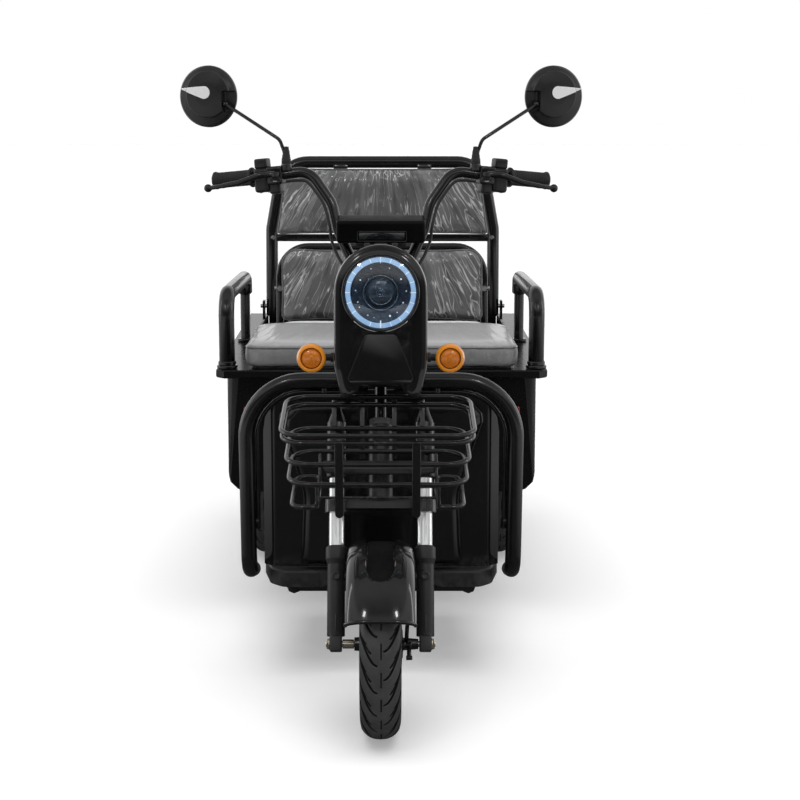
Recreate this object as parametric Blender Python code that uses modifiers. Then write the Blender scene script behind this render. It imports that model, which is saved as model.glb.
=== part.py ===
"""A small electric passenger tricycle, built up from its separate parts.

Units are metres and +Z is up. The tricycle faces -Y and stands on the ground with the origin
under the middle of its length, so +X is its left side. A place is written as a side (x), a
distance behind the front axle and a height; at() turns it into a point. The fork and all that
turns with it are placed along the raked steering axis by fork_at().
"""

import math

import bmesh
import bpy
from mathutils import Matrix, Vector

# Overall sizes
LENGTH = 2.120
FRONT_REACH = 0.1905
FRONT_AXLE_Y = -LENGTH / 2 + FRONT_REACH
WHEELBASE = 1.450
REAR_WHEEL_X = 0.315

# Wheels: 3.00-8 tyres on 8 inch rims
TYRE_RADIUS = 0.1835
BEAD_RADIUS = 0.0985
AXLE_RADIUS = 0.006

# Fork and steering
RAKE = math.radians(22)
FORK_OFFSET = 0.035
LEG_X = 0.0875
STANCHION_RADIUS = 0.0150
SLIDER_RADIUS = 0.0176
COLLAR_RADIUS = 0.0212
STEERER_RADIUS = 0.0125
CROWN_BOTTOM = 0.262
CROWN_TOP = 0.284
HEAD_BOTTOM = 0.2930
HEAD_TOP = 0.4420
BAR_ALONG = 0.7707
FENDER_RADIUS = 0.207

# Handlebar
BAR_RADIUS = 0.011
GRIP_RADIUS = 0.0165
BAR_ELBOW = (0.200, 0.370, 1.079)
BAR_END = (0.346, 0.420, 1.064)

# Mirrors
MIRROR_RADIUS = 0.064
MIRROR_YAW = math.radians(18)

# Headlight and cowl
LAMP_Z = 0.862
LAMP_BACK = 0.120
LAMP_TILT = math.radians(8)
LAMP_RADIUS = 0.0758
COWL_HALF = 0.092

# Basket
WIRE = 0.004
BASKET_DROOP = 0.137
BASKET_SIDE = -0.005

# Shield and crash bar
SHIELD_HALF = 0.252
SHIELD_BACK = 0.366
SHIELD_TOP = 0.638
SHIELD_BOTTOM = 0.243
CRASH_RADIUS = 0.017
CRASH_HALF = 0.286
CRASH_TOP = 0.649
CRASH_BACK = 0.352

# Frame
RAIL_X = 0.190
RAIL_RADIUS = 0.016
RAIL_Z = 0.185
RAIL_HIGH_Z = 0.402
PIVOT_BACK = 1.030
PIVOT_Z = 0.215

# Body
SHEET = 0.003
BODY_FRONT = 0.800
BODY_REAR = 1.885
BODY_HALF = 0.366
BODY_BOTTOM = 0.310
RIM_TOP = 0.605
RIM_HALF = 0.390
LEDGE_INNER = 0.339
SEAT_OPEN_FRONT = 0.832
SEAT_OPEN_REAR = 1.240
CARGO_FRONT = 1.300
CARGO_FLOOR = 0.423
GAP = 0.0004

# Seats and backrests
SEAT_HALF = 0.3270
PAN_TOP = 0.0045
SEAT_FRONT = 0.785
SEAT_REAR = 1.196
FRONT_HOOP_BACK = 1.268
REAR_POST_BACK = 1.780
REAR_POST_X = 0.318
REAR_HINGE_Z = 0.640
RECLINE = math.radians(5)

# Rear backrest posts turn on pins in ears on the rim
EAR_INNER = 0.3390
EAR_OUTER = 0.3450


def at(x, back, z):
    """A point given by its side, its distance behind the front axle and its height."""
    return Vector((x, FRONT_AXLE_Y + back, z))


FORK_UP = Vector((0, math.sin(RAKE), math.cos(RAKE)))
FORK_BACK = Vector((0, math.cos(RAKE), -math.sin(RAKE)))
AXLE = at(0, 0, TYRE_RADIUS)


def fork_at(x, back, along):
    """A point beside the fork legs: back is square to them, along runs up from the axle."""
    return AXLE + Vector((x, 0, 0)) + FORK_BACK * back + FORK_UP * along


def frame_of(point, x_axis, y_axis, z_axis):
    """The placing matrix whose axes are the three given directions."""
    matrix = Matrix((x_axis, y_axis, z_axis)).transposed().to_4x4()
    matrix.translation = point
    return matrix


def fork_frame(x, back, along):
    """A placing matrix with Z up the fork legs."""
    return frame_of(fork_at(x, back, along), Vector((1, 0, 0)), FORK_BACK, FORK_UP)


def facing(point, direction, up=Vector((0, 0, 1))):
    """A placing matrix with Z along a direction and Y as near to up as it can be."""
    z_axis = Vector(direction).normalized()
    x_axis = Vector(up).cross(z_axis).normalized()
    return frame_of(Vector(point), x_axis, z_axis.cross(x_axis), z_axis)


def sideways(point):
    """A placing matrix with Z along +X, for wheels and axles."""
    return Matrix.Translation(point) @ Matrix.Rotation(math.radians(90), 4, "Y")


# Scene and collections

for old in list(bpy.data.objects):
    bpy.data.objects.remove(old, do_unlink=True)

PARTS = bpy.data.collections.new("electric_tricycle")
CUTTERS = bpy.data.collections.new("cutters")
bpy.context.scene.collection.children.link(PARTS)
bpy.context.scene.collection.children.link(CUTTERS)


def material(name, colour, roughness, metallic=0.0, alpha=1.0):
    """A Principled material of one colour."""
    made = bpy.data.materials.new(name)
    made.use_nodes = True
    shader = made.node_tree.nodes["Principled BSDF"]
    shader.inputs["Base Color"].default_value = (*colour, 1.0)
    shader.inputs["Roughness"].default_value = roughness
    shader.inputs["Metallic"].default_value = metallic
    shader.inputs["Alpha"].default_value = alpha
    return made


GLOSS_BLACK = material("gloss_black_paint", (0.012, 0.012, 0.013), 0.18)
SATIN_BLACK = material("satin_black_steel", (0.018, 0.018, 0.019), 0.38)
FRAME_BLACK = material("frame_black_paint", (0.022, 0.022, 0.023), 0.45)
RUBBER = material("black_rubber", (0.020, 0.020, 0.020), 0.75)
TYRE_RUBBER = material("tyre_rubber", (0.028, 0.028, 0.029), 0.80)
BLACK_PLASTIC = material("black_plastic", (0.022, 0.022, 0.024), 0.50)
CHROME = material("chrome", (0.78, 0.79, 0.80), 0.08, 1.0)
ZINC = material("yellow_zinc", (0.70, 0.58, 0.36), 0.30, 1.0)
AMBER = material("amber_lens", (0.90, 0.32, 0.02), 0.12)
RED_LENS = material("red_lens", (0.45, 0.01, 0.01), 0.15)
LAMP_GLASS = material("lamp_glass", (0.55, 0.75, 0.95), 0.05, 0.0, 0.4)
GREY_VINYL = material("grey_vinyl", (0.20, 0.20, 0.21), 0.45)
BATTERY_CASE = material("battery_case", (0.06, 0.07, 0.09), 0.55)


# Modelling helpers


def add(obj, finish=None):
    """Puts an object in the parts collection, with its material."""
    PARTS.objects.link(obj)
    if finish is not None:
        obj.data.materials.append(finish)
    return obj


def shade(obj, angle=35):
    """Smooth shading with the real edges kept sharp."""
    obj.data.shade_smooth()
    obj.data.set_sharp_from_angle(angle=math.radians(angle))
    return obj


def from_bmesh(name, bm, finish, matrix=None):
    """An object from a bmesh, placed by a matrix."""
    mesh = bpy.data.meshes.new(name)
    bmesh.ops.recalc_face_normals(bm, faces=bm.faces)
    bm.to_mesh(mesh)
    bm.free()
    obj = add(bpy.data.objects.new(name, mesh), finish)
    if matrix is not None:
        obj.matrix_world = matrix
    return shade(obj)


def bevel(obj, width, segments=2, angle=40):
    """Rounds the edges sharper than the angle."""
    mod = obj.modifiers.new("round", "BEVEL")
    mod.width = width
    mod.segments = segments
    mod.limit_method = "ANGLE"
    mod.angle_limit = math.radians(angle)
    return obj


def box(name, low, high, finish, matrix=None, round_by=0.0, segments=2):
    """A block between two corners."""
    low, high = Vector(low), Vector(high)
    bm = bmesh.new()
    bmesh.ops.create_cube(bm, size=1.0)
    bmesh.ops.scale(bm, vec=high - low, verts=bm.verts)
    bmesh.ops.translate(bm, vec=(low + high) / 2, verts=bm.verts)
    obj = from_bmesh(name, bm, finish, matrix)
    return bevel(obj, round_by, segments) if round_by else obj


def rod(name, start, end, radius, finish, sides=16, end_radius=None):
    """A round bar between two points, or a cone if its ends differ."""
    start, end = Vector(start), Vector(end)
    bm = bmesh.new()
    bmesh.ops.create_cone(
        bm,
        cap_ends=True,
        segments=sides,
        radius1=radius,
        radius2=radius if end_radius is None else end_radius,
        depth=(end - start).length,
    )
    direction = (end - start).normalized()
    up = Vector((1, 0, 0)) if abs(direction.x) < 0.9 else Vector((0, 0, 1))
    return from_bmesh(name, bm, finish, facing((start + end) / 2, direction, up))


def ball(name, centre, radius, finish, sides=12):
    """A sphere."""
    bm = bmesh.new()
    bmesh.ops.create_uvsphere(bm, u_segments=sides, v_segments=sides // 2 + 1, radius=radius)
    return from_bmesh(name, bm, finish, Matrix.Translation(Vector(centre)))


def turned(name, profile, finish, matrix, steps=24, closed=False, angle=360):
    """A profile of (radius, height) points turned about the Z axis of its matrix."""
    bm = bmesh.new()
    points = [bm.verts.new((r, 0, h)) for r, h in profile]
    for a, b in zip(points, points[1:]):
        bm.edges.new((a, b))
    if closed:
        bm.edges.new((points[-1], points[0]))
    mesh = bpy.data.meshes.new(name)
    bm.to_mesh(mesh)
    bm.free()
    obj = add(bpy.data.objects.new(name, mesh), finish)
    obj.matrix_world = matrix
    mod = obj.modifiers.new("turn", "SCREW")
    mod.axis = "Z"
    mod.angle = math.radians(angle)
    mod.steps = steps
    mod.render_steps = steps
    mod.use_merge_vertices = True
    mod.merge_threshold = 0.00001
    mod.use_smooth_shade = True
    return obj


def mirrored_profile(half):
    """A profile and its mirror image below height 0, sharing the point at height 0."""
    return half + [(r, -h) for r, h in reversed(half) if h]


def fillet(points, radius, steps=4, closed=False):
    """The points of a path whose corners are rounded to a radius, or to a list of radii."""
    points = [Vector(p) for p in points]
    count = len(points)
    radii = radius if isinstance(radius, (list, tuple)) else [radius] * count
    made = []
    for i, corner in enumerate(points):
        if not closed and i in (0, count - 1):
            made.append(corner)
            continue
        before = (points[i - 1] - corner).normalized()
        after = (points[(i + 1) % count] - corner).normalized()
        half = before.angle(after) / 2
        if half > math.radians(89) or radii[i] <= 0:
            made.append(corner)
            continue
        reach = radii[i] / math.tan(half)
        room = min((points[i - 1] - corner).length, (points[(i + 1) % count] - corner).length)
        reach = min(reach, room * 0.49)
        bend = reach * math.tan(half)
        centre = corner + (before + after).normalized() * (bend / math.sin(half))
        first = corner + before * reach - centre
        last = corner + after * reach - centre
        for k in range(steps + 1):
            made.append(centre + first.slerp(last, k / steps).normalized() * bend)
    return made


def tube(name, points, radius, finish, closed=False, resolution=2, taper=None):
    """A round tube along a path. The resolution gives 4 + 2 x resolution sides."""
    curve = bpy.data.curves.new(name, "CURVE")
    curve.dimensions = "3D"
    curve.bevel_depth = radius
    curve.bevel_resolution = resolution
    curve.use_fill_caps = not closed
    spline = curve.splines.new("POLY")
    spline.points.add(len(points) - 1)
    for i, point in enumerate(points):
        spline.points[i].co = (*point, 1.0)
        spline.points[i].radius = 1.0 if taper is None else taper[i]
    spline.use_cyclic_u = closed
    return add(bpy.data.objects.new(name, curve), finish)


def plate(name, outlines, thickness, finish, matrix):
    """A flat plate of one or more closed outlines, the later ones as holes."""
    curve = bpy.data.curves.new(name, "CURVE")
    curve.dimensions = "2D"
    curve.fill_mode = "BOTH"
    curve.extrude = thickness / 2
    for outline in outlines:
        spline = curve.splines.new("POLY")
        spline.points.add(len(outline) - 1)
        for i, point in enumerate(outline):
            spline.points[i].co = (point[0], point[1], 0.0, 1.0)
        spline.use_cyclic_u = True
    obj = add(bpy.data.objects.new(name, curve), finish)
    obj.matrix_world = matrix
    return solid(obj)


def solid(obj):
    """Turns a curve into a closed mesh object of the same name and place."""
    bpy.context.view_layer.update()
    graph = bpy.context.evaluated_depsgraph_get()
    mesh = bpy.data.meshes.new_from_object(obj.evaluated_get(graph))
    bm = bmesh.new()
    bm.from_mesh(mesh)
    bmesh.ops.remove_doubles(bm, verts=bm.verts, dist=0.00001)
    bm.to_mesh(mesh)
    bm.free()
    name = obj.name
    matrix = obj.matrix_world.copy()
    bpy.data.objects.remove(obj, do_unlink=True)
    made = add(bpy.data.objects.new(name, mesh))
    made.matrix_world = matrix
    return shade(made)


def pipe(name, points, radius, finish, closed=False, resolution=2, taper=None):
    """A tube that is a mesh, to be cut or joined."""
    return solid(tube(name, points, radius, finish, closed, resolution, taper))


def hide(obj):
    """Makes an object a cutter or a joined operand."""
    for collection in list(obj.users_collection):
        collection.objects.unlink(obj)
    CUTTERS.objects.link(obj)
    obj.hide_render = True
    obj.display_type = "WIRE"
    return obj


def boolean(obj, operation, others):
    for other in others:
        hide(other)
        mod = obj.modifiers.new(operation.lower(), "BOOLEAN")
        mod.operation = operation
        mod.solver = "EXACT"
        mod.object = other
    return obj


def join(obj, *others):
    """Unites overlapping shapes into one body."""
    return boolean(obj, "UNION", others)


def cut(obj, *others):
    """Takes shapes away."""
    return boolean(obj, "DIFFERENCE", others)


def thicken(obj, thickness):
    """Turns an open surface into a shell on the inner side of its faces."""
    mod = obj.modifiers.new("wall", "SOLIDIFY")
    mod.thickness = thickness
    mod.offset = -1
    return obj


def both_sides(point, side):
    """The point on the left (side 1) or right (side -1)."""
    return (point[0] * side, *point[1:])


SIDES = (("left", 1), ("right", -1))
PIVOTS = {}


def pivot(name, point, direction=(0, 0, 1), parent=None):
    """An empty on a joint's axis, its Z along the axis."""
    empty = bpy.data.objects.new("axis_" + name, None)
    empty.empty_display_size = 0.05
    PARTS.objects.link(empty)
    direction = Vector(direction).normalized()
    up = Vector((1, 0, 0)) if abs(direction.x) < 0.9 else Vector((0, 0, 1))
    empty.matrix_world = facing(point, direction, up)
    if parent:
        hang(parent, empty)
    PIVOTS[name] = empty
    return empty


def hang(name, *objs):
    """Parents objects to a joint's empty and leaves them where they are."""
    bpy.context.view_layer.update()
    for obj in objs:
        world = obj.matrix_world.copy()
        obj.parent = PIVOTS[name]
        obj.matrix_parent_inverse = PIVOTS[name].matrix_world.inverted()
        obj.matrix_basis = world
    return objs


# Joint axes

pivot("steering", fork_at(0, FORK_OFFSET, CROWN_BOTTOM), FORK_UP)
pivot("fork_travel", fork_at(0, 0, 0.1), FORK_UP, "steering")
pivot("front_wheel", AXLE, (1, 0, 0), "fork_travel")
pivot("rear_suspension", at(0, PIVOT_BACK, PIVOT_Z), (1, 0, 0))
for word, side in SIDES:
    pivot(
        f"rear_wheel_{word}",
        at(REAR_WHEEL_X * side, WHEELBASE, TYRE_RADIUS),
        (1, 0, 0),
        "rear_suspension",
    )


# Wheels


def tyre(name, centre, steps):
    """A tyre with a rounded tread and open beads."""
    outer = [
        (BEAD_RADIUS, 0.0290),
        (0.1115, 0.0318),
        (0.1380, 0.0400),
        (0.1690, 0.0320),
        (TYRE_RADIUS, 0.0110),
    ]
    outer += [(r, -h) for r, h in reversed(outer)]
    inner = [(BEAD_RADIUS, -0.0215), (0.1600, -0.0270), (0.1600, 0.0270), (BEAD_RADIUS, 0.0215)]
    return turned(name, outer + inner, TYRE_RUBBER, sideways(centre), steps, closed=True)


RIM_LOW = [(0.1110, -0.0350), (0.0955, -0.0300), (0.0820, -0.0060)]
RIM_HIGH = [(r, -h) for r, h in reversed(RIM_LOW)]
RIM_CHANNEL = [
    (0.1110, 0.0325),
    (0.0980, 0.0295),
    (0.0865, 0.0110),
    (0.0865, -0.0110),
    (0.0980, -0.0295),
    (0.1110, -0.0325),
]


def wheel_holes(obj, centre, count=5, reach=0.058, radius=0.0145):
    """Round windows through the wheel's disc."""
    holes = []
    for i in range(count):
        angle = math.tau * i / count
        middle = centre + Vector((0, math.cos(angle) * reach, math.sin(angle) * reach))
        across = Vector((0.02, 0, 0))
        holes.append(rod(f"{obj.name}_hole_{i}", middle - across, middle + across, radius, None, 7))
    return cut(obj, *holes)


front_tyre = tyre("front_tyre", AXLE, 28)
front_hub = [
    (0.0330, -0.0060),
    (0.0245, -0.0340),
    (0.0140, -0.0360),
    (0.0130, -0.0515),
    (0.0068, -0.0515),
    (0.0068, 0.0110),
    (0.0450, 0.0110),
    (0.0480, 0.0340),
    (0.0510, 0.0060),
]
front_section = RIM_CHANNEL + RIM_LOW + front_hub + RIM_HIGH
front_rim = turned("front_rim", front_section, GLOSS_BLACK, sideways(AXLE), 18, closed=True)
wheel_holes(front_rim, AXLE, reach=0.0665, radius=0.0120)
hang("front_wheel", front_tyre, front_rim)

cam_point = at(0, -0.028, 0.190)


def front_axle():
    """The axle with its nuts and spacer, and the brake plate that it clamps."""
    body = rod(
        "front_axle",
        AXLE + Vector((-0.1070, 0, 0)),
        AXLE + Vector((0.1070, 0, 0)),
        AXLE_RADIUS,
        ZINC,
        12,
    )
    drum_cover = turned(
        "front_brake_plate",
        [
            (0.0, 0.0740),
            (0.0100, 0.0735),
            (0.0125, 0.0440),
            (0.0450, 0.0410),
            (0.0505, 0.0346),
            (0.0, 0.0346),
        ],
        None,
        sideways(AXLE),
        14,
    )
    bits = [
        drum_cover,
        rod(
            "axle_spacer",
            AXLE + Vector((-0.0745, 0, 0)),
            AXLE + Vector((-0.0522, 0, 0)),
            0.0090,
            None,
            10,
        ),
        rod(
            "brake_cam_boss",
            cam_point + Vector((0.040, 0, 0)),
            cam_point + Vector((0.0480, 0, 0)),
            0.009,
            None,
            8,
        ),
    ]
    for word, side in SIDES:
        near = AXLE + Vector((0.0997 * side, 0, 0))
        far = AXLE + Vector((0.1055 * side, 0, 0))
        bits.append(rod(f"axle_nut_{word}", near, far, 0.0105, None, 6))
    return join(body, *bits)


axle_front = front_axle()

# The brake arm turns on the cam and is pulled up by the cable
pivot("front_brake_arm", cam_point, (1, 0, 0), "fork_travel")
brake_arm = rod(
    "front_brake_arm",
    cam_point + Vector((0.0485, 0, 0)),
    cam_point + Vector((0.0600, 0, 0)),
    0.0065,
    ZINC,
    12,
)
arm_tip = cam_point + Vector((0, -0.042, -0.012))
join(
    brake_arm,
    pipe(
        "brake_arm_blade",
        [cam_point + Vector((0.0550, 0.004, 0)), arm_tip + Vector((0.0550, 0, 0))],
        0.0045,
        None,
    ),
    rod(
        "brake_arm_pin",
        arm_tip + Vector((0.0490, 0, 0)),
        arm_tip + Vector((0.0610, 0, 0)),
        0.0045,
        None,
        10,
    ),
)
hang("front_brake_arm", brake_arm)

# Fork


def fork_slider(word, side):
    """A lower fork leg: a hollow slider with a seal collar, a fender boss and an axle block."""
    leg = turned(
        f"{word}_fork_slider",
        [
            (0.0, 0.0320),
            (0.0162, 0.0320),
            (0.0162, 0.1905),
            (COLLAR_RADIUS, 0.1895),
            (COLLAR_RADIUS, 0.1650),
            (SLIDER_RADIUS, 0.1560),
            (SLIDER_RADIUS, 0.0150),
            (0.0, 0.0150),
        ],
        SATIN_BLACK,
        fork_frame(LEG_X * side, 0, 0),
        16,
    )
    block = box(
        f"{word}_axle_block",
        (-0.0118, -0.0150, -0.0150),
        (0.0118, 0.0150, 0.0220),
        None,
        fork_frame(LEG_X * side, 0, 0),
    )
    boss_middle = fork_at(LEG_X * side, 0, 0.1320)
    inward = Vector((-side, 0, 0))
    boss = rod(
        f"{word}_fender_boss",
        boss_middle + inward * 0.0168,
        boss_middle + inward * 0.0203,
        0.0090,
        None,
        10,
    )
    bolt_start, bolt_end = boss_middle - FORK_BACK * 0.0168, boss_middle - FORK_BACK * 0.0205
    bolt = rod(f"{word}_slider_bolt", bolt_start, bolt_end, 0.0075, None, 10)
    join(leg, block, boss, bolt)
    hole_reach = Vector((0.03, 0, 0))
    centre = AXLE + Vector((LEG_X * side, 0, 0))
    cut(leg, rod(f"{word}_axle_hole", centre - hole_reach, centre + hole_reach, 0.0066, None, 16))
    return leg


sliders = [fork_slider(word, side) for word, side in SIDES]

# Front fender: a U section carried round the wheel, with a rolled front lip
FENDER_START = math.radians(29)
fender_axes = (
    Vector((0, -math.cos(FENDER_START), math.sin(FENDER_START))),
    Vector((0, math.sin(FENDER_START), math.cos(FENDER_START))),
    Vector((-1, 0, 0)),
)
fender_section = mirrored_profile(
    [
        (0.1750, 0.0655),
        (0.1840, 0.0642),
        (0.1940, 0.0560),
        (0.2020, 0.0420),
        (0.2062, 0.0220),
        (FENDER_RADIUS, 0.0),
    ]
)
fender = turned(
    "front_fender", fender_section, GLOSS_BLACK, frame_of(AXLE, *fender_axes), 12, angle=133
)
thicken(fender, SHEET)
lip = [
    AXLE + fender_axes[0] * (r - 0.0015) + fender_axes[2] * h - fender_axes[1] * 0.001
    for r, h in [(0.1745, 0.0665)] + fender_section[1:-1] + [(0.1745, -0.0665)]
]
join(fender, pipe("fender_lip", lip, 0.0038, None, resolution=1))
hang("fork_travel", axle_front, fender, *sliders)

stanchions = [
    rod(
        f"{word}_fork_tube",
        fork_at(LEG_X * side, 0, 0.0900),
        fork_at(LEG_X * side, 0, 0.3285),
        STANCHION_RADIUS,
        CHROME,
        16,
    )
    for word, side in SIDES
]


def crown():
    """The lower fork clamp with its steerer and the clamp that holds the handlebar."""
    low, high = CROWN_BOTTOM, CROWN_TOP
    body = box(
        "fork_crown",
        (-LEG_X, -0.0160, low),
        (LEG_X, 0.0560, high),
        SATIN_BLACK,
        fork_frame(0, 0, 0),
        0.004,
        1,
    )
    pieces = []
    for word, side in SIDES:
        start, end = fork_at(LEG_X * side, 0, low - 0.003), fork_at(LEG_X * side, 0, high + 0.004)
        pieces.append(rod(f"crown_collar_{word}", start, end, 0.0235, None, 14))
    axis = FORK_OFFSET
    pieces.append(
        rod(
            "steerer", fork_at(0, axis, low + 0.002), fork_at(0, axis, 0.7600), STEERER_RADIUS, None, 12
        )
    )
    pieces.append(
        rod(
            "steerer_nut",
            fork_at(0, axis, HEAD_TOP + 0.0015),
            fork_at(0, axis, 0.4560),
            0.0230,
            None,
            6,
        )
    )
    clamp = box(
        "bar_clamp",
        (-0.0340, -0.0190, -0.0190),
        (0.0340, 0.0190, 0.0190),
        None,
        fork_frame(0, axis, BAR_ALONG),
        0.004,
        2,
    )
    bracket = box(
        "lamp_bracket",
        (-0.0150, -0.0950, -0.0020),
        (0.0150, 0, 0.0020),
        None,
        fork_frame(0, axis, 0.6900),
    )
    join(body, *pieces, clamp, bracket)
    holes = []
    for word, side in SIDES:
        start, end = fork_at(LEG_X * side, 0, low - 0.02), fork_at(LEG_X * side, 0, high + 0.02)
        holes.append(rod(f"crown_hole_{word}", start, end, STANCHION_RADIUS + 0.0006, None, 14))
    bar_middle = fork_at(0, axis, BAR_ALONG)
    across = Vector((0.05, 0, 0))
    holes.append(
        rod("bar_hole", bar_middle - across, bar_middle + across, BAR_RADIUS + 0.0009, None, 10)
    )
    return cut(body, *holes)


fork_crown = crown()

# Fork shroud: the wide cover plate and the two coned sleeves over the tops of the fork tubes
shroud_outline = [
    (0.1260, 0.0050),
    (0.1120, 0.0140),
    (-0.1120, 0.0140),
    (-0.1260, 0.0050),
    (-0.1080, -0.0100),
    (-0.0800, -0.0140),
    (0.0800, -0.0140),
    (0.1080, -0.0100),
]
shroud_place = frame_of(fork_at(0, -0.0205, 0.3460), Vector((1, 0, 0)), FORK_UP, -FORK_BACK)
shroud = plate("fork_shroud", [shroud_outline], 0.0050, SATIN_BLACK, shroud_place)
sleeves = []
for word, side in SIDES:
    sleeve = turned(
        f"shroud_sleeve_{word}",
        [
            (0.0, 0.4800),
            (0.0060, 0.4790),
            (0.0205, 0.4400),
            (0.0205, 0.3290),
            (0.0, 0.3290),
        ],
        None,
        fork_frame(LEG_X * side, 0, 0),
        14,
    )
    sleeves.append(sleeve)
join(shroud, *sleeves)


# Front basket


def basket_at(x, back, z):
    """A point of the basket, which hangs a little to one side of the wheel."""
    return at(x + BASKET_SIDE, back, z)


def ring_points(half, front, rear, rear_z, corner=0.045):
    """A rounded rectangle that droops towards the front."""
    corners = [(half, rear), (-half, rear), (-half, front), (half, front)]
    path = fillet([(x, b, 0) for x, b in corners], corner, 3, closed=True)
    return [basket_at(p.x, p.y, rear_z - (rear - p.y) * BASKET_DROOP) for p in path]


RINGS = [
    (0.1825, -0.092, 0.150, 0.648),
    (0.1805, -0.090, 0.146, 0.633),
    (0.1730, -0.084, 0.129, 0.588),
    (0.1690, -0.078, 0.112, 0.545),
]
LOOP = (0.1625, -0.072, 0.095, 0.497)
LOOP_INNER = 0.115


def ring_z(ring, back):
    """The height of a ring at a distance behind the front axle."""
    return ring[3] - (ring[2] - back) * BASKET_DROOP


def basket():
    """Four wire rings and two low side loops, held by flat bars in front and straps behind."""
    rings = [
        pipe(f"basket_ring_{i}", ring_points(*ring), WIRE, None, closed=True, resolution=1)
        for i, ring in enumerate(RINGS)
    ]
    bits = rings[1:]
    half, front, rear, _ = LOOP
    for word, side in SIDES:
        corners = [(LOOP_INNER, rear), (LOOP_INNER, front), (half, front), (half, rear)]
        path = fillet([(x * side, b, 0) for x, b in corners], [0, 0, 0.04, 0.04], 2, closed=True)
        points = [basket_at(p.x, p.y, ring_z(LOOP, p.y)) for p in path]
        bits.append(pipe(f"basket_loop_{word}", points, WIRE, None, closed=True, resolution=1))
        for place, low_back, high_back in (("front", front, RINGS[3][1]), ("rear", rear, RINGS[3][2])):
            low = basket_at(LOOP_INNER * side, low_back, ring_z(LOOP, low_back))
            high = basket_at(LOOP_INNER * side, high_back, ring_z(RINGS[3], high_back))
            bits.append(rod(f"basket_post_{place}_{word}", low, high, 0.0030, None, 6))
    for i, back in enumerate((-0.020, 0.040)):
        z = ring_z(LOOP, back) - 0.0005
        bits.append(
            rod(
                f"basket_floor_{i}",
                basket_at(-LOOP_INNER - 0.002, back, z),
                basket_at(LOOP_INNER + 0.002, back, z),
                0.0028,
                None,
                6,
            )
        )
    slope = (RINGS[3][1] - RINGS[1][1]) / (
        ring_z(RINGS[1], RINGS[1][1]) - ring_z(RINGS[3], RINGS[3][1])
    )
    lean = Vector((0, -slope, 1)).normalized()
    outward = lean.cross(Vector((1, 0, 0)))
    for word, side in SIDES:
        bar_top = basket_at(0.0727 * side, RINGS[1][1] - 0.0045, ring_z(RINGS[1], RINGS[1][1]) + 0.003)
        place = frame_of(bar_top, Vector((1, 0, 0)), lean, outward * -1)
        end = [
            (0.008 * math.cos(a), -0.144 - 0.008 * math.sin(a))
            for a in (math.pi * k / 4 for k in range(5))
        ]
        bits.append(
            plate(f"basket_bar_{word}", [end + [(-0.008, 0.0), (0.008, 0.0)]], 0.0036, None, place)
        )
    strap_top = (RINGS[0][2] + 0.0048, RINGS[0][3] + 0.004)
    strap_low = (RINGS[3][2] + 0.0040, RINGS[3][3] - 0.016)
    for i, x in enumerate((-0.0880, -0.0320, 0.0320, 0.0880)):
        start, end = basket_at(x, *strap_low), basket_at(x, *strap_top)
        along = end - start
        place = facing((start + end) / 2, along, Vector((0, 1, 0)))
        size = Vector((0.0045, 0.0016, along.length / 2))
        bits.append(box(f"basket_strap_{i}", -size, size, None, place))
    body = rings[0]
    body.name = "front_basket"
    body.data.materials.append(GLOSS_BLACK)
    return join(body, *bits)


front_basket = basket()


# Headlight cowl


def lamp_direction():
    return Vector((0, -math.cos(LAMP_TILT), math.sin(LAMP_TILT)))


def cowl_outline(shrink, round_radius, centre_z):
    """Half of the cowl's front outline, from the middle of the top to the middle of the bottom."""
    points = []
    for k in range(5):
        angle = math.pi / 2 * (1 - k / 4)
        points.append((round_radius * math.cos(angle), centre_z + round_radius * math.sin(angle)))
    narrow = (COWL_HALF - shrink) / COWL_HALF
    rise = shrink * 0.6
    low = [
        (COWL_HALF, 0.770),
        (COWL_HALF - 0.001, 0.715),
        (0.0840, 0.683),
        (0.0760, 0.656),
        (0.0630, 0.653),
        (0.0540, 0.675),
        (0.0, 0.675),
    ]
    return points + [(x * narrow, z + rise) for x, z in low]


def cowl_loft(name, inset, reach):
    """The cowl's outside lofted from its front face back, or the same set in by the sheet."""
    # Each section: how far its outline is drawn in, its round top, its lean, its foot and the top's centre
    sections = [
        (0.0260, 0.0660, 0.140, 0.0900, LAMP_Z),
        (0.0090, 0.0830, 0.140, 0.0930, LAMP_Z),
        (0.0000, 0.0915, 0.150, 0.1040, LAMP_Z),
        (0.0000, 0.0900, 0.240, 0.1550, LAMP_Z - 0.006),
        (0.0040, 0.0800, 0.330, 0.1980, LAMP_Z - 0.014),
    ]
    bm = bmesh.new()
    loops = []
    for i, (shrink, top_radius, lean, foot, centre_z) in enumerate(sections):
        half = cowl_outline(shrink + inset, top_radius - inset, centre_z)
        outline = half + [(-x, z) for x, z in reversed(half[1:-1])]
        back = foot + (inset if i < 2 else 0.0) + (reach if i == len(sections) - 1 else 0.0)
        loops.append([bm.verts.new(at(x, back + (z - 0.660) * lean, z)) for x, z in outline])
    for first, second in zip(loops, loops[1:]):
        for i in range(len(first)):
            j = (i + 1) % len(first)
            bm.faces.new((first[i], first[j], second[j], second[i]))
    bm.faces.new(loops[0])
    bm.faces.new(reversed(loops[-1]))
    return from_bmesh(name, bm, GLOSS_BLACK if not inset else None)


def cowl():
    """A thin shell round the headlight, open behind."""
    middle = at(0, LAMP_BACK - 0.016, LAMP_Z)
    axis = lamp_direction()
    opening = rod(
        "lamp_opening", middle - axis * 0.07, middle + axis * 0.05, LAMP_RADIUS + 0.0009, None, 24
    )
    return cut(cowl_loft("headlight_cowl", 0.0, 0.0), cowl_loft("cowl_inside", SHEET, 0.03), opening)


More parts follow.
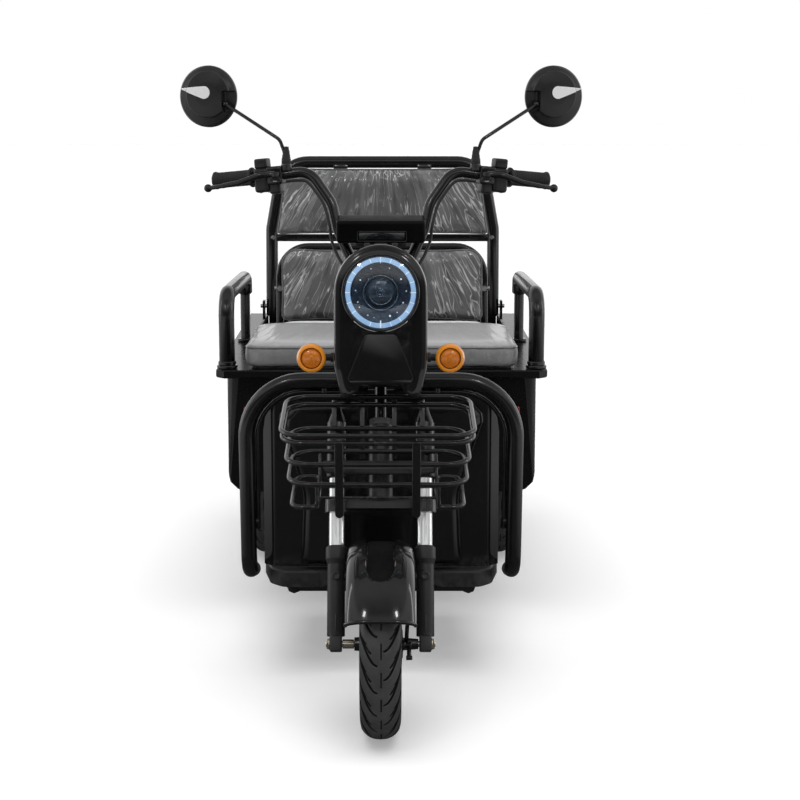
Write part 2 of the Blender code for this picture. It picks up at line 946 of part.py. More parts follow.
headlight_cowl = cowl()
lamp_place = facing(at(0, LAMP_BACK - 0.016, LAMP_Z), lamp_direction())
headlight = turned(
    "headlight_unit",
    [
        (0.0, -0.0120),
        (0.0180, -0.0160),
        (0.0300, -0.0220),
        (0.0560, -0.0060),
        (0.0590, 0.0010),
        (0.0720, 0.0010),
        (0.0735, 0.0050),
        (LAMP_RADIUS, 0.0040),
        (LAMP_RADIUS, -0.0200),
        (0.0560, -0.0560),
        (0.0, -0.0640),
    ],
    BLACK_PLASTIC,
    lamp_place,
    24,
)
headlight_lens = turned(
    "headlight_lens",
    [
        (0.0, 0.0125),
        (0.0420, 0.0102),
        (0.0712, 0.0032),
        (0.0712, 0.0016),
        (0.0420, 0.0080),
        (0.0, 0.0102),
    ],
    LAMP_GLASS,
    lamp_place,
    24,
)


def turn_signal(word, side):
    """A round lens in front of its bowl, on a short stalk from the cowl."""
    centre = at(0.1370 * side, 0.128, 0.7300)
    body = turned(
        f"{word}_turn_signal",
        [
            (0.0, 0.0170),
            (0.0160, 0.0150),
            (0.0260, 0.0070),
            (0.0290, 0.0030),
            (0.0290, -0.0060),
            (0.0200, -0.0200),
            (0.0, -0.0250),
        ],
        AMBER,
        facing(centre, (0, -1, 0)),
        16,
    )
    stalk_start = centre + Vector((-0.010 * side, 0.010, 0))
    stalk_end = centre + Vector((-0.0437 * side, 0.010, 0))
    stalk = rod(f"{word}_signal_stalk", stalk_start, stalk_end, 0.0070, None, 12)
    foot = rod(
        f"{word}_signal_foot", stalk_end + Vector((0.006 * side, 0, 0)), stalk_end, 0.0100, None, 12
    )
    return join(body, stalk, foot)


signals = [turn_signal(word, side) for word, side in SIDES]


# Handlebar and controls

bar_middle = fork_at(0, FORK_OFFSET, BAR_ALONG)
half_bar = [
    at(0.0520, bar_middle.y - FRONT_AXLE_Y, bar_middle.z),
    at(0.0900, 0.338, 0.970),
    at(0.1010, 0.349, 1.020),
    at(0.1480, 0.366, 1.087),
    at(*BAR_ELBOW),
    at(*BAR_END),
]
bar_corners = [Vector((-p.x, p.y, p.z)) for p in reversed(half_bar)] + half_bar
bend = [0, 0.06, 0.05, 0.07, 0.05, 0.024]
bar_path = fillet(bar_corners, bend + bend[::-1], 3)
handlebar = tube("handlebar", bar_path, BAR_RADIUS, SATIN_BLACK, resolution=2)


def bar_end_axis(side):
    """The direction of the handlebar's outer stretch."""
    start, end = Vector(both_sides(BAR_ELBOW, side)), Vector(both_sides(BAR_END, side))
    return (end - start).normalized()


def bar_point(side, x, forward=0.0, up=0.0):
    """A point beside the outer stretch of the bar, at a given side."""
    share = (x - BAR_ELBOW[0]) / (BAR_END[0] - BAR_ELBOW[0])
    start, end = Vector(BAR_ELBOW), Vector(BAR_END)
    point = start.lerp(end, share)
    return at(point.x * side, point.y - forward, point.z + up)


def bar_frame(side, x):
    """A placing matrix with Z along the bar towards its end and Y roughly up."""
    return facing(bar_point(side, x), bar_end_axis(side))


GRIP_INNER = 0.2660
GRIP_LENGTH = 0.0870
grip_profile = [
    (0.0, GRIP_LENGTH + 0.0035),
    (0.0150, GRIP_LENGTH + 0.0030),
    (0.0185, GRIP_LENGTH - 0.0020),
    (0.0165, GRIP_LENGTH - 0.0060),
    (GRIP_RADIUS - 0.001, GRIP_LENGTH * 0.55),
    (GRIP_RADIUS, 0.0060),
    (0.0205, 0.0050),
    (0.0205, 0.0),
    (BAR_RADIUS + 0.0008, 0.0),
    (BAR_RADIUS + 0.0008, GRIP_LENGTH + 0.0008),
    (0.0, GRIP_LENGTH + 0.0008),
]
left_grip = turned("left_grip", grip_profile, RUBBER, bar_frame(1, GRIP_INNER), 12)
throttle_grip = turned("throttle_grip", grip_profile, RUBBER, bar_frame(-1, GRIP_INNER), 12)

LEVER_X = 0.2180
LEVER_FORWARD = 0.0340
LEVER_DROP = -0.0060


def controls(word, side):
    """The lever perch, mirror boss and switch housing clamped on one side of the bar."""
    place = bar_frame(side, LEVER_X)
    perch = box(
        f"{word}_controls",
        (-0.0190, -0.0190, -0.0190),
        (0.0190, 0.0190, 0.0160),
        BLACK_PLASTIC,
        place,
        0.005,
        1,
    )
    tongue_start = bar_point(side, LEVER_X, 0.006, LEVER_DROP)
    tongue_end = bar_point(side, LEVER_X, LEVER_FORWARD + 0.008, LEVER_DROP)
    tongue = box(
        f"{word}_tongue",
        (-0.0110, -0.0035, 0),
        (0.0110, 0.0035, (tongue_end - tongue_start).length),
        None,
        facing(tongue_start, tongue_end - tongue_start),
        0.0,
        1,
    )
    housing = box(
        f"{word}_switch_case",
        (-0.0200, -0.0330, 0.0120),
        (0.0200, 0.0170, 0.0440),
        None,
        place,
        0.007,
        1,
    )
    low_block = box(
        f"{word}_clamp_block",
        (-0.0150, -0.0380, -0.0120),
        (0.0150, -0.0080, 0.0140),
        None,
        place,
        0.006,
        1,
    )
    lid = box(
        f"{word}_top_case", (-0.0140, 0.0160, 0.0140), (0.0140, 0.0370, 0.0420), None, place, 0.005, 1
    )
    mirror_low = bar_point(side, 0.1960, 0.004, 0.008)
    boss = rod(f"{word}_mirror_boss", mirror_low, mirror_low + Vector((0, 0, 0.0130)), 0.0110, None, 10)
    arm = rod(
        f"{word}_mirror_arm",
        mirror_low + Vector((0, 0, 0.004)),
        bar_point(side, LEVER_X, 0.004, 0.010),
        0.0080,
        None,
        8,
    )
    join(perch, tongue, housing, low_block, lid, boss, arm)
    return cut(perch, pipe(f"{word}_controls_hole", bar_path, BAR_RADIUS + 0.0005, None, resolution=2))


left_controls = controls("left", 1)
right_controls = controls("right", -1)
button_place = bar_frame(1, LEVER_X) @ Matrix.Translation((0.0200, -0.010, 0.0300)) @ Matrix.Rotation(
    math.radians(90), 4, "Y"
)
button_axis = button_place.to_3x3() @ Vector((0, 0, 1))
button_foot = button_place.translation
cut(
    left_controls,
    rod(
        "button_hole",
        button_foot - button_axis * 0.0080,
        button_foot + button_axis * 0.0100,
        0.0064,
        None,
        12,
    ),
)


def brake_lever(word, side):
    """A tapering lever with a ball end, turning on a pin ahead of the bar."""
    hinge = bar_point(side, LEVER_X, LEVER_FORWARD, LEVER_DROP)
    hub_half = Vector((0, 0, 0.0040))
    eye_low, eye_high = hinge + hub_half * 1.15, hinge + hub_half * 3.6
    path = [
        hinge + Vector((0.002 * side, 0.0, 0.0096)),
        bar_point(side, 0.2500, 0.0480, 0.0050),
        bar_point(side, 0.2900, 0.0560, -0.0060),
        bar_point(side, 0.3280, 0.0565, -0.0100),
        bar_point(side, 0.3590, 0.0550, -0.0120),
    ]
    blade = pipe(f"{word}_brake_lever", fillet(path, 0.05, 1), 0.0052, SATIN_BLACK, resolution=2)
    eye = rod(f"{word}_lever_eye", eye_low, eye_high, 0.0095, None, 10)
    tip = ball(f"{word}_lever_ball", path[-1], 0.0085, None, 8)
    return join(blade, eye, tip), hinge


left_lever, left_hinge = brake_lever("left", 1)
right_lever, right_hinge = brake_lever("right", -1)

# Thumb switches: the horn button on the left and the light switch on the right
horn_button = turned(
    "horn_button",
    [(0.0, 0.0045), (0.0040, 0.0040), (0.0055, 0.0020), (0.0055, -0.0045), (0.0, -0.0045)],
    RED_LENS,
    button_place,
    12,
)
light_switch = box(
    "light_switch",
    (-0.0240, -0.0140, 0.0220),
    (-0.0204, -0.0060, 0.0370),
    ZINC,
    bar_frame(-1, LEVER_X),
    0.0008,
    1,
)

pivot("left_lever", left_hinge, (0, 0, 1), "steering")
pivot("right_lever", right_hinge, (0, 0, 1), "steering")
pivot("throttle", bar_point(-1, GRIP_INNER), bar_end_axis(-1), "steering")
hang("left_lever", left_lever)
hang("right_lever", right_lever)
hang("throttle", throttle_grip)


def mirror(word, side):
    """A cranked stalk with a rubber boot, and a round domed mirror head with a pocket for the ball."""
    foot = bar_point(side, 0.1960, 0.004, 0.0214)
    elbow = foot + Vector((0.0130 * side, 0, 0.0500))
    socket = at(0.3240 * side, foot.y - FRONT_AXLE_Y + 0.040, 1.2230)
    boot = turned(
        f"{word}_mirror_stalk",
        [
            (0.0, 0.0360),
            (0.0052, 0.0355),
            (0.0068, 0.0260),
            (0.0092, 0.0120),
            (0.0098, 0.0),
            (0.0, 0.0),
        ],
        SATIN_BLACK,
        Matrix.Translation(foot),
        12,
    )
    path = fillet(
        [foot + Vector((0, 0, 0.004)), foot + Vector((0.004 * side, 0, 0.025)), elbow, socket], 0.02, 3
    )
    rod_part = pipe(f"{word}_stalk_rod", path, 0.0037, None, resolution=2)
    knob = ball(f"{word}_stalk_ball", socket, 0.0065, None, 8)
    join(boot, rod_part, knob)
    normal = Vector((math.sin(MIRROR_YAW) * side, -math.cos(MIRROR_YAW), 0))
    across = Vector((math.cos(MIRROR_YAW) * side, math.sin(MIRROR_YAW), 0))
    middle = socket + across * 0.0425 + Vector((0, 0, 0.0155)) - normal * 0.007
    head = turned(
        f"{word}_mirror",
        [
            (0.0, 0.0200),
            (0.0250, 0.0190),
            (0.0450, 0.0150),
            (0.0470, 0.0115),
            (0.0590, 0.0060),
            (0.0635, -0.0010),
            (MIRROR_RADIUS, -0.0080),
            (0.0620, -0.0095),
            (0.0605, -0.0060),
            (0.0, -0.0060),
        ],
        BLACK_PLASTIC,
        facing(middle, normal),
        20,
    )
    pocket_place = facing(middle, normal)
    reach = -side
    pocket = box(
        f"{word}_mirror_pocket",
        (min(0.034 * reach, 0.075 * reach), -0.0450, -0.0035),
        (max(0.034 * reach, 0.075 * reach), 0.0080, 0.0300),
        None,
        pocket_place,
    )
    return boot, cut(head, pocket), foot, socket


mirrors = {word: mirror(word, side) for word, side in SIDES}
for word, (stalk, head, foot, socket) in mirrors.items():
    pivot(f"{word}_mirror_stalk", foot, (0, 0, 1), "steering")
    pivot(f"{word}_mirror", socket, (0, 0, 1), f"{word}_mirror_stalk")
    hang(f"{word}_mirror_stalk", stalk)
    hang(f"{word}_mirror", head)


# Instrument housing and key

DASH_TILT = math.radians(12)
dash_middle = at(0, 0.288, 0.9720)
dash_place = Matrix.Translation(dash_middle) @ Matrix.Rotation(DASH_TILT, 4, "X")
dash = box(
    "instrument_housing",
    (-0.0905, -0.0270, -0.0235),
    (0.0905, 0.0270, 0.0235),
    BLACK_PLASTIC,
    dash_place,
    0.008,
    2,
)
legs = [
    box(
        f"dash_leg_{word}",
        (0.018 * side - 0.006, -0.006, -0.0570),
        (0.018 * side + 0.006, 0.010, -0.0180),
        None,
        dash_place,
    )
    for word, side in SIDES
]
join(dash, *legs)
cut(
    dash,
    box("dash_back_window", (-0.0480, -0.0400, -0.0185), (0.0520, -0.0230, 0.0035), None, dash_place),
    box("dash_display", (-0.0500, 0.0240, -0.0165), (0.0320, 0.0400, 0.0165), None, dash_place),
    rod(
        "key_hole",
        dash_place @ Vector((0.0680, 0.0120, 0)),
        dash_place @ Vector((0.0680, 0.0500, 0)),
        0.0075,
        None,
        16,
    ),
)
key_place = dash_place @ Matrix.Translation((0.0680, 0.0125, 0)) @ Matrix.Rotation(
    math.radians(-90), 4, "X"
)
ignition_key = turned(
    "ignition_key",
    [(0.0, 0.0190), (0.0064, 0.0185), (0.0066, 0.0), (0.0, 0.0)],
    CHROME,
    key_place,
    16,
)
join(
    ignition_key,
    box("key_bow", (-0.0095, -0.0012, 0.0170), (0.0095, 0.0012, 0.0400), None, key_place, 0.001, 1),
)
pivot(
    "key", dash_place @ Vector((0.0680, 0.0125, 0)), dash_place.to_3x3() @ Vector((0, 1, 0)), "steering"
)
hang("key", ignition_key)


def control_cable(word, side):
    """A brake cable from the lever perch along the bar and in behind the cowl."""
    route = [
        bar_point(side, 0.1955, 0.016, -0.014),
        at(0.1650 * side, 0.350, 1.064),
        at(0.1400 * side, 0.342, 1.046),
        at(0.1240 * side, 0.334, 1.008),
        at(0.1160 * side, 0.328, 0.965),
        at(0.1020 * side, 0.316, 0.922),
        at(0.0780 * side, 0.296, 0.890),
        at(0.0500 * side, 0.276, 0.868),
        at(0.0400 * side, 0.262, 0.835),
    ]
    return tube(f"{word}_brake_cable", smooth_route(route, 2), 0.0032, RUBBER, resolution=1)


def smooth_route(route, per_span):
    """Points on a smooth curve through the route's own points."""
    points = [2 * route[0] - route[1]] + route + [2 * route[-1] - route[-2]]
    made = []
    for i in range(1, len(points) - 2):
        a, b, c, d = points[i - 1], points[i], points[i + 1], points[i + 2]
        for k in range(per_span):
            t = k / per_span
            made.append(
                0.5
                * (
                    2 * b
                    + (c - a) * t
                    + (2 * a - 5 * b + 4 * c - d) * t * t
                    + (3 * b - a - 3 * c + d) * t * t * t
                )
            )
    return made + [route[-1]]


cables = [control_cable(word, side) for word, side in SIDES]
hang(
    "steering",
    *stanchions,
    fork_crown,
    shroud,
    front_basket,
    headlight_cowl,
    headlight,
    headlight_lens,
    *signals,
    handlebar,
    left_grip,
    left_controls,
    right_controls,
    horn_button,
    light_switch,
    dash,
    *cables,
)


# Main frame


def main_frame():
    """The welded tube frame from the head tube to the rear bumper."""
    axis = FORK_OFFSET
    head = rod(
        "main_frame", fork_at(0, axis, HEAD_BOTTOM), fork_at(0, axis, HEAD_TOP), 0.0250, FRAME_BLACK, 16
    )
    neck = [
        fork_at(0, axis + 0.012, 0.3600),
        at(0, 0.270, 0.500),
        at(0, 0.400, 0.410),
        at(0, 0.424, RAIL_Z),
    ]
    tubes = [pipe("neck_tube", fillet(neck, 0.06, 3), 0.0200, None, resolution=2)]
    for word, side in SIDES:
        rail = [
            at(RAIL_X * side, 0.412, RAIL_Z),
            at(RAIL_X * side, 0.990, RAIL_Z),
            at(RAIL_X * side, 1.190, RAIL_HIGH_Z),
            at(RAIL_X * side, 1.850, RAIL_HIGH_Z),
        ]
        tubes.append(pipe(f"rail_{word}", fillet(rail, 0.05, 1), RAIL_RADIUS, None, resolution=2))
        tubes.append(
            rod(
                f"seat_post_{word}",
                at(RAIL_X * side, 0.845, RAIL_Z),
                at(RAIL_X * side, 0.845, 0.3330),
                0.0120,
                None,
                8,
            )
        )
        peg = rod(
            f"spring_peg_{word}",
            at(RAIL_X * side, WHEELBASE, RAIL_HIGH_Z),
            at(RAIL_X * side, WHEELBASE, 0.3500),
            0.0200,
            None,
            10,
        )
        seat = rod(
            f"spring_seat_{word}",
            at(RAIL_X * side, WHEELBASE, 0.3860),
            at(RAIL_X * side, WHEELBASE, 0.3790),
            0.0370,
            None,
            12,
        )
        tubes += [peg, seat]
    cross = [
        ("floor_cross_front", 0.424, RAIL_Z, RAIL_X + 0.012, 0.0140),
        ("floor_cross_rear", 0.780, RAIL_Z, RAIL_X + 0.012, 0.0120),
        ("body_cross_front", 0.845, 0.3330, 0.3300, 0.0125),
        ("pivot_cross", PIVOT_BACK, PIVOT_Z, RAIL_X + 0.004, 0.0130),
        ("body_cross_middle", 1.225, RAIL_HIGH_Z, 0.3580, 0.0125),
        ("body_cross_rear", 1.840, RAIL_HIGH_Z, 0.3580, 0.0125),
    ]
    for name, back, z, half, radius in cross:
        tubes.append(rod(name, at(-half, back, z), at(half, back, z), radius, None, 8))
    tubes.append(box("battery_tray", at(-RAIL_X, 0.850, 0.1800), at(RAIL_X, 1.000, 0.1850), None))
    bumper = [
        at(RAIL_X, 1.800, RAIL_HIGH_Z - 0.004),
        at(RAIL_X + 0.010, 1.860, 0.345),
        at(RAIL_X + 0.060, 1.9175, 0.330),
        at(-RAIL_X - 0.060, 1.9175, 0.330),
        at(-RAIL_X - 0.010, 1.860, 0.345),
        at(-RAIL_X, 1.800, RAIL_HIGH_Z - 0.004),
    ]
    tubes.append(
        pipe(
            "rear_bumper", fillet(bumper, [0, 0.03, 0.04, 0.04, 0.03, 0], 1), 0.0120, None, resolution=1
        )
    )
    join(head, *tubes)
    holes = [
        rod(
            "head_bore",
            fork_at(0, axis, HEAD_BOTTOM - 0.02),
            fork_at(0, axis, HEAD_TOP + 0.02),
            0.0150,
            None,
            14,
        )
    ]
    return cut(head, *holes)


frame = main_frame()
battery = box(
    "battery", at(-0.1560, 0.8650, 0.1856), at(0.1560, 0.9900, 0.3500), BATTERY_CASE, None, 0.004, 1
)

# Crash bar: a wide hoop round the shield with a thin inner hoop, its feet turned back to the floor
crash_path = [
    at(-CRASH_HALF + 0.006, 0.425, 0.222),
    at(-CRASH_HALF + 0.004, CRASH_BACK, 0.238),
    at(-CRASH_HALF, CRASH_BACK, CRASH_TOP),
    at(CRASH_HALF, CRASH_BACK, CRASH_TOP),
    at(CRASH_HALF - 0.004, CRASH_BACK, 0.238),
    at(CRASH_HALF - 0.006, 0.425, 0.222),
]
crash_bar = pipe(
    "crash_bar",
    fillet(crash_path, [0, 0.045, 0.120, 0.120, 0.045, 0], 5),
    CRASH_RADIUS,
    SATIN_BLACK,
    resolution=2,
)
INNER_HALF = 0.2620
inner_path = [
    at(-INNER_HALF, 0.3560, 0.330),
    at(-INNER_HALF, 0.3560, 0.624),
    at(INNER_HALF, 0.3560, 0.624),
    at(INNER_HALF, 0.3560, 0.330),
]
inner_hoop = pipe(
    "crash_bar_inner", fillet(inner_path, [0, 0.098, 0.098, 0], 4), 0.0050, None, resolution=0
)
braces = []
for word, side in SIDES:
    braces.append(
        rod(
            f"crash_brace_low_{word}",
            at(0.2860 * side, CRASH_BACK + 0.002, 0.3450),
            at(0.2600 * side, 0.3560, 0.3450),
            0.0060,
            None,
            8,
        )
    )
    braces.append(
        rod(
            f"crash_brace_top_{word}",
            at(0.1200 * side, CRASH_BACK + 0.002, CRASH_TOP - 0.004),
            at(0.1200 * side, 0.3560, 0.6220),
            0.0060,
            None,
            8,
        )
    )
join(crash_bar, inner_hoop, *braces)


# Leg shield


def shield_surface():
    """The shield's sheet: flat in the middle, folded back at its sides and rounded at its top corners."""
    corner = 0.105
    columns = [0.0, 0.05, 0.10, 0.147, 0.175, 0.200, 0.215, 0.228, 0.238, 0.246, SHIELD_HALF]
    rows = 1
    bm = bmesh.new()
    grid = []
    for x in columns:
        reach = max(0.0, x - (SHIELD_HALF - corner))
        top = SHIELD_TOP - (corner - math.sqrt(corner**2 - reach**2))
        fold = max(0.0, x - 0.228) * 1.0
        column = []
        for k in range(rows + 1):
            z = SHIELD_BOTTOM + (top - SHIELD_BOTTOM) * k / rows
            column.append(bm.verts.new(at(x, SHIELD_BACK + fold, z)))
        grid.append(column)
    for first, second in zip(grid, grid[1:]):
        for k in range(rows):
            bm.faces.new((first[k], second[k], second[k + 1], first[k + 1]))
    obj = from_bmesh("leg_shield", bm, GLOSS_BLACK)
    if obj.data.polygons[0].normal.y > 0:
        obj.data.flip_normals()
    mirror_mod = obj.modifiers.new("both_halves", "MIRROR")
    mirror_mod.merge_threshold = 0.0001
    return thicken(obj, SHEET)


def shield_panel():
    """The raised middle panel, waisted below its shoulders."""
    half = [
        (0.0, 0.250),
        (0.1740, 0.250),
        (0.1720, 0.300),
        (0.1680, 0.400),
        (0.1860, 0.464),
        (0.2180, 0.562),
        (0.2160, 0.580),
        (0.1960, 0.602),
        (0.0, 0.606),
    ]
    outline = half + [(-x, z) for x, z in reversed(half[1:-1])]
    front = SHIELD_BACK - 0.026
    bm = bmesh.new()
    near = [bm.verts.new(at(x * 0.90, front, 0.43 + (z - 0.43) * 0.93)) for x, z in outline]
    middle = [bm.verts.new(at(x * 0.975, front + 0.008, 0.43 + (z - 0.43) * 0.98)) for x, z in outline]
    far = [bm.verts.new(at(x, SHIELD_BACK + 0.0015, z)) for x, z in outline]
    bm.faces.new(near)
    bm.faces.new(reversed(far))
    for first, second in ((near, middle), (middle, far)):
        for i in range(len(first)):
            j = (i + 1) % len(first)
            bm.faces.new((first[j], first[i], second[i], second[j]))
    return from_bmesh("shield_panel", bm, None)


leg_shield = shield_surface()
join(leg_shield, shield_panel())
cut(
    leg_shield,
    box("neck_slot", at(-0.0270, 0.300, 0.3950), at(0.0270, 0.420, 0.700), None),
    box(
        "panel_hollow",
        at(-0.1500, SHIELD_BACK - 0.018, 0.262),
        at(0.1500, SHIELD_BACK + 0.02, 0.590),
        None,
    ),
)


# Floor board with a notch for the front wheel, its edge turned down


def floor_board():
    """A pressed pan, open below."""
    half = [
        (0.1120, 0.4500),
        (0.1120, 0.3560),
        (0.1300, 0.3380),
        (0.2100, 0.3380),
        (0.2380, 0.3700),
        (0.2550, 0.4600),
        (0.2550, 0.7850),
    ]
    outline = half + [(-x, b) for x, b in reversed(half)]
    top, low = 0.2400, 0.2030
    bm = bmesh.new()
    upper = [bm.verts.new(at(x, b, top)) for x, b in outline]
    lower = [bm.verts.new(at(x, b, low)) for x, b in outline]
    bm.faces.new(upper)
    for i in range(len(upper)):
        j = (i + 1) % len(upper)
        bm.faces.new((upper[j], upper[i], lower[i], lower[j]))
    obj = from_bmesh("floor_board", bm, BLACK_PLASTIC)
    if obj.data.polygons[0].normal.z < 0:
        obj.data.flip_normals()
    bevel(obj, 0.006, 1, 60)
    return thicken(obj, SHEET)


floor = floor_board()
pedal_hinge = at(-0.1700, 0.560, 0.2560)
pedal = rod(
    "brake_pedal",
    pedal_hinge + Vector((-0.024, 0, 0)),
    pedal_hinge + Vector((0.024, 0, 0)),
    0.0065,
    SATIN_BLACK,
    12,
)
join(
    pedal,
    rod("pedal_arm", pedal_hinge, pedal_hinge + Vector((0, -0.066, 0.052)), 0.0055, None, 10),
    box(
        "pedal_pad",
        (-0.030, -0.022, -0.004),
        (0.030, 0.022, 0.005),
        None,
        Matrix.Translation(pedal_hinge + Vector((0, -0.068, 0.056))) @ Matrix.Rotation(
            math.radians(-35), 4, "X"
        ),
        0.002,
        1,
    ),
)
join(
    floor,
    *[
        box(
            f"pedal_ear_{i}",
            pedal_hinge + Vector((x - 0.0025, -0.010, -0.0180)),
            pedal_hinge + Vector((x + 0.0025, 0.010, 0.0100)),
            None,
        )
        for i, x in enumerate((-0.020, 0.020))
    ],
)
cut(
    floor,
    rod(
        "pedal_pin_hole",
        pedal_hinge + Vector((-0.04, 0, 0)),
        pedal_hinge + Vector((0.04, 0, 0)),
        0.0073,
        None,
        12,
    ),
)
pivot("brake_pedal", pedal_hinge, (1, 0, 0))
hang("brake_pedal", pedal)


# Body


def body_shell():
    """The pressed side panels and front wall under a flat rim, with wheel arches and rear ears."""
    bm = bmesh.new()
    bmesh.ops.create_cube(bm, size=1.0)
    low, high = at(-BODY_HALF, BODY_FRONT, BODY_BOTTOM), at(BODY_HALF, BODY_REAR, RIM_TOP - 0.006)
    bmesh.ops.scale(bm, vec=high - low, verts=bm.verts)
    bmesh.ops.translate(bm, vec=(low + high) / 2, verts=bm.verts)
    low_edges = [
        e
        for e in bm.edges
        if all(abs(v.co.z - BODY_BOTTOM) < 1e-6 for v in e.verts) and abs(
            e.verts[0].co.x - e.verts[1].co.x
        ) < 1e-6
    ]
    bmesh.ops.bevel(bm, geom=low_edges, offset=0.048, segments=3, profile=0.5, affect="EDGES")
    front_edges = [
        e
        for e in bm.edges
        if all(abs(v.co.y - low.y) < 1e-6 for v in e.verts) and abs(
            e.verts[0].co.z - e.verts[1].co.z
        ) > 0.1
    ]
    bmesh.ops.bevel(bm, geom=front_edges, offset=0.030, segments=3, profile=0.5, affect="EDGES")
    bmesh.ops.recalc_face_normals(bm, faces=bm.faces)
    flat = [f for f in bm.faces if abs(f.normal.z) > 0.99]
    bmesh.ops.delete(bm, geom=flat, context="FACES")
    bmesh.ops.recalc_face_normals(bm, faces=bm.faces)
    shell = from_bmesh("body_shell", bm, GLOSS_BLACK)
    middle = at(0, (BODY_FRONT + BODY_REAR) / 2, 0.45)
    face = shell.data.polygons[0]
    if (face.center - middle).dot(face.normal) < 0:
        shell.data.flip_normals()
    thicken(shell, SHEET)
    wide, cargo = RIM_HALF, LEDGE_INNER
    outer = [
        (-wide + 0.02, BODY_FRONT - 0.020),
        (wide - 0.02, BODY_FRONT - 0.020),
        (wide, BODY_FRONT),
        (wide, BODY_REAR + 0.004),
        (cargo, BODY_REAR + 0.004),
        (cargo, CARGO_FRONT),
        (-cargo, CARGO_FRONT),
        (-cargo, BODY_REAR + 0.004),
        (-wide, BODY_REAR + 0.004),
        (-wide, BODY_FRONT),
    ]
    hole = [
        (-0.300, SEAT_OPEN_FRONT),
        (-0.300, SEAT_OPEN_REAR - 0.010),
        (0.300, SEAT_OPEN_REAR - 0.010),
        (0.300, SEAT_OPEN_FRONT),
    ]
    rim_place = Matrix.Translation(at(0, 0, RIM_TOP - 0.010))
    rim = plate("body_rim", [outer, hole], 0.020, None, rim_place)
    bevel(rim, 0.003, 1, 50)
    ears = [
        box(
            f"backrest_ear_{word}",
            at(min(EAR_INNER * side, EAR_OUTER * side), REAR_POST_BACK - 0.018, RIM_TOP - 0.010),
            at(max(EAR_INNER * side, EAR_OUTER * side), REAR_POST_BACK + 0.018, REAR_HINGE_Z + 0.016),
            None,
        )
        for word, side in SIDES
    ]
    join(shell, rim, *ears)
    wall = Vector((0.5, 0, 0))
    hub = at(0, WHEELBASE, TYRE_RADIUS + 0.010)
    ear_pin = at(0, REAR_POST_BACK, REAR_HINGE_Z)
    return cut(
        shell,
        rod("wheel_arches", hub - wall, hub + wall, 0.2250, None, 30),
        box(
            "tailgate_opening",
            at(-0.3360, BODY_REAR - 0.05, CARGO_FLOOR + 0.006),
            at(0.3360, BODY_REAR + 0.05, 0.700),
            None,
        ),
        rod("ear_holes", ear_pin - wall, ear_pin + wall, 0.0068, None, 12),
        *[
            box(
                f"bumper_notch_{word}",
                at(0.2150 * side - 0.040, BODY_REAR - 0.03, 0.290),
                at(0.2150 * side + 0.040, BODY_REAR + 0.02, 0.3600),
                None,
            )
            for word, side in SIDES
        ],
    )


shell = body_shell()


def cargo_floor():
    """The folded inner sheet: bulkhead, floor and the bench that carries the rear seat."""
    inner = BODY_HALF - SHEET - 0.001
    front, rear = 1.262, BODY_REAR - SHEET - 0.001
    floor_sheet = box(
        "cargo_floor",
        at(-inner, front, CARGO_FLOOR - SHEET),
        at(inner, rear, CARGO_FLOOR),
        BLACK_PLASTIC,
    )
    bulkhead = box(
        "bulkhead",
        at(-inner, front, CARGO_FLOOR - SHEET),
        at(inner, front + SHEET, RIM_TOP - 0.0204),
        None,
    )
    bench_half, bench_front, bench_rear, bench_top = 0.290, 1.420, 1.715, 0.5520
    bench = box(
        "bench",
        at(-bench_half, bench_front, CARGO_FLOOR - 0.001),
        at(bench_half, bench_rear, bench_top),
        None,
    )
    join(floor_sheet, bulkhead, bench)
    hollow = box(
        "bench_hollow",
        at(-bench_half + SHEET, bench_front - 0.02, CARGO_FLOOR + 0.0010),
        at(bench_half - SHEET, bench_rear - SHEET, bench_top - SHEET),
        None,
    )
    return cut(floor_sheet, hollow)


cargo = cargo_floor()

tailgate_hinge = at(0, BODY_REAR - 0.0070, CARGO_FLOOR + 0.0140)
tailgate = box(
    "tailgate",
    at(-0.3340, BODY_REAR - 0.0140, CARGO_FLOOR + 0.0080),
    at(0.3340, BODY_REAR, RIM_TOP - 0.0040),
    GLOSS_BLACK,
    None,
    0.003,
    1,
)
pressing = box(
    "tailgate_pressing",
    at(-0.2900, BODY_REAR - 0.0030, CARGO_FLOOR + 0.0350),
    at(0.2900, BODY_REAR + 0.01, RIM_TOP - 0.0350),
    None,
    None,
    0.003,
    1,
)
cut(tailgate, pressing)
join(
    tailgate,
    box(
        "tailgate_handle",
        at(-0.0450, BODY_REAR - 0.0060, 0.5300),
        at(0.0450, BODY_REAR + 0.0060, 0.5420),
        None,
        None,
        0.003,
        1,
    ),
)
pivot("tailgate", tailgate_hinge, (1, 0, 0))
hang("tailgate", tailgate)

tail_bar = box(
    "tail_light_bar",
    at(-0.3000, BODY_REAR + GAP, 0.3780),
    at(0.3000, BODY_REAR + 0.0050, 0.3920),
    RED_LENS,
)
lamps = [
    box(
        f"{word}_tail_light",
        at(min(0.2400 * side, 0.3200 * side), BODY_REAR + GAP, 0.3640),
        at(max(0.2400 * side, 0.3200 * side), BODY_REAR + 0.0190, 0.4060),
        None,
        None,
        0.006,
        1,
    )
    for word, side in SIDES
]
join(tail_bar, *lamps)


# Cushions


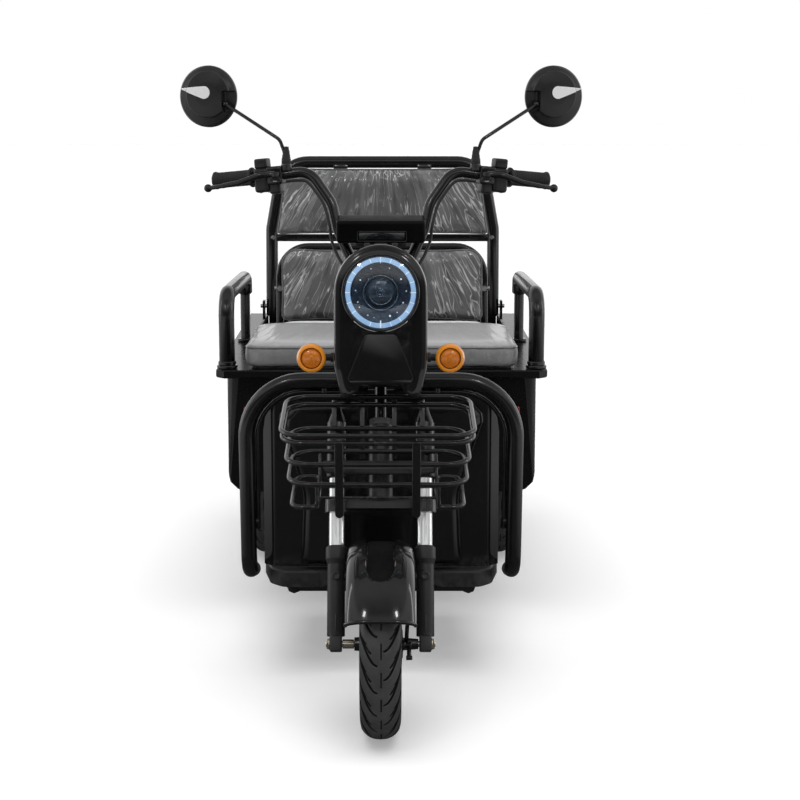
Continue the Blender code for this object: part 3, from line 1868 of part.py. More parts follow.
def cushion(name, half, depth, thickness, crown, finish, place, welts=(), rows=(10, 7)):
    """A stuffed pad: a crowned top with rolled edges and sides that draw in between the corners.

    The pad lies in its own X and Y with its flat back at Z 0. A welt is a sewn channel across X.
    """
    across, along = rows
    rim = 0.022
    bm = bmesh.new()

    def outline(u, v, inset):
        pull = 0.010 * (1 - u * u) * (abs(v) > 0.999) + 0.010 * (1 - v * v) * (abs(u) > 0.999)
        square = max(abs(u), abs(v))
        soft = 1 - 0.10 * (abs(u * v)) ** 6
        x = u * (half - inset - pull * (abs(u) > 0.999)) * soft
        y = v * (depth - inset - pull * (abs(v) > 0.999)) * soft
        return x, y, square

    def height(u, v):
        swell = crown * (1 - u**4) * (1 - v**4)
        seam = sum(0.006 * math.exp(-(((v - w) * depth / 0.010) ** 2)) for w in welts)
        return thickness + swell - seam * (1 - u**8)

    def ring(inset, level):
        return {
            key: bm.verts.new((outline(*spot(*key), inset)[0], outline(*spot(*key), inset)[1], level))
            for key in edge_keys
        }

    def spot(i, j):
        return 2 * i / across - 1, 2 * j / along - 1

    keys = [(i, j) for i in range(across + 1) for j in range(along + 1)]
    edge_keys = [(i, 0) for i in range(across)]
    edge_keys += [(across, j) for j in range(along)]
    edge_keys += [(i, along) for i in range(across, 0, -1)]
    edge_keys += [(0, j) for j in range(along, 0, -1)]
    inner = {}
    for key in keys:
        u, v = spot(*key)
        x, y, _ = outline(u, v, rim * 0.45)
        inner[key] = bm.verts.new((x, y, height(u, v) if max(abs(u), abs(v)) < 0.999 else thickness))
    for i in range(across):
        for j in range(along):
            bm.faces.new((inner[i, j], inner[i + 1, j], inner[i + 1, j + 1], inner[i, j + 1]))
    shoulder = ring(0.0, thickness * 0.72)
    waist = ring(0.001, thickness * 0.28)
    foot = ring(rim * 0.35, 0.0)
    levels = [inner, shoulder, waist, foot]
    for upper, lower in zip(levels, levels[1:]):
        for a, b in zip(edge_keys, edge_keys[1:] + edge_keys[:1]):
            bm.faces.new((upper[a], lower[a], lower[b], upper[b]))
    bm.faces.new([foot[key] for key in edge_keys])
    return from_bmesh(name, bm, finish, place)


seat_middle = (SEAT_FRONT + SEAT_REAR) / 2
seat_depth = (SEAT_REAR - SEAT_FRONT) / 2
seat_pan = box(
    "driver_seat_pan",
    at(-SEAT_HALF + 0.020, SEAT_FRONT + 0.012, RIM_TOP + GAP),
    at(SEAT_HALF - 0.020, SEAT_REAR - 0.008, RIM_TOP + PAN_TOP),
    BLACK_PLASTIC,
    None,
    0.002,
    1,
)
driver_seat = cushion(
    "driver_seat_cushion",
    SEAT_HALF,
    seat_depth,
    0.0520,
    0.0110,
    GREY_VINYL,
    Matrix.Translation(at(0, seat_middle, RIM_TOP + PAN_TOP + GAP)),
)
seat_hinge = at(0, SEAT_FRONT - 0.002, RIM_TOP + 0.0020)
pivot("driver_seat", seat_hinge, (1, 0, 0))
hang("driver_seat", seat_pan, driver_seat)

# Driver backrest: a hoop of thin tube behind a thick pad
hoop_foot = at(0, FRONT_HOOP_BACK, RIM_TOP)
hoop_place = Matrix.Translation(hoop_foot) @ Matrix.Rotation(-RECLINE, 4, "X")
HOOP_HALF, HOOP_TOP = 0.2655, 0.2480
hoop_path = fillet(
    [
        (-HOOP_HALF, 0, 0.008),
        (-HOOP_HALF, 0, HOOP_TOP),
        (HOOP_HALF, 0, HOOP_TOP),
        (HOOP_HALF, 0, 0.008),
    ],
    [0, 0.074, 0.074, 0],
    6,
)
hoop = pipe(
    "driver_backrest_frame",
    [hoop_place @ Vector(p) for p in hoop_path],
    0.0095,
    SATIN_BLACK,
    resolution=2,
)
hoop_bits = []
for word, side in SIDES:
    hoop_bits.append(
        box(
            f"hoop_foot_{word}",
            at(HOOP_HALF * side - 0.020, FRONT_HOOP_BACK - 0.020, RIM_TOP + GAP),
            at(HOOP_HALF * side + 0.020, FRONT_HOOP_BACK + 0.020, RIM_TOP + 0.0100),
            None,
        )
    )
    hoop_bits.append(
        rod(
            f"hoop_bolt_{word}",
            hoop_place @ Vector(((HOOP_HALF - 0.006) * side, 0, 0.140)),
            hoop_place @ Vector(((HOOP_HALF + 0.0145) * side, 0, 0.140)),
            0.0050,
            None,
            8,
        )
    )
hoop_bits.append(
    pipe(
        "hoop_cross",
        [hoop_place @ Vector((-HOOP_HALF, 0, 0.110)), hoop_place @ Vector((HOOP_HALF, 0, 0.110))],
        0.0080,
        None,
    )
)
join(hoop, *hoop_bits)
pad_place = hoop_place @ Matrix.Translation((0, -0.0102, 0.1512)) @ Matrix.Rotation(
    math.radians(90), 4, "X"
)
driver_pad = cushion(
    "driver_backrest_pad", 0.2650, 0.0920, 0.0420, 0.0100, GREY_VINYL, pad_place, rows=(10, 5)
)

# Rear seat
rear_seat = cushion(
    "rear_seat_cushion",
    0.3000,
    0.1900,
    0.0480,
    0.0100,
    GREY_VINYL,
    Matrix.Translation(at(0, 1.5350, 0.5524)),
)

# Rear backrest: a wide frame of thick tube that folds forward on two pins
rear_place = Matrix.Translation(at(0, REAR_POST_BACK, REAR_HINGE_Z)) @ Matrix.Rotation(-RECLINE, 4, "X")
POST_RADIUS = 0.0170
post_path = [
    (-REAR_POST_X, 0, -0.024),
    (-REAR_POST_X, 0, 0.222),
    (-0.2850, 0, 0.412),
    (0.2850, 0, 0.412),
    (REAR_POST_X, 0, 0.222),
    (REAR_POST_X, 0, -0.024),
]
rear_frame = pipe(
    "rear_backrest_frame",
    [rear_place @ Vector(p) for p in fillet(post_path, [0, 0.08, 0.085, 0.085, 0.08, 0], 4)],
    POST_RADIUS,
    SATIN_BLACK,
    resolution=2,
)
low_bar = pipe(
    "rear_low_bar",
    [rear_place @ Vector((-REAR_POST_X, 0, 0.1960)), rear_place @ Vector((REAR_POST_X, 0, 0.1960))],
    0.0105,
    None,
)
pins = [
    rod(
        f"backrest_pin_{word}",
        at((REAR_POST_X + 0.004) * side, REAR_POST_BACK, REAR_HINGE_Z),
        at((EAR_OUTER + 0.007) * side, REAR_POST_BACK, REAR_HINGE_Z),
        0.0058,
        None,
        12,
    )
    for word, side in SIDES
]
join(rear_frame, low_bar, *pins)
rear_pad_place = rear_place @ Matrix.Translation((0, -0.0180, 0.3013)) @ Matrix.Rotation(
    math.radians(90), 4, "X"
)
rear_pad = cushion(
    "rear_backrest_pad", 0.3060, 0.0930, 0.0400, 0.0100, GREY_VINYL, rear_pad_place, rows=(10, 5)
)
for vertex in rear_pad.data.vertices:
    rise = max(0.0, (vertex.co.y + 0.093) / 0.186)
    vertex.co.x *= 1 - 0.070 * rise
pivot("rear_backrest", at(0, REAR_POST_BACK, REAR_HINGE_Z), (1, 0, 0))
hang("rear_backrest", rear_frame, rear_pad)


# Armrests


def armrest(word, side):
    """A thick front leg and rail with a thinner rear post, on flanged feet."""
    x = 0.3645 * side
    rear_x = 0.3570 * side
    path = [
        at(x, 0.8150, RIM_TOP + 0.004),
        at(x, 0.8080, 0.7790),
        at(rear_x, 1.2780, 0.7720),
        at(rear_x, 1.2820, 0.7350),
    ]
    leg = pipe(
        f"{word}_armrest", fillet(path, [0, 0.050, 0.030, 0], 4), 0.0185, SATIN_BLACK, resolution=2
    )
    post = rod(
        f"{word}_armrest_post",
        at(rear_x, 1.2820, RIM_TOP + 0.004),
        at(rear_x, 1.2820, 0.7560),
        0.0125,
        None,
        12,
    )
    feet = [
        rod(
            f"{word}_armrest_foot_front",
            at(x, 0.8150, RIM_TOP + GAP),
            at(x, 0.8150, RIM_TOP + 0.0080),
            0.0245,
            None,
            16,
        ),
        rod(
            f"{word}_armrest_foot_rear",
            at(rear_x, 1.2820, RIM_TOP + GAP),
            at(rear_x, 1.2820, RIM_TOP + 0.0080),
            0.0210,
            None,
            12,
        ),
    ]
    return join(leg, post, *feet)


armrests = [armrest(word, side) for word, side in SIDES]


# Rear axle, suspension and wheels


def motor_profile():
    """The ribbed case of the motor."""
    profile = [(0.0, 0.0810), (0.0200, 0.0790), (0.0220, 0.0680), (0.0460, 0.0640)]
    for k in range(3):
        rib = 0.0560 - k * 0.0400
        profile += [
            (0.0560, rib), (0.0560, rib - 0.0180), (0.0500, rib - 0.0240), (0.0500, rib - 0.0340)
        ]
    return profile + [(0.0220, -0.0680), (0.0, -0.0700)]


def rear_axle():
    """The swing arms, axle tube and gear case as one welded and bolted assembly."""
    hub = at(0, WHEELBASE, TYRE_RADIUS)
    left_half = [
        (0.0, 0.2400),
        (0.0560, 0.2400),
        (0.0560, 0.2310),
        (0.0230, 0.2310),
        (0.0230, 0.0620),
        (0.0450, 0.0600),
        (0.0750, 0.0280),
    ]
    section = left_half + [(r, -h) for r, h in reversed(left_half)]
    body = turned("rear_axle", section, FRAME_BLACK, sideways(hub), 16)
    bits = []
    eyes = []
    for word, side in SIDES:
        x = 0.1250 * side
        eye = at(x, PIVOT_BACK, PIVOT_Z)
        half = Vector((0.0160, 0, 0))
        bits.append(
            pipe(
                f"arm_{word}",
                [eye + Vector((0, 0.010, 0)), at(x, WHEELBASE - 0.004, TYRE_RADIUS + 0.0013)],
                0.0151,
                None,
            )
        )
        bits.append(rod(f"eye_{word}", eye - half, eye + half, 0.0225, None, 12))
        eyes.append(rod(f"eye_bore_{word}", eye - half * 1.5, eye + half * 1.5, 0.0140, None, 10))
        seat = [
            (0.0, 0.3000),
            (0.0150, 0.3000),
            (0.0160, 0.2140),
            (0.0365, 0.2140),
            (0.0365, 0.1960),
            (0.0, 0.1960),
        ]
        bits.append(
            turned(
                f"lower_seat_{word}",
                seat,
                None,
                Matrix.Translation(at(RAIL_X * side, WHEELBASE, 0)),
                12,
            )
        )
    bits.append(turned("drive_motor", motor_profile(), None, sideways(at(0, 1.3260, 0.2050)), 14))
    bits.append(box("motor_bracket", at(-0.1250, 1.3000, 0.1930), at(0.1250, 1.3500, 0.2030), None))
    join(body, *bits)
    return cut(body, *eyes)


axle = rear_axle()


def coil_points(centre, radius, low, high, turns, per_turn):
    """A helix about a vertical axis."""
    steps = turns * per_turn
    return [
        centre
        + Vector(
            (
                radius * math.cos(math.tau * k / per_turn),
                radius * math.sin(math.tau * k / per_turn),
                low + (high - low) * k / steps,
            )
        )
        for k in range(steps + 1)
    ]


SPRING_WIRE = 0.0042
SPRING_LOW, SPRING_HIGH = 0.2140 + SPRING_WIRE + GAP, 0.3790 - SPRING_WIRE - GAP
SPRING_TURNS = 5
springs = []
for word, side in SIDES:
    points = coil_points(
        at(RAIL_X * side, WHEELBASE, 0), 0.0295, SPRING_LOW, SPRING_HIGH, SPRING_TURNS, 8
    )
    springs.append(tube(f"{word}_rear_spring", points, SPRING_WIRE, CHROME, resolution=1))
print(
    "least gap between spring turns (mm):",
    round(1000 * ((SPRING_HIGH - SPRING_LOW) / SPRING_TURNS - 2 * SPRING_WIRE), 2),
)

hang("rear_suspension", axle)

for word, side in SIDES:
    centre = at(REAR_WHEEL_X * side, WHEELBASE, TYRE_RADIUS)
    wheel_tyre = tyre(f"{word}_rear_tyre", centre, 24)
    face = [(0.0, 0.0240), (0.0140, 0.0230), (0.0330, 0.0060)]
    drum = [(0.0330, -0.0060), (0.0540, -0.0120), (0.0560, -0.0640), (0.0, -0.0700)]
    section = face + RIM_HIGH + RIM_CHANNEL + RIM_LOW + drum
    turn = Matrix.Rotation(math.radians(90 * side), 4, "Y")
    wheel_rim = turned(f"{word}_rear_rim", section, GLOSS_BLACK, Matrix.Translation(centre) @ turn, 18)
    hang(f"rear_wheel_{word}", wheel_tyre, wheel_rim)
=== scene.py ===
"""The looks of a small electric passenger tricycle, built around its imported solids.

Units are metres, +Z is up and the tricycle faces -Y. A place is a side (x), a distance behind the
front axle and a height, as at() reads it; the fork's own pieces are placed along its raked axis.
"""

import math

import bmesh
import bpy
from mathutils import Matrix, Vector, noise


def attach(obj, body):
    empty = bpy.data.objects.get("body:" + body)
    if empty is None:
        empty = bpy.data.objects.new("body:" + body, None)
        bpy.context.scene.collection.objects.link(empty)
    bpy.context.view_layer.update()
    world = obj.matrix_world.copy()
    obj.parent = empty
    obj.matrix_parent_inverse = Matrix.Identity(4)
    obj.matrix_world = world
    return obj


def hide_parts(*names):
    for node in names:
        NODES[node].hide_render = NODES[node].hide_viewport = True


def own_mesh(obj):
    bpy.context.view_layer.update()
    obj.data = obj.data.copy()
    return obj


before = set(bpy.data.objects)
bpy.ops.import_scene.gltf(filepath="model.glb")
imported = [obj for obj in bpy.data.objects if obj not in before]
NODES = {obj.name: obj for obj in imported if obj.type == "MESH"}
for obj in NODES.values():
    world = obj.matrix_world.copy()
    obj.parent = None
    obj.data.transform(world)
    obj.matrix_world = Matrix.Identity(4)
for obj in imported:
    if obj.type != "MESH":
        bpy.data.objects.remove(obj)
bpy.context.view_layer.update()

scene = bpy.context.scene

# Sizes shared with the solids
FRONT_AXLE_Y = -0.8695
WHEELBASE = 1.45
REAR_WHEEL_X = 0.315
TYRE_RADIUS = 0.1835
RAKE = math.radians(22)
LEG_X = 0.0875
FENDER_BOLT_UP = 0.132
FORK_OFFSET = 0.035
LAMP_Z = 0.862
LAMP_BACK = 0.12
LAMP_TILT = math.radians(8)
LAMP_RADIUS = 0.0758
COWL_HALF = 0.092
COWL_BASE = 0.66
COWL_LEAN = 0.14
RIM_TOP = 0.605
RECLINE = math.radians(5)
SIDES = (("left", 1), ("right", -1))
VINYL_DARK = (0.105, 0.106, 0.108)
VINYL_LIGHT = (0.155, 0.156, 0.159)
# The seats take the pads' grey vinyl painted lighter: painted light on the seats
SEAT_VINYL_PAINTED_LIGHTER = (0.225, 0.226, 0.229), (0.295, 0.296, 0.3)

# How bright the stage is: the floor's own glow makes up what the lamps leave short of white
WORLD_LIGHT = 0.26
SUN = 2.15
SUN_SPREAD = math.radians(52)
ROOM_FRONT = 0.055
FLOOR_TONE = 0.8
FLOOR_GLOW = 0.3
FLOOR_SHEEN = 0.03


def at(x, back, z):
    """A point given by its side, its distance behind the front axle and its height."""
    return Vector((x, FRONT_AXLE_Y + back, z))


X = Vector((1, 0, 0))
FORK_UP = Vector((0, math.sin(RAKE), math.cos(RAKE)))
FORK_BACK = Vector((0, math.cos(RAKE), -math.sin(RAKE)))
AXLE = at(0, 0, TYRE_RADIUS)


def fork_at(x, back, along):
    """A point beside the fork legs: back is square to them, along runs up from the axle."""
    return AXLE + X * x + FORK_BACK * back + FORK_UP * along


def frame_of(point, x_axis, y_axis, z_axis):
    """The placing matrix whose axes are the three given directions."""
    matrix = Matrix((x_axis, y_axis, z_axis)).transposed().to_4x4()
    matrix.translation = point
    return matrix


def fork_frame(x, back, along):
    """A placing matrix with Z up the fork legs."""
    return frame_of(fork_at(x, back, along), X, FORK_BACK, FORK_UP)


def facing(point, direction, up=Vector((0, 0, 1))):
    """A placing matrix with Z along a direction and Y as near to up as it can be."""
    z_axis = Vector(direction).normalized()
    x_axis = Vector(up).cross(z_axis).normalized()
    return frame_of(Vector(point), x_axis, z_axis.cross(x_axis), z_axis)


def sideways(point, side=1):
    """A placing matrix with Z along +X, or -X, for wheels and axles."""
    return Matrix.Translation(point) @ Matrix.Rotation(math.radians(90 * side), 4, "Y")


BAR_ELBOW = (0.2, 0.37, 1.079)
BAR_END = (0.346, 0.42, 1.064)


def bar_end_axis(side):
    start, end = Vector(BAR_ELBOW), Vector(BAR_END)
    axis = end - start
    return Vector((axis.x * side, axis.y, axis.z)).normalized()


def bar_point(side, x, forward=0.0, up=0.0):
    """A point beside the outer stretch of the bar, at a given side."""
    share = (x - BAR_ELBOW[0]) / (BAR_END[0] - BAR_ELBOW[0])
    point = Vector(BAR_ELBOW).lerp(Vector(BAR_END), share)
    return at(point.x * side, point.y - forward, point.z + up)


def flat(points):
    """Points of a plane as vectors."""
    return [Vector((x, y, 0)) for x, y in points]


def mirrored(half):
    """Half an outline and its mirror image; points on the middle line are there once."""
    return half + [(-x, y) for x, y in reversed(half) if abs(x) > 1e-9]


def turned(radius, angle, height):
    """A point by its distance from the Z axis, its angle round it and its height."""
    return Vector((radius * math.cos(angle), radius * math.sin(angle), height))


def ball(radius, steps):
    """The profile of a ball, from its foot to its top."""
    arc = [math.pi * k / steps for k in range(steps + 1)]
    return [(radius * math.sin(a), -radius * math.cos(a)) for a in arc]


def smooth_route(route, per_span, closed=False):
    """Points on a smooth curve through the route's own points."""
    route = [Vector(p) for p in route]
    count = len(route)
    if closed:
        points = [route[-1]] + route + [route[0], route[1]]
    else:
        points = [2 * route[0] - route[1]] + route + [2 * route[-1] - route[-2]]
    made = []
    for i in range(1, count + 1 if closed else count):
        a, b, c, d = points[i - 1], points[i], points[i + 1], points[i + 2]
        for k in range(per_span):
            t = k / per_span
            bend, twist = 2 * a - 5 * b + 4 * c - d, 3 * b - a - 3 * c + d
            made.append(0.5 * (2 * b + (c - a) * t + bend * t * t + twist * t**3))
    return made if closed else made + [route[-1]]


def leaning(point, angle):
    """A placing matrix tipped about the X axis."""
    return Matrix.Translation(point) @ Matrix.Rotation(angle, 4, "X")


def smooth_profile(points, per_span):
    return [(p.x, p.y) for p in smooth_route(flat(points), per_span)]


# The camera stands where the photographer stood

camera = bpy.data.objects.new("camera", bpy.data.cameras.new("camera"))
scene.collection.objects.link(camera)
camera.data.sensor_width = 36.0
camera.data.lens = 81.0
camera.data.shift_x = 0.0169
camera.location = (0.0114, FRONT_AXLE_Y - 3.3893, 1.2456)
camera.rotation_euler = (math.radians(90 - 9.679), 0.0, 0.0)
scene.camera = camera


# Materials


class Nodes:
    """The node tree of a material or a world, or a node group."""

    def __init__(self, made):
        self.made = self.tree = made
        if not isinstance(made, bpy.types.NodeTree):
            made.use_nodes = True
            self.tree = made.node_tree

    def node(self, kind, sockets=None, **settings):
        """A node whose sockets are set or linked in one go."""
        node = self.tree.nodes.new(kind)
        for key, value in settings.items():
            setattr(node, key, value)
        for key, value in (sockets or {}).items():
            if isinstance(value, bpy.types.NodeSocket):
                self.tree.links.new(value, node.inputs[key])
            else:
                node.inputs[key].default_value = value
        return node

    def value(self, kind, sockets=None, out=0, **settings):
        """One output of a new node."""
        return self.node(kind, sockets, **settings).outputs[out]

    def math(self, operation, first, second=0.0, third=0.0, clamp=False):
        sockets = {0: first, 1: second, 2: third}
        return self.value("ShaderNodeMath", sockets, operation=operation, use_clamp=clamp)

    def times(self, first, second, clamp=False):
        return self.math("MULTIPLY", first, second, clamp=clamp)

    def greatest(self, first, *others):
        for other in others:
            first = self.math("MAXIMUM", first, other)
        return first

    def split(self, vector):
        return self.node("ShaderNodeSeparateXYZ", {0: vector}).outputs

    def spread(self, value, low, high, out_low=0.0, out_high=1.0):
        sockets = {
            "Value": value, "From Min": low, "From Max": high, "To Min": out_low, "To Max": out_high
        }
        return self.value("ShaderNodeMapRange", sockets)

    def mix(self, share, first, second):
        sockets = {0: share}
        for index, value in ((6, first), (7, second)):
            sockets[index] = value if isinstance(value, bpy.types.NodeSocket) else (*value, 1.0)
        return self.value("ShaderNodeMix", sockets, data_type="RGBA", out=2)


class Shader(Nodes):
    """A Principled material whose surface comes from noise in the object's own metres."""

    def __init__(self, name, metallic=0.0, **sockets):
        super().__init__(bpy.data.materials.new(name))
        self.out = self.tree.nodes["Principled BSDF"]
        self.out.inputs["Metallic"].default_value = metallic
        for key, value in sockets.items():
            self.out.inputs[key.replace("_", " ")].default_value = value
        self.place = self.value("ShaderNodeTexCoord", out="Object")

    def to(self, socket, source):
        self.tree.links.new(source, self.out.inputs[socket])

    def scaled(self, scale):
        """The place stretched by a scale for each axis."""
        return self.value("ShaderNodeMapping", {"Vector": self.place, "Scale": scale})

    def noise(self, scale, detail=3.0, roughness=0.55, distortion=0.0, vector=None):
        sockets = {
            "Vector": vector or self.place, "Scale": scale, "Detail": detail, "Roughness": roughness,
            "Distortion": distortion,
        }
        return self.value("ShaderNodeTexNoise", sockets, out="Fac")

    def off_axis(self):
        """The distance from the piece's Z axis."""
        x, y, _ = self.split(self.place)
        return self.math(
            "SQRT", self.math("ADD", self.math("POWER", x, 2.0), self.math("POWER", y, 2.0))
        )

    def patchy(self, scale, detail, low=0.0, high=1.0, start=0.3, end=0.7, roughness=0.55):
        """Noise of a scale, its middle stretch carried to low and high."""
        return self.spread(self.noise(scale, detail, roughness), start, end, low, high)

    def bump(self, height, strength, distance, normal=None):
        sockets = {"Height": height, "Strength": strength, "Distance": distance}
        if normal is not None:
            sockets["Normal"] = normal
        return self.value("ShaderNodeBump", sockets)

    def up_facing(self):
        """1 where the surface looks up, 0 where it looks sideways or down."""
        normal = self.value("ShaderNodeNewGeometry", out="Normal")
        return self.split(normal)[2]

    def edges(self, low, high):
        """1 on the outer edges of the shape, from its pointiness."""
        return self.spread(self.value("ShaderNodeNewGeometry", out="Pointiness"), low, high)


def coated(
    name, dark, light, rough, grain, bump, dust, wear=(0.05, 0.05, 0.052), metallic=0.0, worn=0.5,
    **sockets,
):
    """Paint or moulded plastic: mottled colour, uneven gloss, fine relief, dust on top, worn edges."""
    made = Shader(name, metallic, **sockets)
    colour = made.mix(made.patchy(9.0, 4.0), dark, light)
    edge = made.times(made.edges(0.53, 0.6), made.patchy(60.0, 5.0, 0.0, worn, 0.42, 0.62))
    colour = made.mix(edge, colour, wear)
    film = made.times(
        made.spread(made.up_facing(), 0.1, 0.95), made.spread(made.noise(22.0, 6.0, 0.7), 0.35, 0.75)
    )
    dusty = made.times(film, dust)
    colour = made.mix(dusty, colour, (0.34, 0.33, 0.31))
    made.to("Base Color", colour)
    gloss = made.patchy(35.0, 5.0, *rough, roughness=0.65)
    made.to("Roughness", made.math("MULTIPLY_ADD", dusty, 1.2, gloss, clamp=True))
    made.to("Normal", made.bump(made.noise(grain, 2.0), bump, 0.0006))
    return made.made


INK = (0.0035, 0.0035, 0.004), (0.0065, 0.0065, 0.007)
GLOSS = coated(
    "gloss_black_panels",
    *INK,
    (0.1, 0.18), 260, 0.04, 0.02, Coat_Weight=0.6, Coat_Roughness=0.04, Specular_IOR_Level=0.3,
)
SATIN = coated(
    "black_enamel_tube", *INK, (0.16, 0.26), 420, 0.06, 0.02, Coat_Weight=0.3, Coat_Roughness=0.08
)
FRAME_PAINT = coated(
    "black_frame_enamel", (0.006, 0.006, 0.0065), (0.011, 0.011, 0.0115), (0.28, 0.42), 300, 0.12, 0.05
)
PLASTIC = coated(
    "black_moulded_plastic", (0.0065, 0.0065, 0.007), (0.011, 0.011, 0.012), (0.26, 0.38), 1500, 0.12,
    0.03,
)
SOFT_PLASTIC = coated(
    "black_mirror_plastic", (0.009, 0.009, 0.0095), (0.014, 0.014, 0.015), (0.28, 0.38), 1800, 0.16,
    0.03,
)
GRIP = coated(
    "grip_rubber_ribbed", (0.01, 0.01, 0.01), (0.018, 0.018, 0.018), (0.55, 0.72), 900, 0.25, 0.1,
    (0.03, 0.03, 0.03),
)
CABLE = coated(
    "cable_sheath", (0.008, 0.008, 0.008), (0.014, 0.014, 0.014), (0.38, 0.5), 700, 0.15, 0.06
)
CASE = coated(
    "battery_case_plastic", (0.045, 0.05, 0.065), (0.065, 0.072, 0.09), (0.45, 0.6), 900, 0.2, 0.2,
    (0.12, 0.13, 0.15),
)
SHEET_PLASTIC = coated(
    "black_floor_sheet", (0.008, 0.008, 0.0085), (0.014, 0.014, 0.015), (0.4, 0.55), 1100, 0.2, 0.06,
    (0.05, 0.05, 0.05),
)
STEEL = coated(
    "zinc_plated_steel", (0.42, 0.42, 0.41), (0.6, 0.6, 0.58), (0.24, 0.4), 500, 0.15, 0.1,
    (0.75, 0.75, 0.74), 1.0,
)
GOLD = coated(
    "pale_passivated_zinc", (0.66, 0.59, 0.45), (0.86, 0.8, 0.67), (0.16, 0.26), 500, 0.12, 0.04,
    (0.85, 0.8, 0.68), 1.0,
)
RECESS = coated(
    "deep_gloss_recess", (0.0035, 0.0035, 0.004), (0.006, 0.006, 0.0065), (0.06, 0.12), 200, 0.03, 0.02,
    Coat_Weight=0.8, Coat_Roughness=0.03,
)


def chrome():
    """Hard chrome with fine polishing lines along the tube and a little haze."""
    made = Shader("hard_chrome", 0.72)
    lines = made.noise(1.0, 3.0, 0.6, 0.0, made.scaled((900, 900, 12)))
    haze = made.noise(45.0, 4.0)
    made.to("Base Color", made.mix(haze, (0.9, 0.905, 0.915), (0.96, 0.965, 0.97)))
    gloss = made.spread(haze, 0.3, 0.7, 0.08, 0.16)
    made.to("Roughness", made.math("MULTIPLY_ADD", lines, 0.08, gloss))
    made.to("Normal", made.bump(lines, 0.04, 0.0004))
    return made.made


TREAD_PITCHES = 21
TREAD_PITCH = math.tau * TYRE_RADIUS / TREAD_PITCHES
SHOULDER = 0.15
# Each cut: its start along the pitch, from and to across, its sweep, how it bends, half its width
TREAD = (
    (0.0, 0.0055, 0.039, 0.068, 2.0, 0.0019),
    (0.42, 0.017, 0.0395, 0.046, 1.5, 0.0014),
    (0.75, 0.026, 0.0395, 0.026, 1.2, 0.0011),
)


def tyre_rubber():
    """Dull rubber with moulding grain, paler where it is scuffed, with painted shade in the cuts of the
    tread.
    """
    made = Shader("tyre_rubber_moulded")
    x, y, z = made.split(made.place)
    run = made.times(made.math("ARCTAN2", y, x), -TYRE_RADIUS)
    across = made.math("ABSOLUTE", z)
    run = made.math("MULTIPLY_ADD", made.math("LESS_THAN", z, 0.0), TREAD_PITCH / 2, run)
    cut = 0.0
    for start, first, last, sweep_by, bend, width in TREAD:
        share = made.spread(across, first, last)
        middle = made.times(made.math("POWER", share, bend), sweep_by)
        past = made.math("SUBTRACT", made.math("SUBTRACT", run, middle), start * TREAD_PITCH)
        off = made.math("WRAP", past, TREAD_PITCH / 2, -TREAD_PITCH / 2)
        slope = made.times(made.math("POWER", share, bend - 1), sweep_by * bend / (last - first))
        wide = made.math("SQRT", made.math("MULTIPLY_ADD", slope, slope, 1.0))
        near = made.math("DIVIDE", made.math("ABSOLUTE", off), wide)
        inside = made.times(
            made.math("GREATER_THAN", across, first), made.math("LESS_THAN", across, last)
        )
        line = made.times(made.spread(near, width * 0.7, width * 1.2, 1.0, 0.0), inside)
        cut = line if cut == 0.0 else made.math("MAXIMUM", cut, line)
    off = made.math("WRAP", run, TREAD_PITCH / 2, -TREAD_PITCH / 2)
    dash = made.spread(made.math("ABSOLUTE", off), TREAD_PITCH * 0.27, TREAD_PITCH * 0.29, 1.0, 0.0)
    off_line = made.math("ABSOLUTE", made.math("ADD", z, -0.0014))
    centre = made.times(dash, made.spread(off_line, 0.0011, 0.0018, 1.0, 0.0))
    cut = made.times(
        made.math("MAXIMUM", cut, centre), made.math("GREATER_THAN", made.off_axis(), SHOULDER)
    )
    blotch = made.noise(14.0, 5.0, 0.6)
    colour = made.mix(made.spread(blotch, 0.35, 0.7), (0.036, 0.036, 0.037), (0.06, 0.06, 0.06))
    colour = made.mix(made.times(made.edges(0.5, 0.58), 0.35), colour, (0.07, 0.069, 0.067))
    # Painted shade: the cuts of the tread are coloured near black
    made.to("Base Color", made.mix(cut, colour, (0.0012, 0.0012, 0.0012)))
    made.to("Roughness", made.math("MAXIMUM", cut, made.patchy(70.0, 4.0, 0.42, 0.62)))
    grain = made.math("ADD", made.noise(1600.0, 2.0), made.times(made.noise(240.0, 3.0), 0.8))
    made.to(
        "Normal", made.bump(made.math("SUBTRACT", 1.0, cut), 0.6, 0.001, made.bump(grain, 0.25, 0.0006))
    )
    return made.made


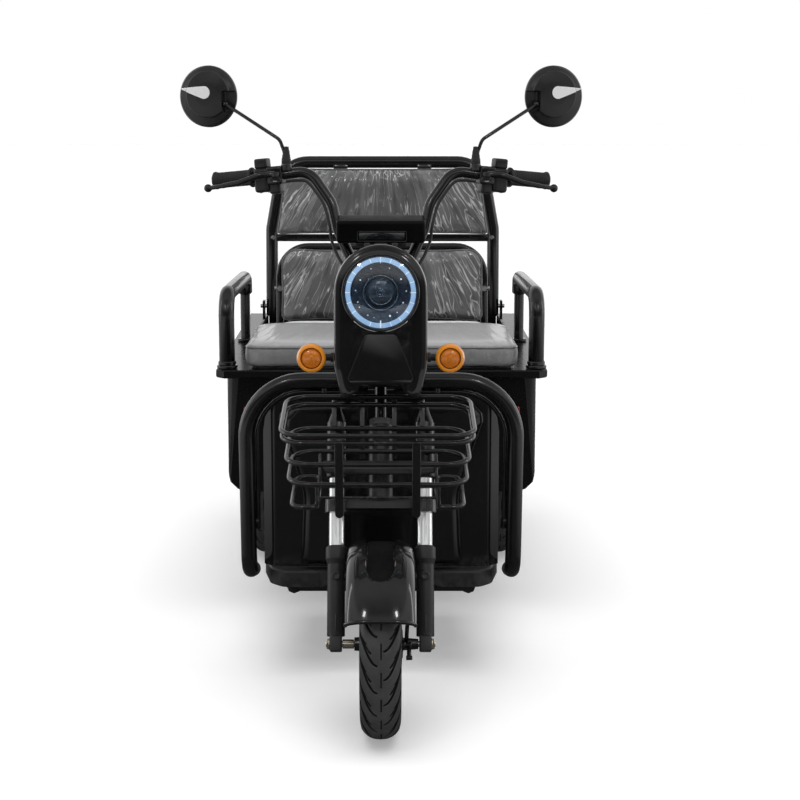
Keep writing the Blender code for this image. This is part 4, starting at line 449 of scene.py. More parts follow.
def wrapped_vinyl(name, spread, seat):
    """Grey vinyl under a loose clear film whose long creases fan out from the +Y edge. Its colour
    carries painted sheen on the film's folds, painted highlights and glints on its creases and painted
    shade in their hollows.
    """
    made = Shader(
        name, Coat_Weight=0.6 if seat else 1.0, Coat_Roughness=0.2 if seat else 0.06, Coat_IOR=1.5,
        Specular_IOR_Level=0.4,
    )
    x, y, z = made.split(made.place)
    reach = made.math("MULTIPLY_ADD", y, -spread, 1 + 0.1 * spread)
    fan = made.value("ShaderNodeCombineXYZ", {0: made.math("DIVIDE", x, reach), 1: y, 2: z})
    wander = made.value(
        "ShaderNodeTexNoise", {"Vector": made.place, "Scale": 11.0, "Detail": 3.0}, out="Color"
    )
    shift = made.value("ShaderNodeVectorMath", {0: wander, 1: (0.5, 0.5, 0.5)}, operation="SUBTRACT")
    fan = made.value(
        "ShaderNodeVectorMath", {0: shift, 1: (0.009, 0.009, 0.009), 2: fan}, operation="MULTIPLY_ADD"
    )

    def streaks(scale, turn, thin):
        """Long folds: the height of the film, and thin lines along its creases for the painted
        highlights.
        """
        vector = made.value(
            "ShaderNodeMapping", {"Vector": fan, "Scale": scale, "Rotation": (0, 0, turn)}
        )
        level = made.noise(1.0, 1.6, 0.45, 0.0, vector)
        away = made.math("ABSOLUTE", made.math("SUBTRACT", level, 0.5))
        return level, made.spread(away, 0.0, thin, 1.0, 0.0)

    wide, wide_line = streaks((40, 4.5, 30), 0.05, 0.013)
    fine, fine_line = streaks((84, 7.0, 50), -0.08, 0.02)
    slant, slant_line = streaks((56, 8.0, 36), 0.24, 0.013)
    gate = made.spread(made.noise(10.0, 4.0, 0.6), 0.42, 0.62)
    other = made.spread(made.noise(16.0, 4.0, 0.6, 0.0, fan), 0.44, 0.6)
    crossed = made.times(slant_line, made.times(gate, other))
    # Painted highlights: thin bright lines along the film's creases
    lines = made.greatest(made.times(wide_line, gate), made.times(fine_line, other), crossed)
    painted_glints = made.spread(made.noise(280.0, 2.0, 0.7), 0.7, 0.76)
    cells = made.value(
        "ShaderNodeTexVoronoi", {"Vector": made.place, "Scale": 620.0}, feature="DISTANCE_TO_EDGE",
        out="Distance",
    )
    leather = made.spread(cells, 0.0, 0.16)
    dark, light = SEAT_VINYL_PAINTED_LIGHTER if seat else (VINYL_DARK, VINYL_LIGHT)
    colour = made.mix(made.spread(made.noise(8.0, 5.0, 0.6), 0.3, 0.7), dark, light)
    colour = made.mix(
        made.times(made.math("SUBTRACT", 1.0, leather), 0.18), colour, (0.05, 0.05, 0.052)
    )
    face = made.spread(z, 0.004, 0.018, 0.1, 1.0)
    amount = made.times(face, 0.2 if seat else 1.0)
    # Painted sheen: broad lighter bands on the crests of the film's folds
    painted_fold_sheen = made.times(made.spread(fine, 0.42, 0.66), made.spread(wide, 0.4, 0.62))
    colour = made.mix(made.times(painted_fold_sheen, made.times(amount, 0.38)), colour, (0.36, 0.36, 0.37))
    # Painted shade: the hollows of the slanting folds are coloured darker
    colour = made.mix(
        made.times(made.spread(slant, 0.36, 0.46, 1.0, 0.0), made.times(amount, 0.45)),
        colour, (0.03, 0.03, 0.031),
    )
    # Painted highlights: the creases' lines are coloured near white
    colour = made.mix(
        made.times(lines, made.times(amount, 0.95), clamp=True), colour, (0.78, 0.78, 0.79)
    )
    # Painted glints: small bright specks on the film
    colour = made.mix(
        made.times(painted_glints, made.times(gate, made.times(amount, 0.6))), colour, (0.75, 0.75, 0.76)
    )
    if seat:
        # Painted sheen: the seats' upward faces are coloured lighter
        haze = made.times(made.spread(made.up_facing(), 0.55, 0.97), 0.55)
        colour = made.mix(haze, colour, (0.58, 0.58, 0.585))
    made.to("Base Color", colour)
    made.to("Roughness", made.patchy(50.0, 4.0, 0.36, 0.5))
    made.to("Normal", made.bump(leather, 0.22, 0.0004))
    film = made.math("MULTIPLY_ADD", fine, 0.5, made.math("MULTIPLY_ADD", slant, 0.5, wide))
    made.to("Coat Normal", made.bump(film, 0.45 if seat else 1.0, 0.006))
    return made.made


def lens(name, colour, deep, glow):
    """Coloured moulded plastic with a fine cross pattern behind its face, and a painted highlight that
    leaves it paler in the middle and deeper towards its rim, and a painted glow.
    """
    made = Shader(name, Coat_Weight=1.0, Coat_Roughness=0.03, Transmission_Weight=0.18, IOR=1.49)
    # Painted highlight: the lens is coloured paler in the middle and deeper towards its rim
    rim = made.spread(made.off_axis(), 0.0, 0.03)
    prisms = made.value("ShaderNodeTexVoronoi", {"Vector": made.place, "Scale": 420.0}, out="Distance")
    tint = made.mix(made.spread(prisms, 0.1, 0.6), colour, deep)
    made.to("Base Color", made.mix(made.times(rim, 0.5), tint, deep))
    made.to("Roughness", made.patchy(80.0, 3.0, 0.1, 0.22))
    made.to("Normal", made.bump(prisms, 0.16, 0.0006))
    # Painted glow: the lens shines by its own emission
    made.out.inputs["Emission Color"].default_value = (*colour, 1.0)
    made.out.inputs["Emission Strength"].default_value = glow
    return made.made


def clear_glass():
    """The clear front lens with a faint cold tint."""
    made = Shader("clear_lamp_glass", Transmission_Weight=1.0, IOR=1.46, Coat_Weight=0.3)
    made.to("Base Color", made.mix(made.noise(25.0), (0.86, 0.92, 0.97), (0.93, 0.96, 0.99)))
    made.to("Roughness", made.patchy(60.0, 3.0, 0.0, 0.02))
    return made.made


def light_guide(name, colour, glow):
    """A frosted ring lit from behind, a little uneven along its length."""
    made = Shader(name, Roughness=0.35)
    even = made.noise(55.0, 3.0)
    tone = made.mix(made.spread(even, 0.3, 0.7), tuple(0.86 * c for c in colour), colour)
    made.to("Base Color", tone)
    made.to("Emission Color", tone)
    made.to("Roughness", made.patchy(90.0, 3.0, 0.25, 0.4))
    made.out.inputs["Emission Strength"].default_value = glow
    return made.made


def reflector_bowl():
    """Navy metallised plastic with turned rings."""
    made = Shader("navy_lamp_bowl", 0.0, Specular_IOR_Level=0.25)
    rings = made.math("SINE", made.times(made.off_axis(), 2200.0))
    lit = made.spread(made.split(made.place)[1], 0.05, -0.05)
    spokes = made.noise(1.0, 3.0, 0.6, 0.0, made.scaled((22, 22, 4)))
    tone = made.mix(lit, (0.008, 0.02, 0.042), (0.045, 0.088, 0.15))
    made.to(
        "Base Color", made.mix(made.spread(spokes, 0.52, 0.72, 0.0, 0.35), tone, (0.085, 0.15, 0.23))
    )
    made.to("Roughness", made.patchy(60.0, 3.0, 0.18, 0.34))
    made.to("Normal", made.bump(rings, 0.18, 0.0004))
    return made.made


TYRE = tyre_rubber()
CHROME = chrome()
WELT = coated(
    "vinyl_welt", (0.09, 0.09, 0.092), (0.13, 0.13, 0.132), (0.3, 0.42), 900, 0.1, 0.04,
    (0.3, 0.3, 0.3), Coat_Weight=0.8, Coat_Roughness=0.08,
)
TRIM = coated("dark_trim_line", (0.03, 0.03, 0.032), (0.045, 0.045, 0.047), (0.2, 0.3), 400, 0.05, 0.02)
DULL = coated(
    "dull_black_case", (0.0026, 0.0026, 0.0028), (0.0048, 0.0048, 0.0052), (0.36, 0.46), 1400, 0.08,
    0.01, (0.03, 0.03, 0.03), Specular_IOR_Level=0.07,
)
SLIDER = coated(
    "cast_fork_leg_paint", (0.017, 0.017, 0.018), (0.027, 0.027, 0.028), (0.32, 0.44), 700, 0.14, 0.04
)
BODY = coated(
    "black_body_enamel", (0.004, 0.004, 0.0043), (0.006, 0.006, 0.0065), (0.26, 0.29), 300, 0.03, 0.01,
    worn=0.0, Coat_Weight=0.12, Coat_Roughness=0.1, Specular_IOR_Level=0.18,
)
CHANNEL = coated(
    "matt_black_channel", (0.0015, 0.0015, 0.0016), (0.003, 0.003, 0.0032), (0.6, 0.75), 300, 0.05,
    0.02, Specular_IOR_Level=0.12,
)
# Each lens's last number is its painted glow; the red lenses of the reflectors and the horn button glow
# too, though they are no lamps.
AMBER_RIM = lens("amber_signal_rim", (0.9, 0.36, 0.03), (0.74, 0.24, 0.012), 0.1)
# Painted shade: a dark amber ring for the shade in the groove between a signal's rim and dome
AMBER_GROOVE_SHADE = lens("amber_signal_gap", (0.16, 0.035, 0.002), (0.08, 0.015, 0.001), 0.0)
AMBER = lens("amber_signal_lens", (0.8, 0.27, 0.018), (0.5, 0.13, 0.006), 0.06)
RED = lens("red_lens_moulded", (0.42, 0.006, 0.008), (0.16, 0.002, 0.003), 0.02)
GLASS = clear_glass()
RING_LIGHT = light_guide("pale_blue_light_ring", (0.36, 0.55, 0.8), 0.62)
TICKS = light_guide("white_lamp_marks", (0.8, 0.9, 1.0), 0.75)
BOWL = reflector_bowl()
WHITE = coated(
    "white_mirror_insert", (0.8, 0.8, 0.8), (0.88, 0.88, 0.88), (0.18, 0.3), 300, 0.05, 0.02,
    (0.9, 0.9, 0.9), Coat_Weight=0.6, Coat_Roughness=0.05,
)
SILVER = coated(
    "mirror_silver", (0.84, 0.85, 0.86), (0.9, 0.9, 0.91), (0.01, 0.03), 200, 0.01, 0.03,
    (0.9, 0.9, 0.9), 1.0,
)
LCD = coated(
    "dark_display_window", (0.004, 0.005, 0.006), (0.009, 0.011, 0.013), (0.05, 0.1), 200, 0.02, 0.03,
    Coat_Weight=1.0, Coat_Roughness=0.03,
)


# Mesh making; a sub-piece that is joined to another needs no name of its own

PART = "part"


def show(name, mesh, finish, matrix, angle):
    """A shown object of a mesh, smooth but for its real edges."""
    obj = bpy.data.objects.new(name, mesh)
    scene.collection.objects.link(obj)
    if finish is not None:
        mesh.materials.append(finish)
    if matrix is not None:
        obj.matrix_world = matrix
    mesh.shade_smooth()
    mesh.set_sharp_from_angle(angle=math.radians(angle))
    return obj


def from_lists(verts, faces, finish, matrix=None, angle=35, turn=True, name=PART):
    mesh = bpy.data.meshes.new(name)
    mesh.from_pydata([tuple(v) for v in verts], [], faces)
    if turn:
        bm = bmesh.new()
        bm.from_mesh(mesh)
        bmesh.ops.recalc_face_normals(bm, faces=bm.faces)
        bm.to_mesh(mesh)
        bm.free()
    mesh.update()
    return show(name, mesh, finish, matrix, angle)


def quads(rows, wide, closed=True, joined=False):
    """The faces between rows of points; closed joins a row's ends, joined the last row to the first."""
    faces = []
    for r in range(rows if joined else rows - 1):
        n = (r + 1) % rows
        for k in range(wide if closed else wide - 1):
            j = (k + 1) % wide
            faces.append((r * wide + k, r * wide + j, n * wide + j, n * wide + k))
    return faces


def fillet(points, radius, steps, closed=False):
    """The points of a path whose corners are rounded to a radius, or to a list of radii."""
    points = [Vector(p) for p in points]
    count = len(points)
    radii = radius if isinstance(radius, (list, tuple)) else [radius] * count
    made = []
    for i, corner in enumerate(points):
        if not closed and i in (0, count - 1):
            made.append(corner)
            continue
        before = (points[i - 1] - corner).normalized()
        after = (points[(i + 1) % count] - corner).normalized()
        half = before.angle(after) / 2
        if half > math.radians(89) or radii[i] <= 0:
            made.append(corner)
            continue
        reach = radii[i] / math.tan(half)
        room = min((points[i - 1] - corner).length, (points[(i + 1) % count] - corner).length)
        reach = min(reach, room * 0.49)
        bend = reach * math.tan(half)
        centre = corner + (before + after).normalized() * (bend / math.sin(half))
        first = corner + before * reach - centre
        last = corner + after * reach - centre
        for k in range(steps + 1):
            made.append(centre + first.slerp(last, k / steps).normalized() * bend)
    return made


def drawn_in(path, inset):
    """A flat closed path moved towards its own left side."""
    made = []
    for i, p in enumerate(path):
        along = (path[(i + 1) % len(path)] - path[i - 1]).normalized()
        made.append(p + Vector((-along.y, along.x, 0)) * inset)
    return made


DOME = 0.35
END_RINGS = ((1.0, 0.55), (0.55, 0.88))


def sweep(points, radius, finish, sides, closed=False, name=PART):
    """A round bar along a path, with softly domed ends; the radius may be a list."""
    points = [Vector(p) for p in points]
    count = len(points)
    radii = radius if isinstance(radius, (list, tuple)) else [radius] * count
    tangents = []
    for i in range(count):
        before = points[i] - points[i - 1] if closed or i else points[1] - points[0]
        after = points[(i + 1) % count] - points[i] if closed or i < count - 1 else before
        tangents.append((before.normalized() + after.normalized()).normalized())
    side = tangents[0].orthogonal().normalized()
    if closed:
        flat = sum((points[i - 1].cross(points[i]) for i in range(count)), Vector())
        flat = flat if flat.length > 1e-9 else side
        side = (flat - tangents[0] * flat.dot(tangents[0])).normalized()
    verts = []

    def ring(i, past, share):
        across, other = frames[i], tangents[i].cross(frames[i])
        centre = points[i] + tangents[i] * radii[i] * DOME * past
        for k in range(sides):
            a = math.tau * k / sides
            verts.append(centre + (across * math.cos(a) + other * math.sin(a)) * radii[i] * share)

    frames = []
    for i in range(count):
        if i:
            side = tangents[i - 1].rotation_difference(tangents[i]) @ side
        side = (side - tangents[i] * side.dot(tangents[i])).normalized()
        frames.append(side.copy())
    ends = () if closed else END_RINGS
    for past, share in ends:
        ring(0, -past, share)
    for i in range(count):
        ring(i, 0.0, 1.0)
    for past, share in reversed(ends):
        ring(-1, past, share)
    faces = quads(len(verts) // sides, sides, joined=closed)
    if not closed:
        faces += [tuple(reversed(range(sides))), tuple(range(len(verts) - sides, len(verts)))]
    return from_lists(verts, faces, finish, None, 50, name=name)


def beside(direction):
    """An axis that isn't along the direction."""
    return X if abs(direction.x) < 0.9 else Vector((0, 0, 1))


def rod(start, end, radius, finish, sides, end_radius=None, round_by=0.0008, name=PART):
    """A straight bar or cone with softened ends."""
    start, end = Vector(start), Vector(end)
    long = (end - start).length
    last = radius if end_radius is None else end_radius
    cut = min(round_by, radius * 0.4, last * 0.4, long * 0.3)
    profile = [
        (0.0, 0.0), (radius - cut, 0.0), (radius, cut), (last, long - cut), (last - cut, long),
        (0.0, long),
    ]
    direction = (end - start).normalized()
    return lathe(profile, finish, facing(start, direction, beside(direction)), sides, name=name)


def lathe(profile, finish, matrix, steps, closed=False, soft=0.0, sharp=35, name=PART):
    """A profile of (radius, height) points turned about Z, its corners softened first."""
    line = flat(profile)
    if soft:
        radii = [soft if p.x > 1e-6 else 0.0 for p in line]
        line = fillet(line, radii, 3, closed)
    verts, columns = [], []
    for p in line:
        if abs(p.x) < 1e-7:
            columns.append([len(verts)] * steps)
            verts.append(Vector((0, 0, p.y)))
        else:
            start = len(verts)
            for k in range(steps):
                verts.append(turned(p.x, math.tau * k / steps, p.y))
            columns.append([start + k for k in range(steps)])
    faces = []
    pairs = list(zip(columns, columns[1:])) + ([(columns[-1], columns[0])] if closed else [])
    for first, second in pairs:
        for k in range(steps):
            j = (k + 1) % steps
            face = tuple(dict.fromkeys((first[k], first[j], second[j], second[k])))
            if len(face) > 2:
                faces.append(face)
    return from_lists(verts, faces, finish, matrix, sharp, name=name)


def block(low, high, finish, matrix, round_by, segments, name=PART):
    """A block between two corners with rounded edges."""
    low, high = Vector(map(min, low, high)), Vector(map(max, low, high))
    bm = bmesh.new()
    bmesh.ops.create_cube(bm, size=1.0)
    bmesh.ops.scale(bm, vec=high - low, verts=bm.verts)
    bmesh.ops.translate(bm, vec=(low + high) / 2, verts=bm.verts)
    size = min(high - low) * 0.45
    bmesh.ops.bevel(
        bm, geom=bm.edges[:], offset=min(round_by, size), segments=segments, profile=0.5, affect="EDGES"
    )
    mesh = bpy.data.meshes.new(name)
    bm.to_mesh(mesh)
    bm.free()
    return show(name, mesh, finish, matrix, 50)


def plate(outline, thickness, finish, matrix, round_by, segments):
    """A flat plate of one outline, centred on its own plane, with rounded rims."""
    bm = bmesh.new()
    low = [bm.verts.new((p[0], p[1], -thickness / 2)) for p in outline]
    high = [bm.verts.new((p[0], p[1], thickness / 2)) for p in outline]
    bm.faces.new(reversed(low))
    bm.faces.new(high)
    for i in range(len(low)):
        j = (i + 1) % len(low)
        bm.faces.new((low[i], low[j], high[j], high[i]))
    bmesh.ops.recalc_face_normals(bm, faces=bm.faces)
    rims = [e for e in bm.edges if e.calc_face_angle(0) > math.radians(60)]
    reach = min(round_by, thickness * 0.45)
    bmesh.ops.bevel(bm, geom=rims, offset=reach, segments=segments, profile=0.5, affect="EDGES")
    mesh = bpy.data.meshes.new(PART)
    bm.to_mesh(mesh)
    bm.free()
    return show(PART, mesh, finish, matrix, 40)


def sheet_of(rows, finish, thickness, outward, cap=False):
    """A thin sheet through rows of points that looks outward; a cap closes the first row."""
    wide = len(rows[0])
    faces = [tuple(reversed(range(wide)))] if cap else []
    verts = [p for row in rows for p in row]
    sheet = from_lists(verts, faces + quads(len(rows), wide, closed=cap), finish, None, 40, turn=False)
    if sheet.data.polygons[0].normal.dot(outward) < 0:
        sheet.data.flip_normals()
    wall = sheet.modifiers.new("wall", "SOLIDIFY")
    wall.thickness = thickness
    wall.offset = -1
    return settle(sheet)


def loft(loops, finish, matrix=None, angle=35, open_start=False):
    """A form through closed loops of points, with flat ends."""
    wide = len(loops[0])
    verts = [p for loop in loops for p in loop]
    ends = [tuple(range(len(verts) - wide, len(verts)))] + ([] if open_start else [tuple(range(wide))])
    return from_lists(verts, ends + quads(len(loops), wide), finish, matrix, angle)


def settle(obj):
    """Applies an object's modifiers to its mesh."""
    bpy.context.view_layer.update()
    graph = bpy.context.evaluated_depsgraph_get()
    mesh = bpy.data.meshes.new_from_object(obj.evaluated_get(graph))
    obj.modifiers.clear()
    obj.data = mesh
    mesh.shade_smooth()
    mesh.set_sharp_from_angle(angle=math.radians(35))
    return obj


def cut_away(obj, *others):
    """Takes shapes away and applies the result."""
    for other in others:
        mod = obj.modifiers.new("cut", "BOOLEAN")
        mod.operation = "DIFFERENCE"
        mod.solver = "EXACT"
        mod.object = other
    settle(obj)
    for other in others:
        bpy.data.objects.remove(other, do_unlink=True)
    return obj


def together(name, *parts):
    """Joins several objects into one piece."""
    kept, parts = parts[0], list(parts)
    chosen = {"selected_editable_objects": parts, "selected_objects": parts}
    with bpy.context.temp_override(active_object=kept, object=kept, **chosen):
        bpy.ops.object.join()
    kept.name = kept.data.name = name
    return kept


def put(obj, body, slot, *nodes):
    """Lets a piece ride on a body and stand for CAD nodes, which it hides; the slot is not used."""
    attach(obj, body)
    if nodes:
        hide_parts(*nodes)
    return obj


def bolt(point, direction, radius, finish, height):
    """A hexagon head on a washer, its foot at the point."""
    place = facing(point, direction, beside(Vector(direction).normalized()))
    washer = lathe(
        [(0, 0), (radius * 1.5, 0), (radius * 1.5, radius * 0.25), (0, radius * 0.25)],
        finish, place, 24, soft=0.0002,
    )
    head = lathe(
        [
            (0, radius * 0.2), (radius, radius * 0.2), (radius, height - radius * 0.15),
            (radius * 0.86, height), (0, height),
        ],
        finish, place, 6, sharp=20,
    )
    return together(PART, washer, head)


# The two brake cables run from the lever perches along the bar and in behind the cowl

CABLE_RADIUS = 0.0032
for word, side in SIDES:
    route = [
        bar_point(side, 0.1955, 0.016, -0.014), at(0.1715 * side, 0.358, 1.0675),
        at(0.152 * side, 0.354, 1.064), at(0.13 * side, 0.346, 1.038), at(0.1165 * side, 0.34, 1.015),
        at(0.106 * side, 0.33, 0.975), at(0.1 * side, 0.325, 0.94), at(0.08 * side, 0.305, 0.9),
        at(0.05 * side, 0.276, 0.868), at(0.04 * side, 0.262, 0.835),
    ]
    line = smooth_route(route, 8)
    cable = sweep(line, CABLE_RADIUS, CABLE, 14, name=f"{word}_brake_cable_sheath")
    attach(cable, "steering")
    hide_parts(f"{word}_brake_cable")


# The exact meshes that stay: merged corners and smooth shading


MERGE_DISTANCE = 0.00002
SMOOTH_BELOW = math.radians(33)


def shading_group():
    """Merges corners that lie together and shades all but real edges smooth."""
    group = Nodes(bpy.data.node_groups.new("merged_and_smooth", "GeometryNodeTree"))
    for way in ("INPUT", "OUTPUT"):
        group.tree.interface.new_socket("Geometry", in_out=way, socket_type="NodeSocketGeometry")
    shape = group.value("NodeGroupInput")
    for attribute in ("custom_normal", "sharp_edge", "sharp_face"):
        shape = group.value("GeometryNodeRemoveAttribute", {0: shape, "Name": attribute})
    sockets = {"Geometry": shape, "Distance": MERGE_DISTANCE}
    shape = group.value("GeometryNodeMergeByDistance", sockets)
    shape = group.value("GeometryNodeSetShadeSmooth", {"Geometry": shape})
    angle = group.value("GeometryNodeInputMeshEdgeAngle")
    low = group.value("FunctionNodeCompare", {0: angle, 1: SMOOTH_BELOW}, operation="LESS_THAN")
    sockets = {"Geometry": shape, "Shade Smooth": low}
    shape = group.value("GeometryNodeSetShadeSmooth", sockets, domain="EDGE")
    group.node("NodeGroupOutput", {0: shape})
    return group.made


SHADING = shading_group()


def refine(node, finish):
    """Gives a CAD node its material and smooth shading."""
    obj = NODES[node]
    obj.material_slots[0].material = finish
    obj.modifiers.new("smooth", "NODES").node_group = SHADING


# Wheels


TURN = 96
BEAD_INNER = 0.0985
TREAD_CUT = 0.0032
RIB = 0.0007
RIBS = (0.1175, 0.1215, 0.159, 0.163)


def tread_depth(run, across):
    """How deep the tread is cut at a place along and across the tyre, in metres."""
    run += TREAD_PITCH / 2 if across < 0 else 0.0
    depth = 0.0
    for start, first, last, sweep_by, bend, width in TREAD:
        if first <= abs(across) <= last:
            share = (abs(across) - first) / (last - first)
            slope = sweep_by * bend * share ** (bend - 1) / (last - first)
            past = run - sweep_by * share**bend - start * TREAD_PITCH
            off = (past + TREAD_PITCH / 2) % TREAD_PITCH - TREAD_PITCH / 2
            away = abs(off) / math.sqrt(1 + slope * slope)
            depth = max(depth, TREAD_CUT * min(1.0, max(0.0, (width * 1.4 - away) / width)))
    return depth


def tyre(name, centre):
    """A tyre with a cut tread, ribbed sidewalls and closed beads."""
    half = [
        (0.0985, 0.029), (0.106, 0.0304), (0.112, 0.0322), (0.124, 0.0378), (0.139, 0.04),
        (0.155, 0.0388), (0.1675, 0.0342), (0.1762, 0.0255), (0.1817, 0.014), (0.1835, 0.0),
    ]
    route = smooth_route(flat(half), 14)
    dense = [route[0]]
    for b in route[1:]:
        wanted = 0.003 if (b.x < 0.15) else 0.0014
        if (b - dense[-1]).length >= wanted or b is route[-1]:
            dense.append(b)
    line = dense + [Vector((p.x, -p.y, 0)) for p in reversed(dense[:-1])]
    steps = TREAD_PITCHES * 38
    rows = []
    for k in range(steps):
        a = math.tau * k / steps
        row = []
        for p in line:
            deep = tread_depth(-a * TYRE_RADIUS, p.y) if p.x > SHOULDER else 0.0
            rib = sum(RIB * math.exp(-(((p.x - r) / RIB) ** 2)) for r in RIBS)
            slope = Vector((p.x - 0.14, p.y * 1.1, 0))
            out = slope.normalized() if slope.length > 1e-6 else X
            q = p - out * deep + out * rib
            row.append(turned(q.x, a, q.y))
        for r, h in ((BEAD_INNER, -0.0215), (0.16, -0.027), (0.16, 0.027), (BEAD_INNER, 0.0215)):
            row.append(turned(r, a, h))
        rows.append(row)
    verts = [p for row in rows for p in row]
    return from_lists(
        verts, quads(steps, len(rows[0]), joined=True), TYRE, sideways(centre), 60, name=name
    )


RIM_LOW = [(0.111, -0.035), (0.0955, -0.03), (0.082, -0.006)]
RIM_HIGH = [(r, -h) for r, h in reversed(RIM_LOW)]
RIM_CHANNEL = [
    (0.111, 0.0325), (0.098, 0.0295), (0.0865, 0.011), (0.0865, -0.011), (0.098, -0.0295),
    (0.111, -0.0325),
]

put(tyre("front_tyre_treaded", AXLE), "front_wheel", "tyre", "front_tyre")
front_hub = [
    (0.033, -0.006), (0.0245, -0.034), (0.014, -0.036), (0.013, -0.0515), (0.0068, -0.0515),
    (0.0068, 0.011), (0.045, 0.011), (0.048, 0.034), (0.051, 0.006),
]
front_rim = lathe(
    RIM_CHANNEL + RIM_LOW + front_hub + RIM_HIGH, GLOSS, sideways(AXLE), TURN, True, soft=0.0012
)
windows = []
for i in range(5):
    a = math.tau * i / 5
    middle = AXLE + Vector((0, math.cos(a) * 0.0665, math.sin(a) * 0.0665))
    windows.append(rod(middle - X * 0.02, middle + X * 0.02, 0.012, None, 32))
cut_away(front_rim, *windows)
front_rim = together(
    "front_wheel_rim", front_rim,
    rod(
        AXLE + Vector((0.004, 0.0, -0.08)), AXLE + Vector((0.015, 0.0, -0.056)), 0.0034, GRIP, 16,
        0.0026,
    ),
)
put(front_rim, "front_wheel", "gloss_black", "front_rim")

for word, side in SIDES:
    centre = at(REAR_WHEEL_X * side, WHEELBASE, TYRE_RADIUS)
    body = f"rear_wheel_{word}"
    put(tyre(f"{word}_rear_tyre_treaded", centre), body, "tyre", f"{word}_rear_tyre")
    face = [(0.0, 0.024), (0.014, 0.023), (0.033, 0.006)]
    drum = [(0.033, -0.006), (0.054, -0.012), (0.056, -0.064), (0.0, -0.07)]
    wheel = sideways(centre, side)
    parts = [lathe(face + RIM_HIGH + RIM_CHANNEL + RIM_LOW + drum, GLOSS, wheel, TURN, soft=0.0016)]
    for i in range(5):
        foot = wheel @ turned(0.044, math.tau * i / 5, 0.0058)
        parts.append(bolt(foot, X * side, 0.0075, STEEL, 0.007))
    for i in range(10):
        foot = wheel @ turned(0.065, math.tau * (i + 0.5) / 10, 0.005)
        parts.append(rod(foot, foot + X * 0.0012 * side, 0.0062, GLOSS, 20))
    cap = lathe(
        [(0.0155, 0.0), (0.015, 0.006), (0.011, 0.0095), (0.0, 0.0105)],
        PLASTIC, wheel @ Matrix.Translation((0, 0, 0.0225)), 40, soft=0.001,
    )
    parts.append(cap)
    low_valve = centre + Vector((0.006 * side, 0, -0.08))
    parts.append(rod(low_valve, low_valve + Vector((0.016 * side, 0, 0.02)), 0.0034, GRIP, 16, 0.0026))
    put(together(f"{word}_rear_wheel_rim", *parts), body, "gloss_black", f"{word}_rear_rim")


# Front axle, brake and fork legs

axle_parts = [
    rod(AXLE - X * 0.107, AXLE + X * 0.107, 0.006, GOLD, 32),
    rod(AXLE - X * 0.0745, AXLE - X * 0.0522, 0.009, GOLD, 40),
    lathe(
        [
            (0.0, 0.074), (0.01, 0.0735), (0.0125, 0.044), (0.026, 0.0432), (0.028, 0.0422),
            (0.045, 0.041), (0.0505, 0.0346), (0.0, 0.0346),
        ],
        SATIN, sideways(AXLE), TURN, soft=0.0012,
    ),
]
cam_point = at(0, -0.028, 0.19)
axle_parts.append(rod(cam_point + X * 0.04, cam_point + X * 0.048, 0.009, SATIN, 32))
axle_parts.append(
    sweep(
        [
            cam_point + Vector((0.05, 0.006, 0.004)), cam_point + Vector((0.051, -0.02, 0.04)),
            cam_point + Vector((0.053, -0.06, 0.078)),
        ],
        0.004, SATIN, 16,
    )
)
for side in (1, -1):
    near, far = AXLE + X * 0.0997 * side, AXLE + X * 0.1055 * side
    axle_parts.append(
        lathe(
            [(0, 0), (0.0104, 0), (0.0105, 0.0045), (0.0092, 0.0058), (0, 0.0058)],
            GOLD, sideways(near, side), 6, sharp=20,
        )
    )
    axle_parts.append(rod(near - X * 0.0001 * side, near + X * 0.0016 * side, 0.0118, GOLD, 32))
put(together("front_axle_and_brake_cover", *axle_parts), "fork_lower", "yellow_zinc", "front_axle")

arm_tip = cam_point + Vector((0, -0.042, -0.012))
arm = [
    rod(cam_point + X * 0.0485, cam_point + X * 0.06, 0.0065, SATIN, 32),
    sweep(
        [
            cam_point + Vector((0.055, 0.004, 0)),
            cam_point.lerp(arm_tip, 0.5) + Vector((0.055, 0, -0.001)),
            arm_tip + X * 0.055,
        ],
        0.0043, SATIN, 16,
    ),
    rod(arm_tip + X * 0.049, arm_tip + X * 0.061, 0.0045, SATIN, 24),
]
put(together("front_brake_lever_arm", *arm), "brake_arm", "yellow_zinc", "front_brake_arm")

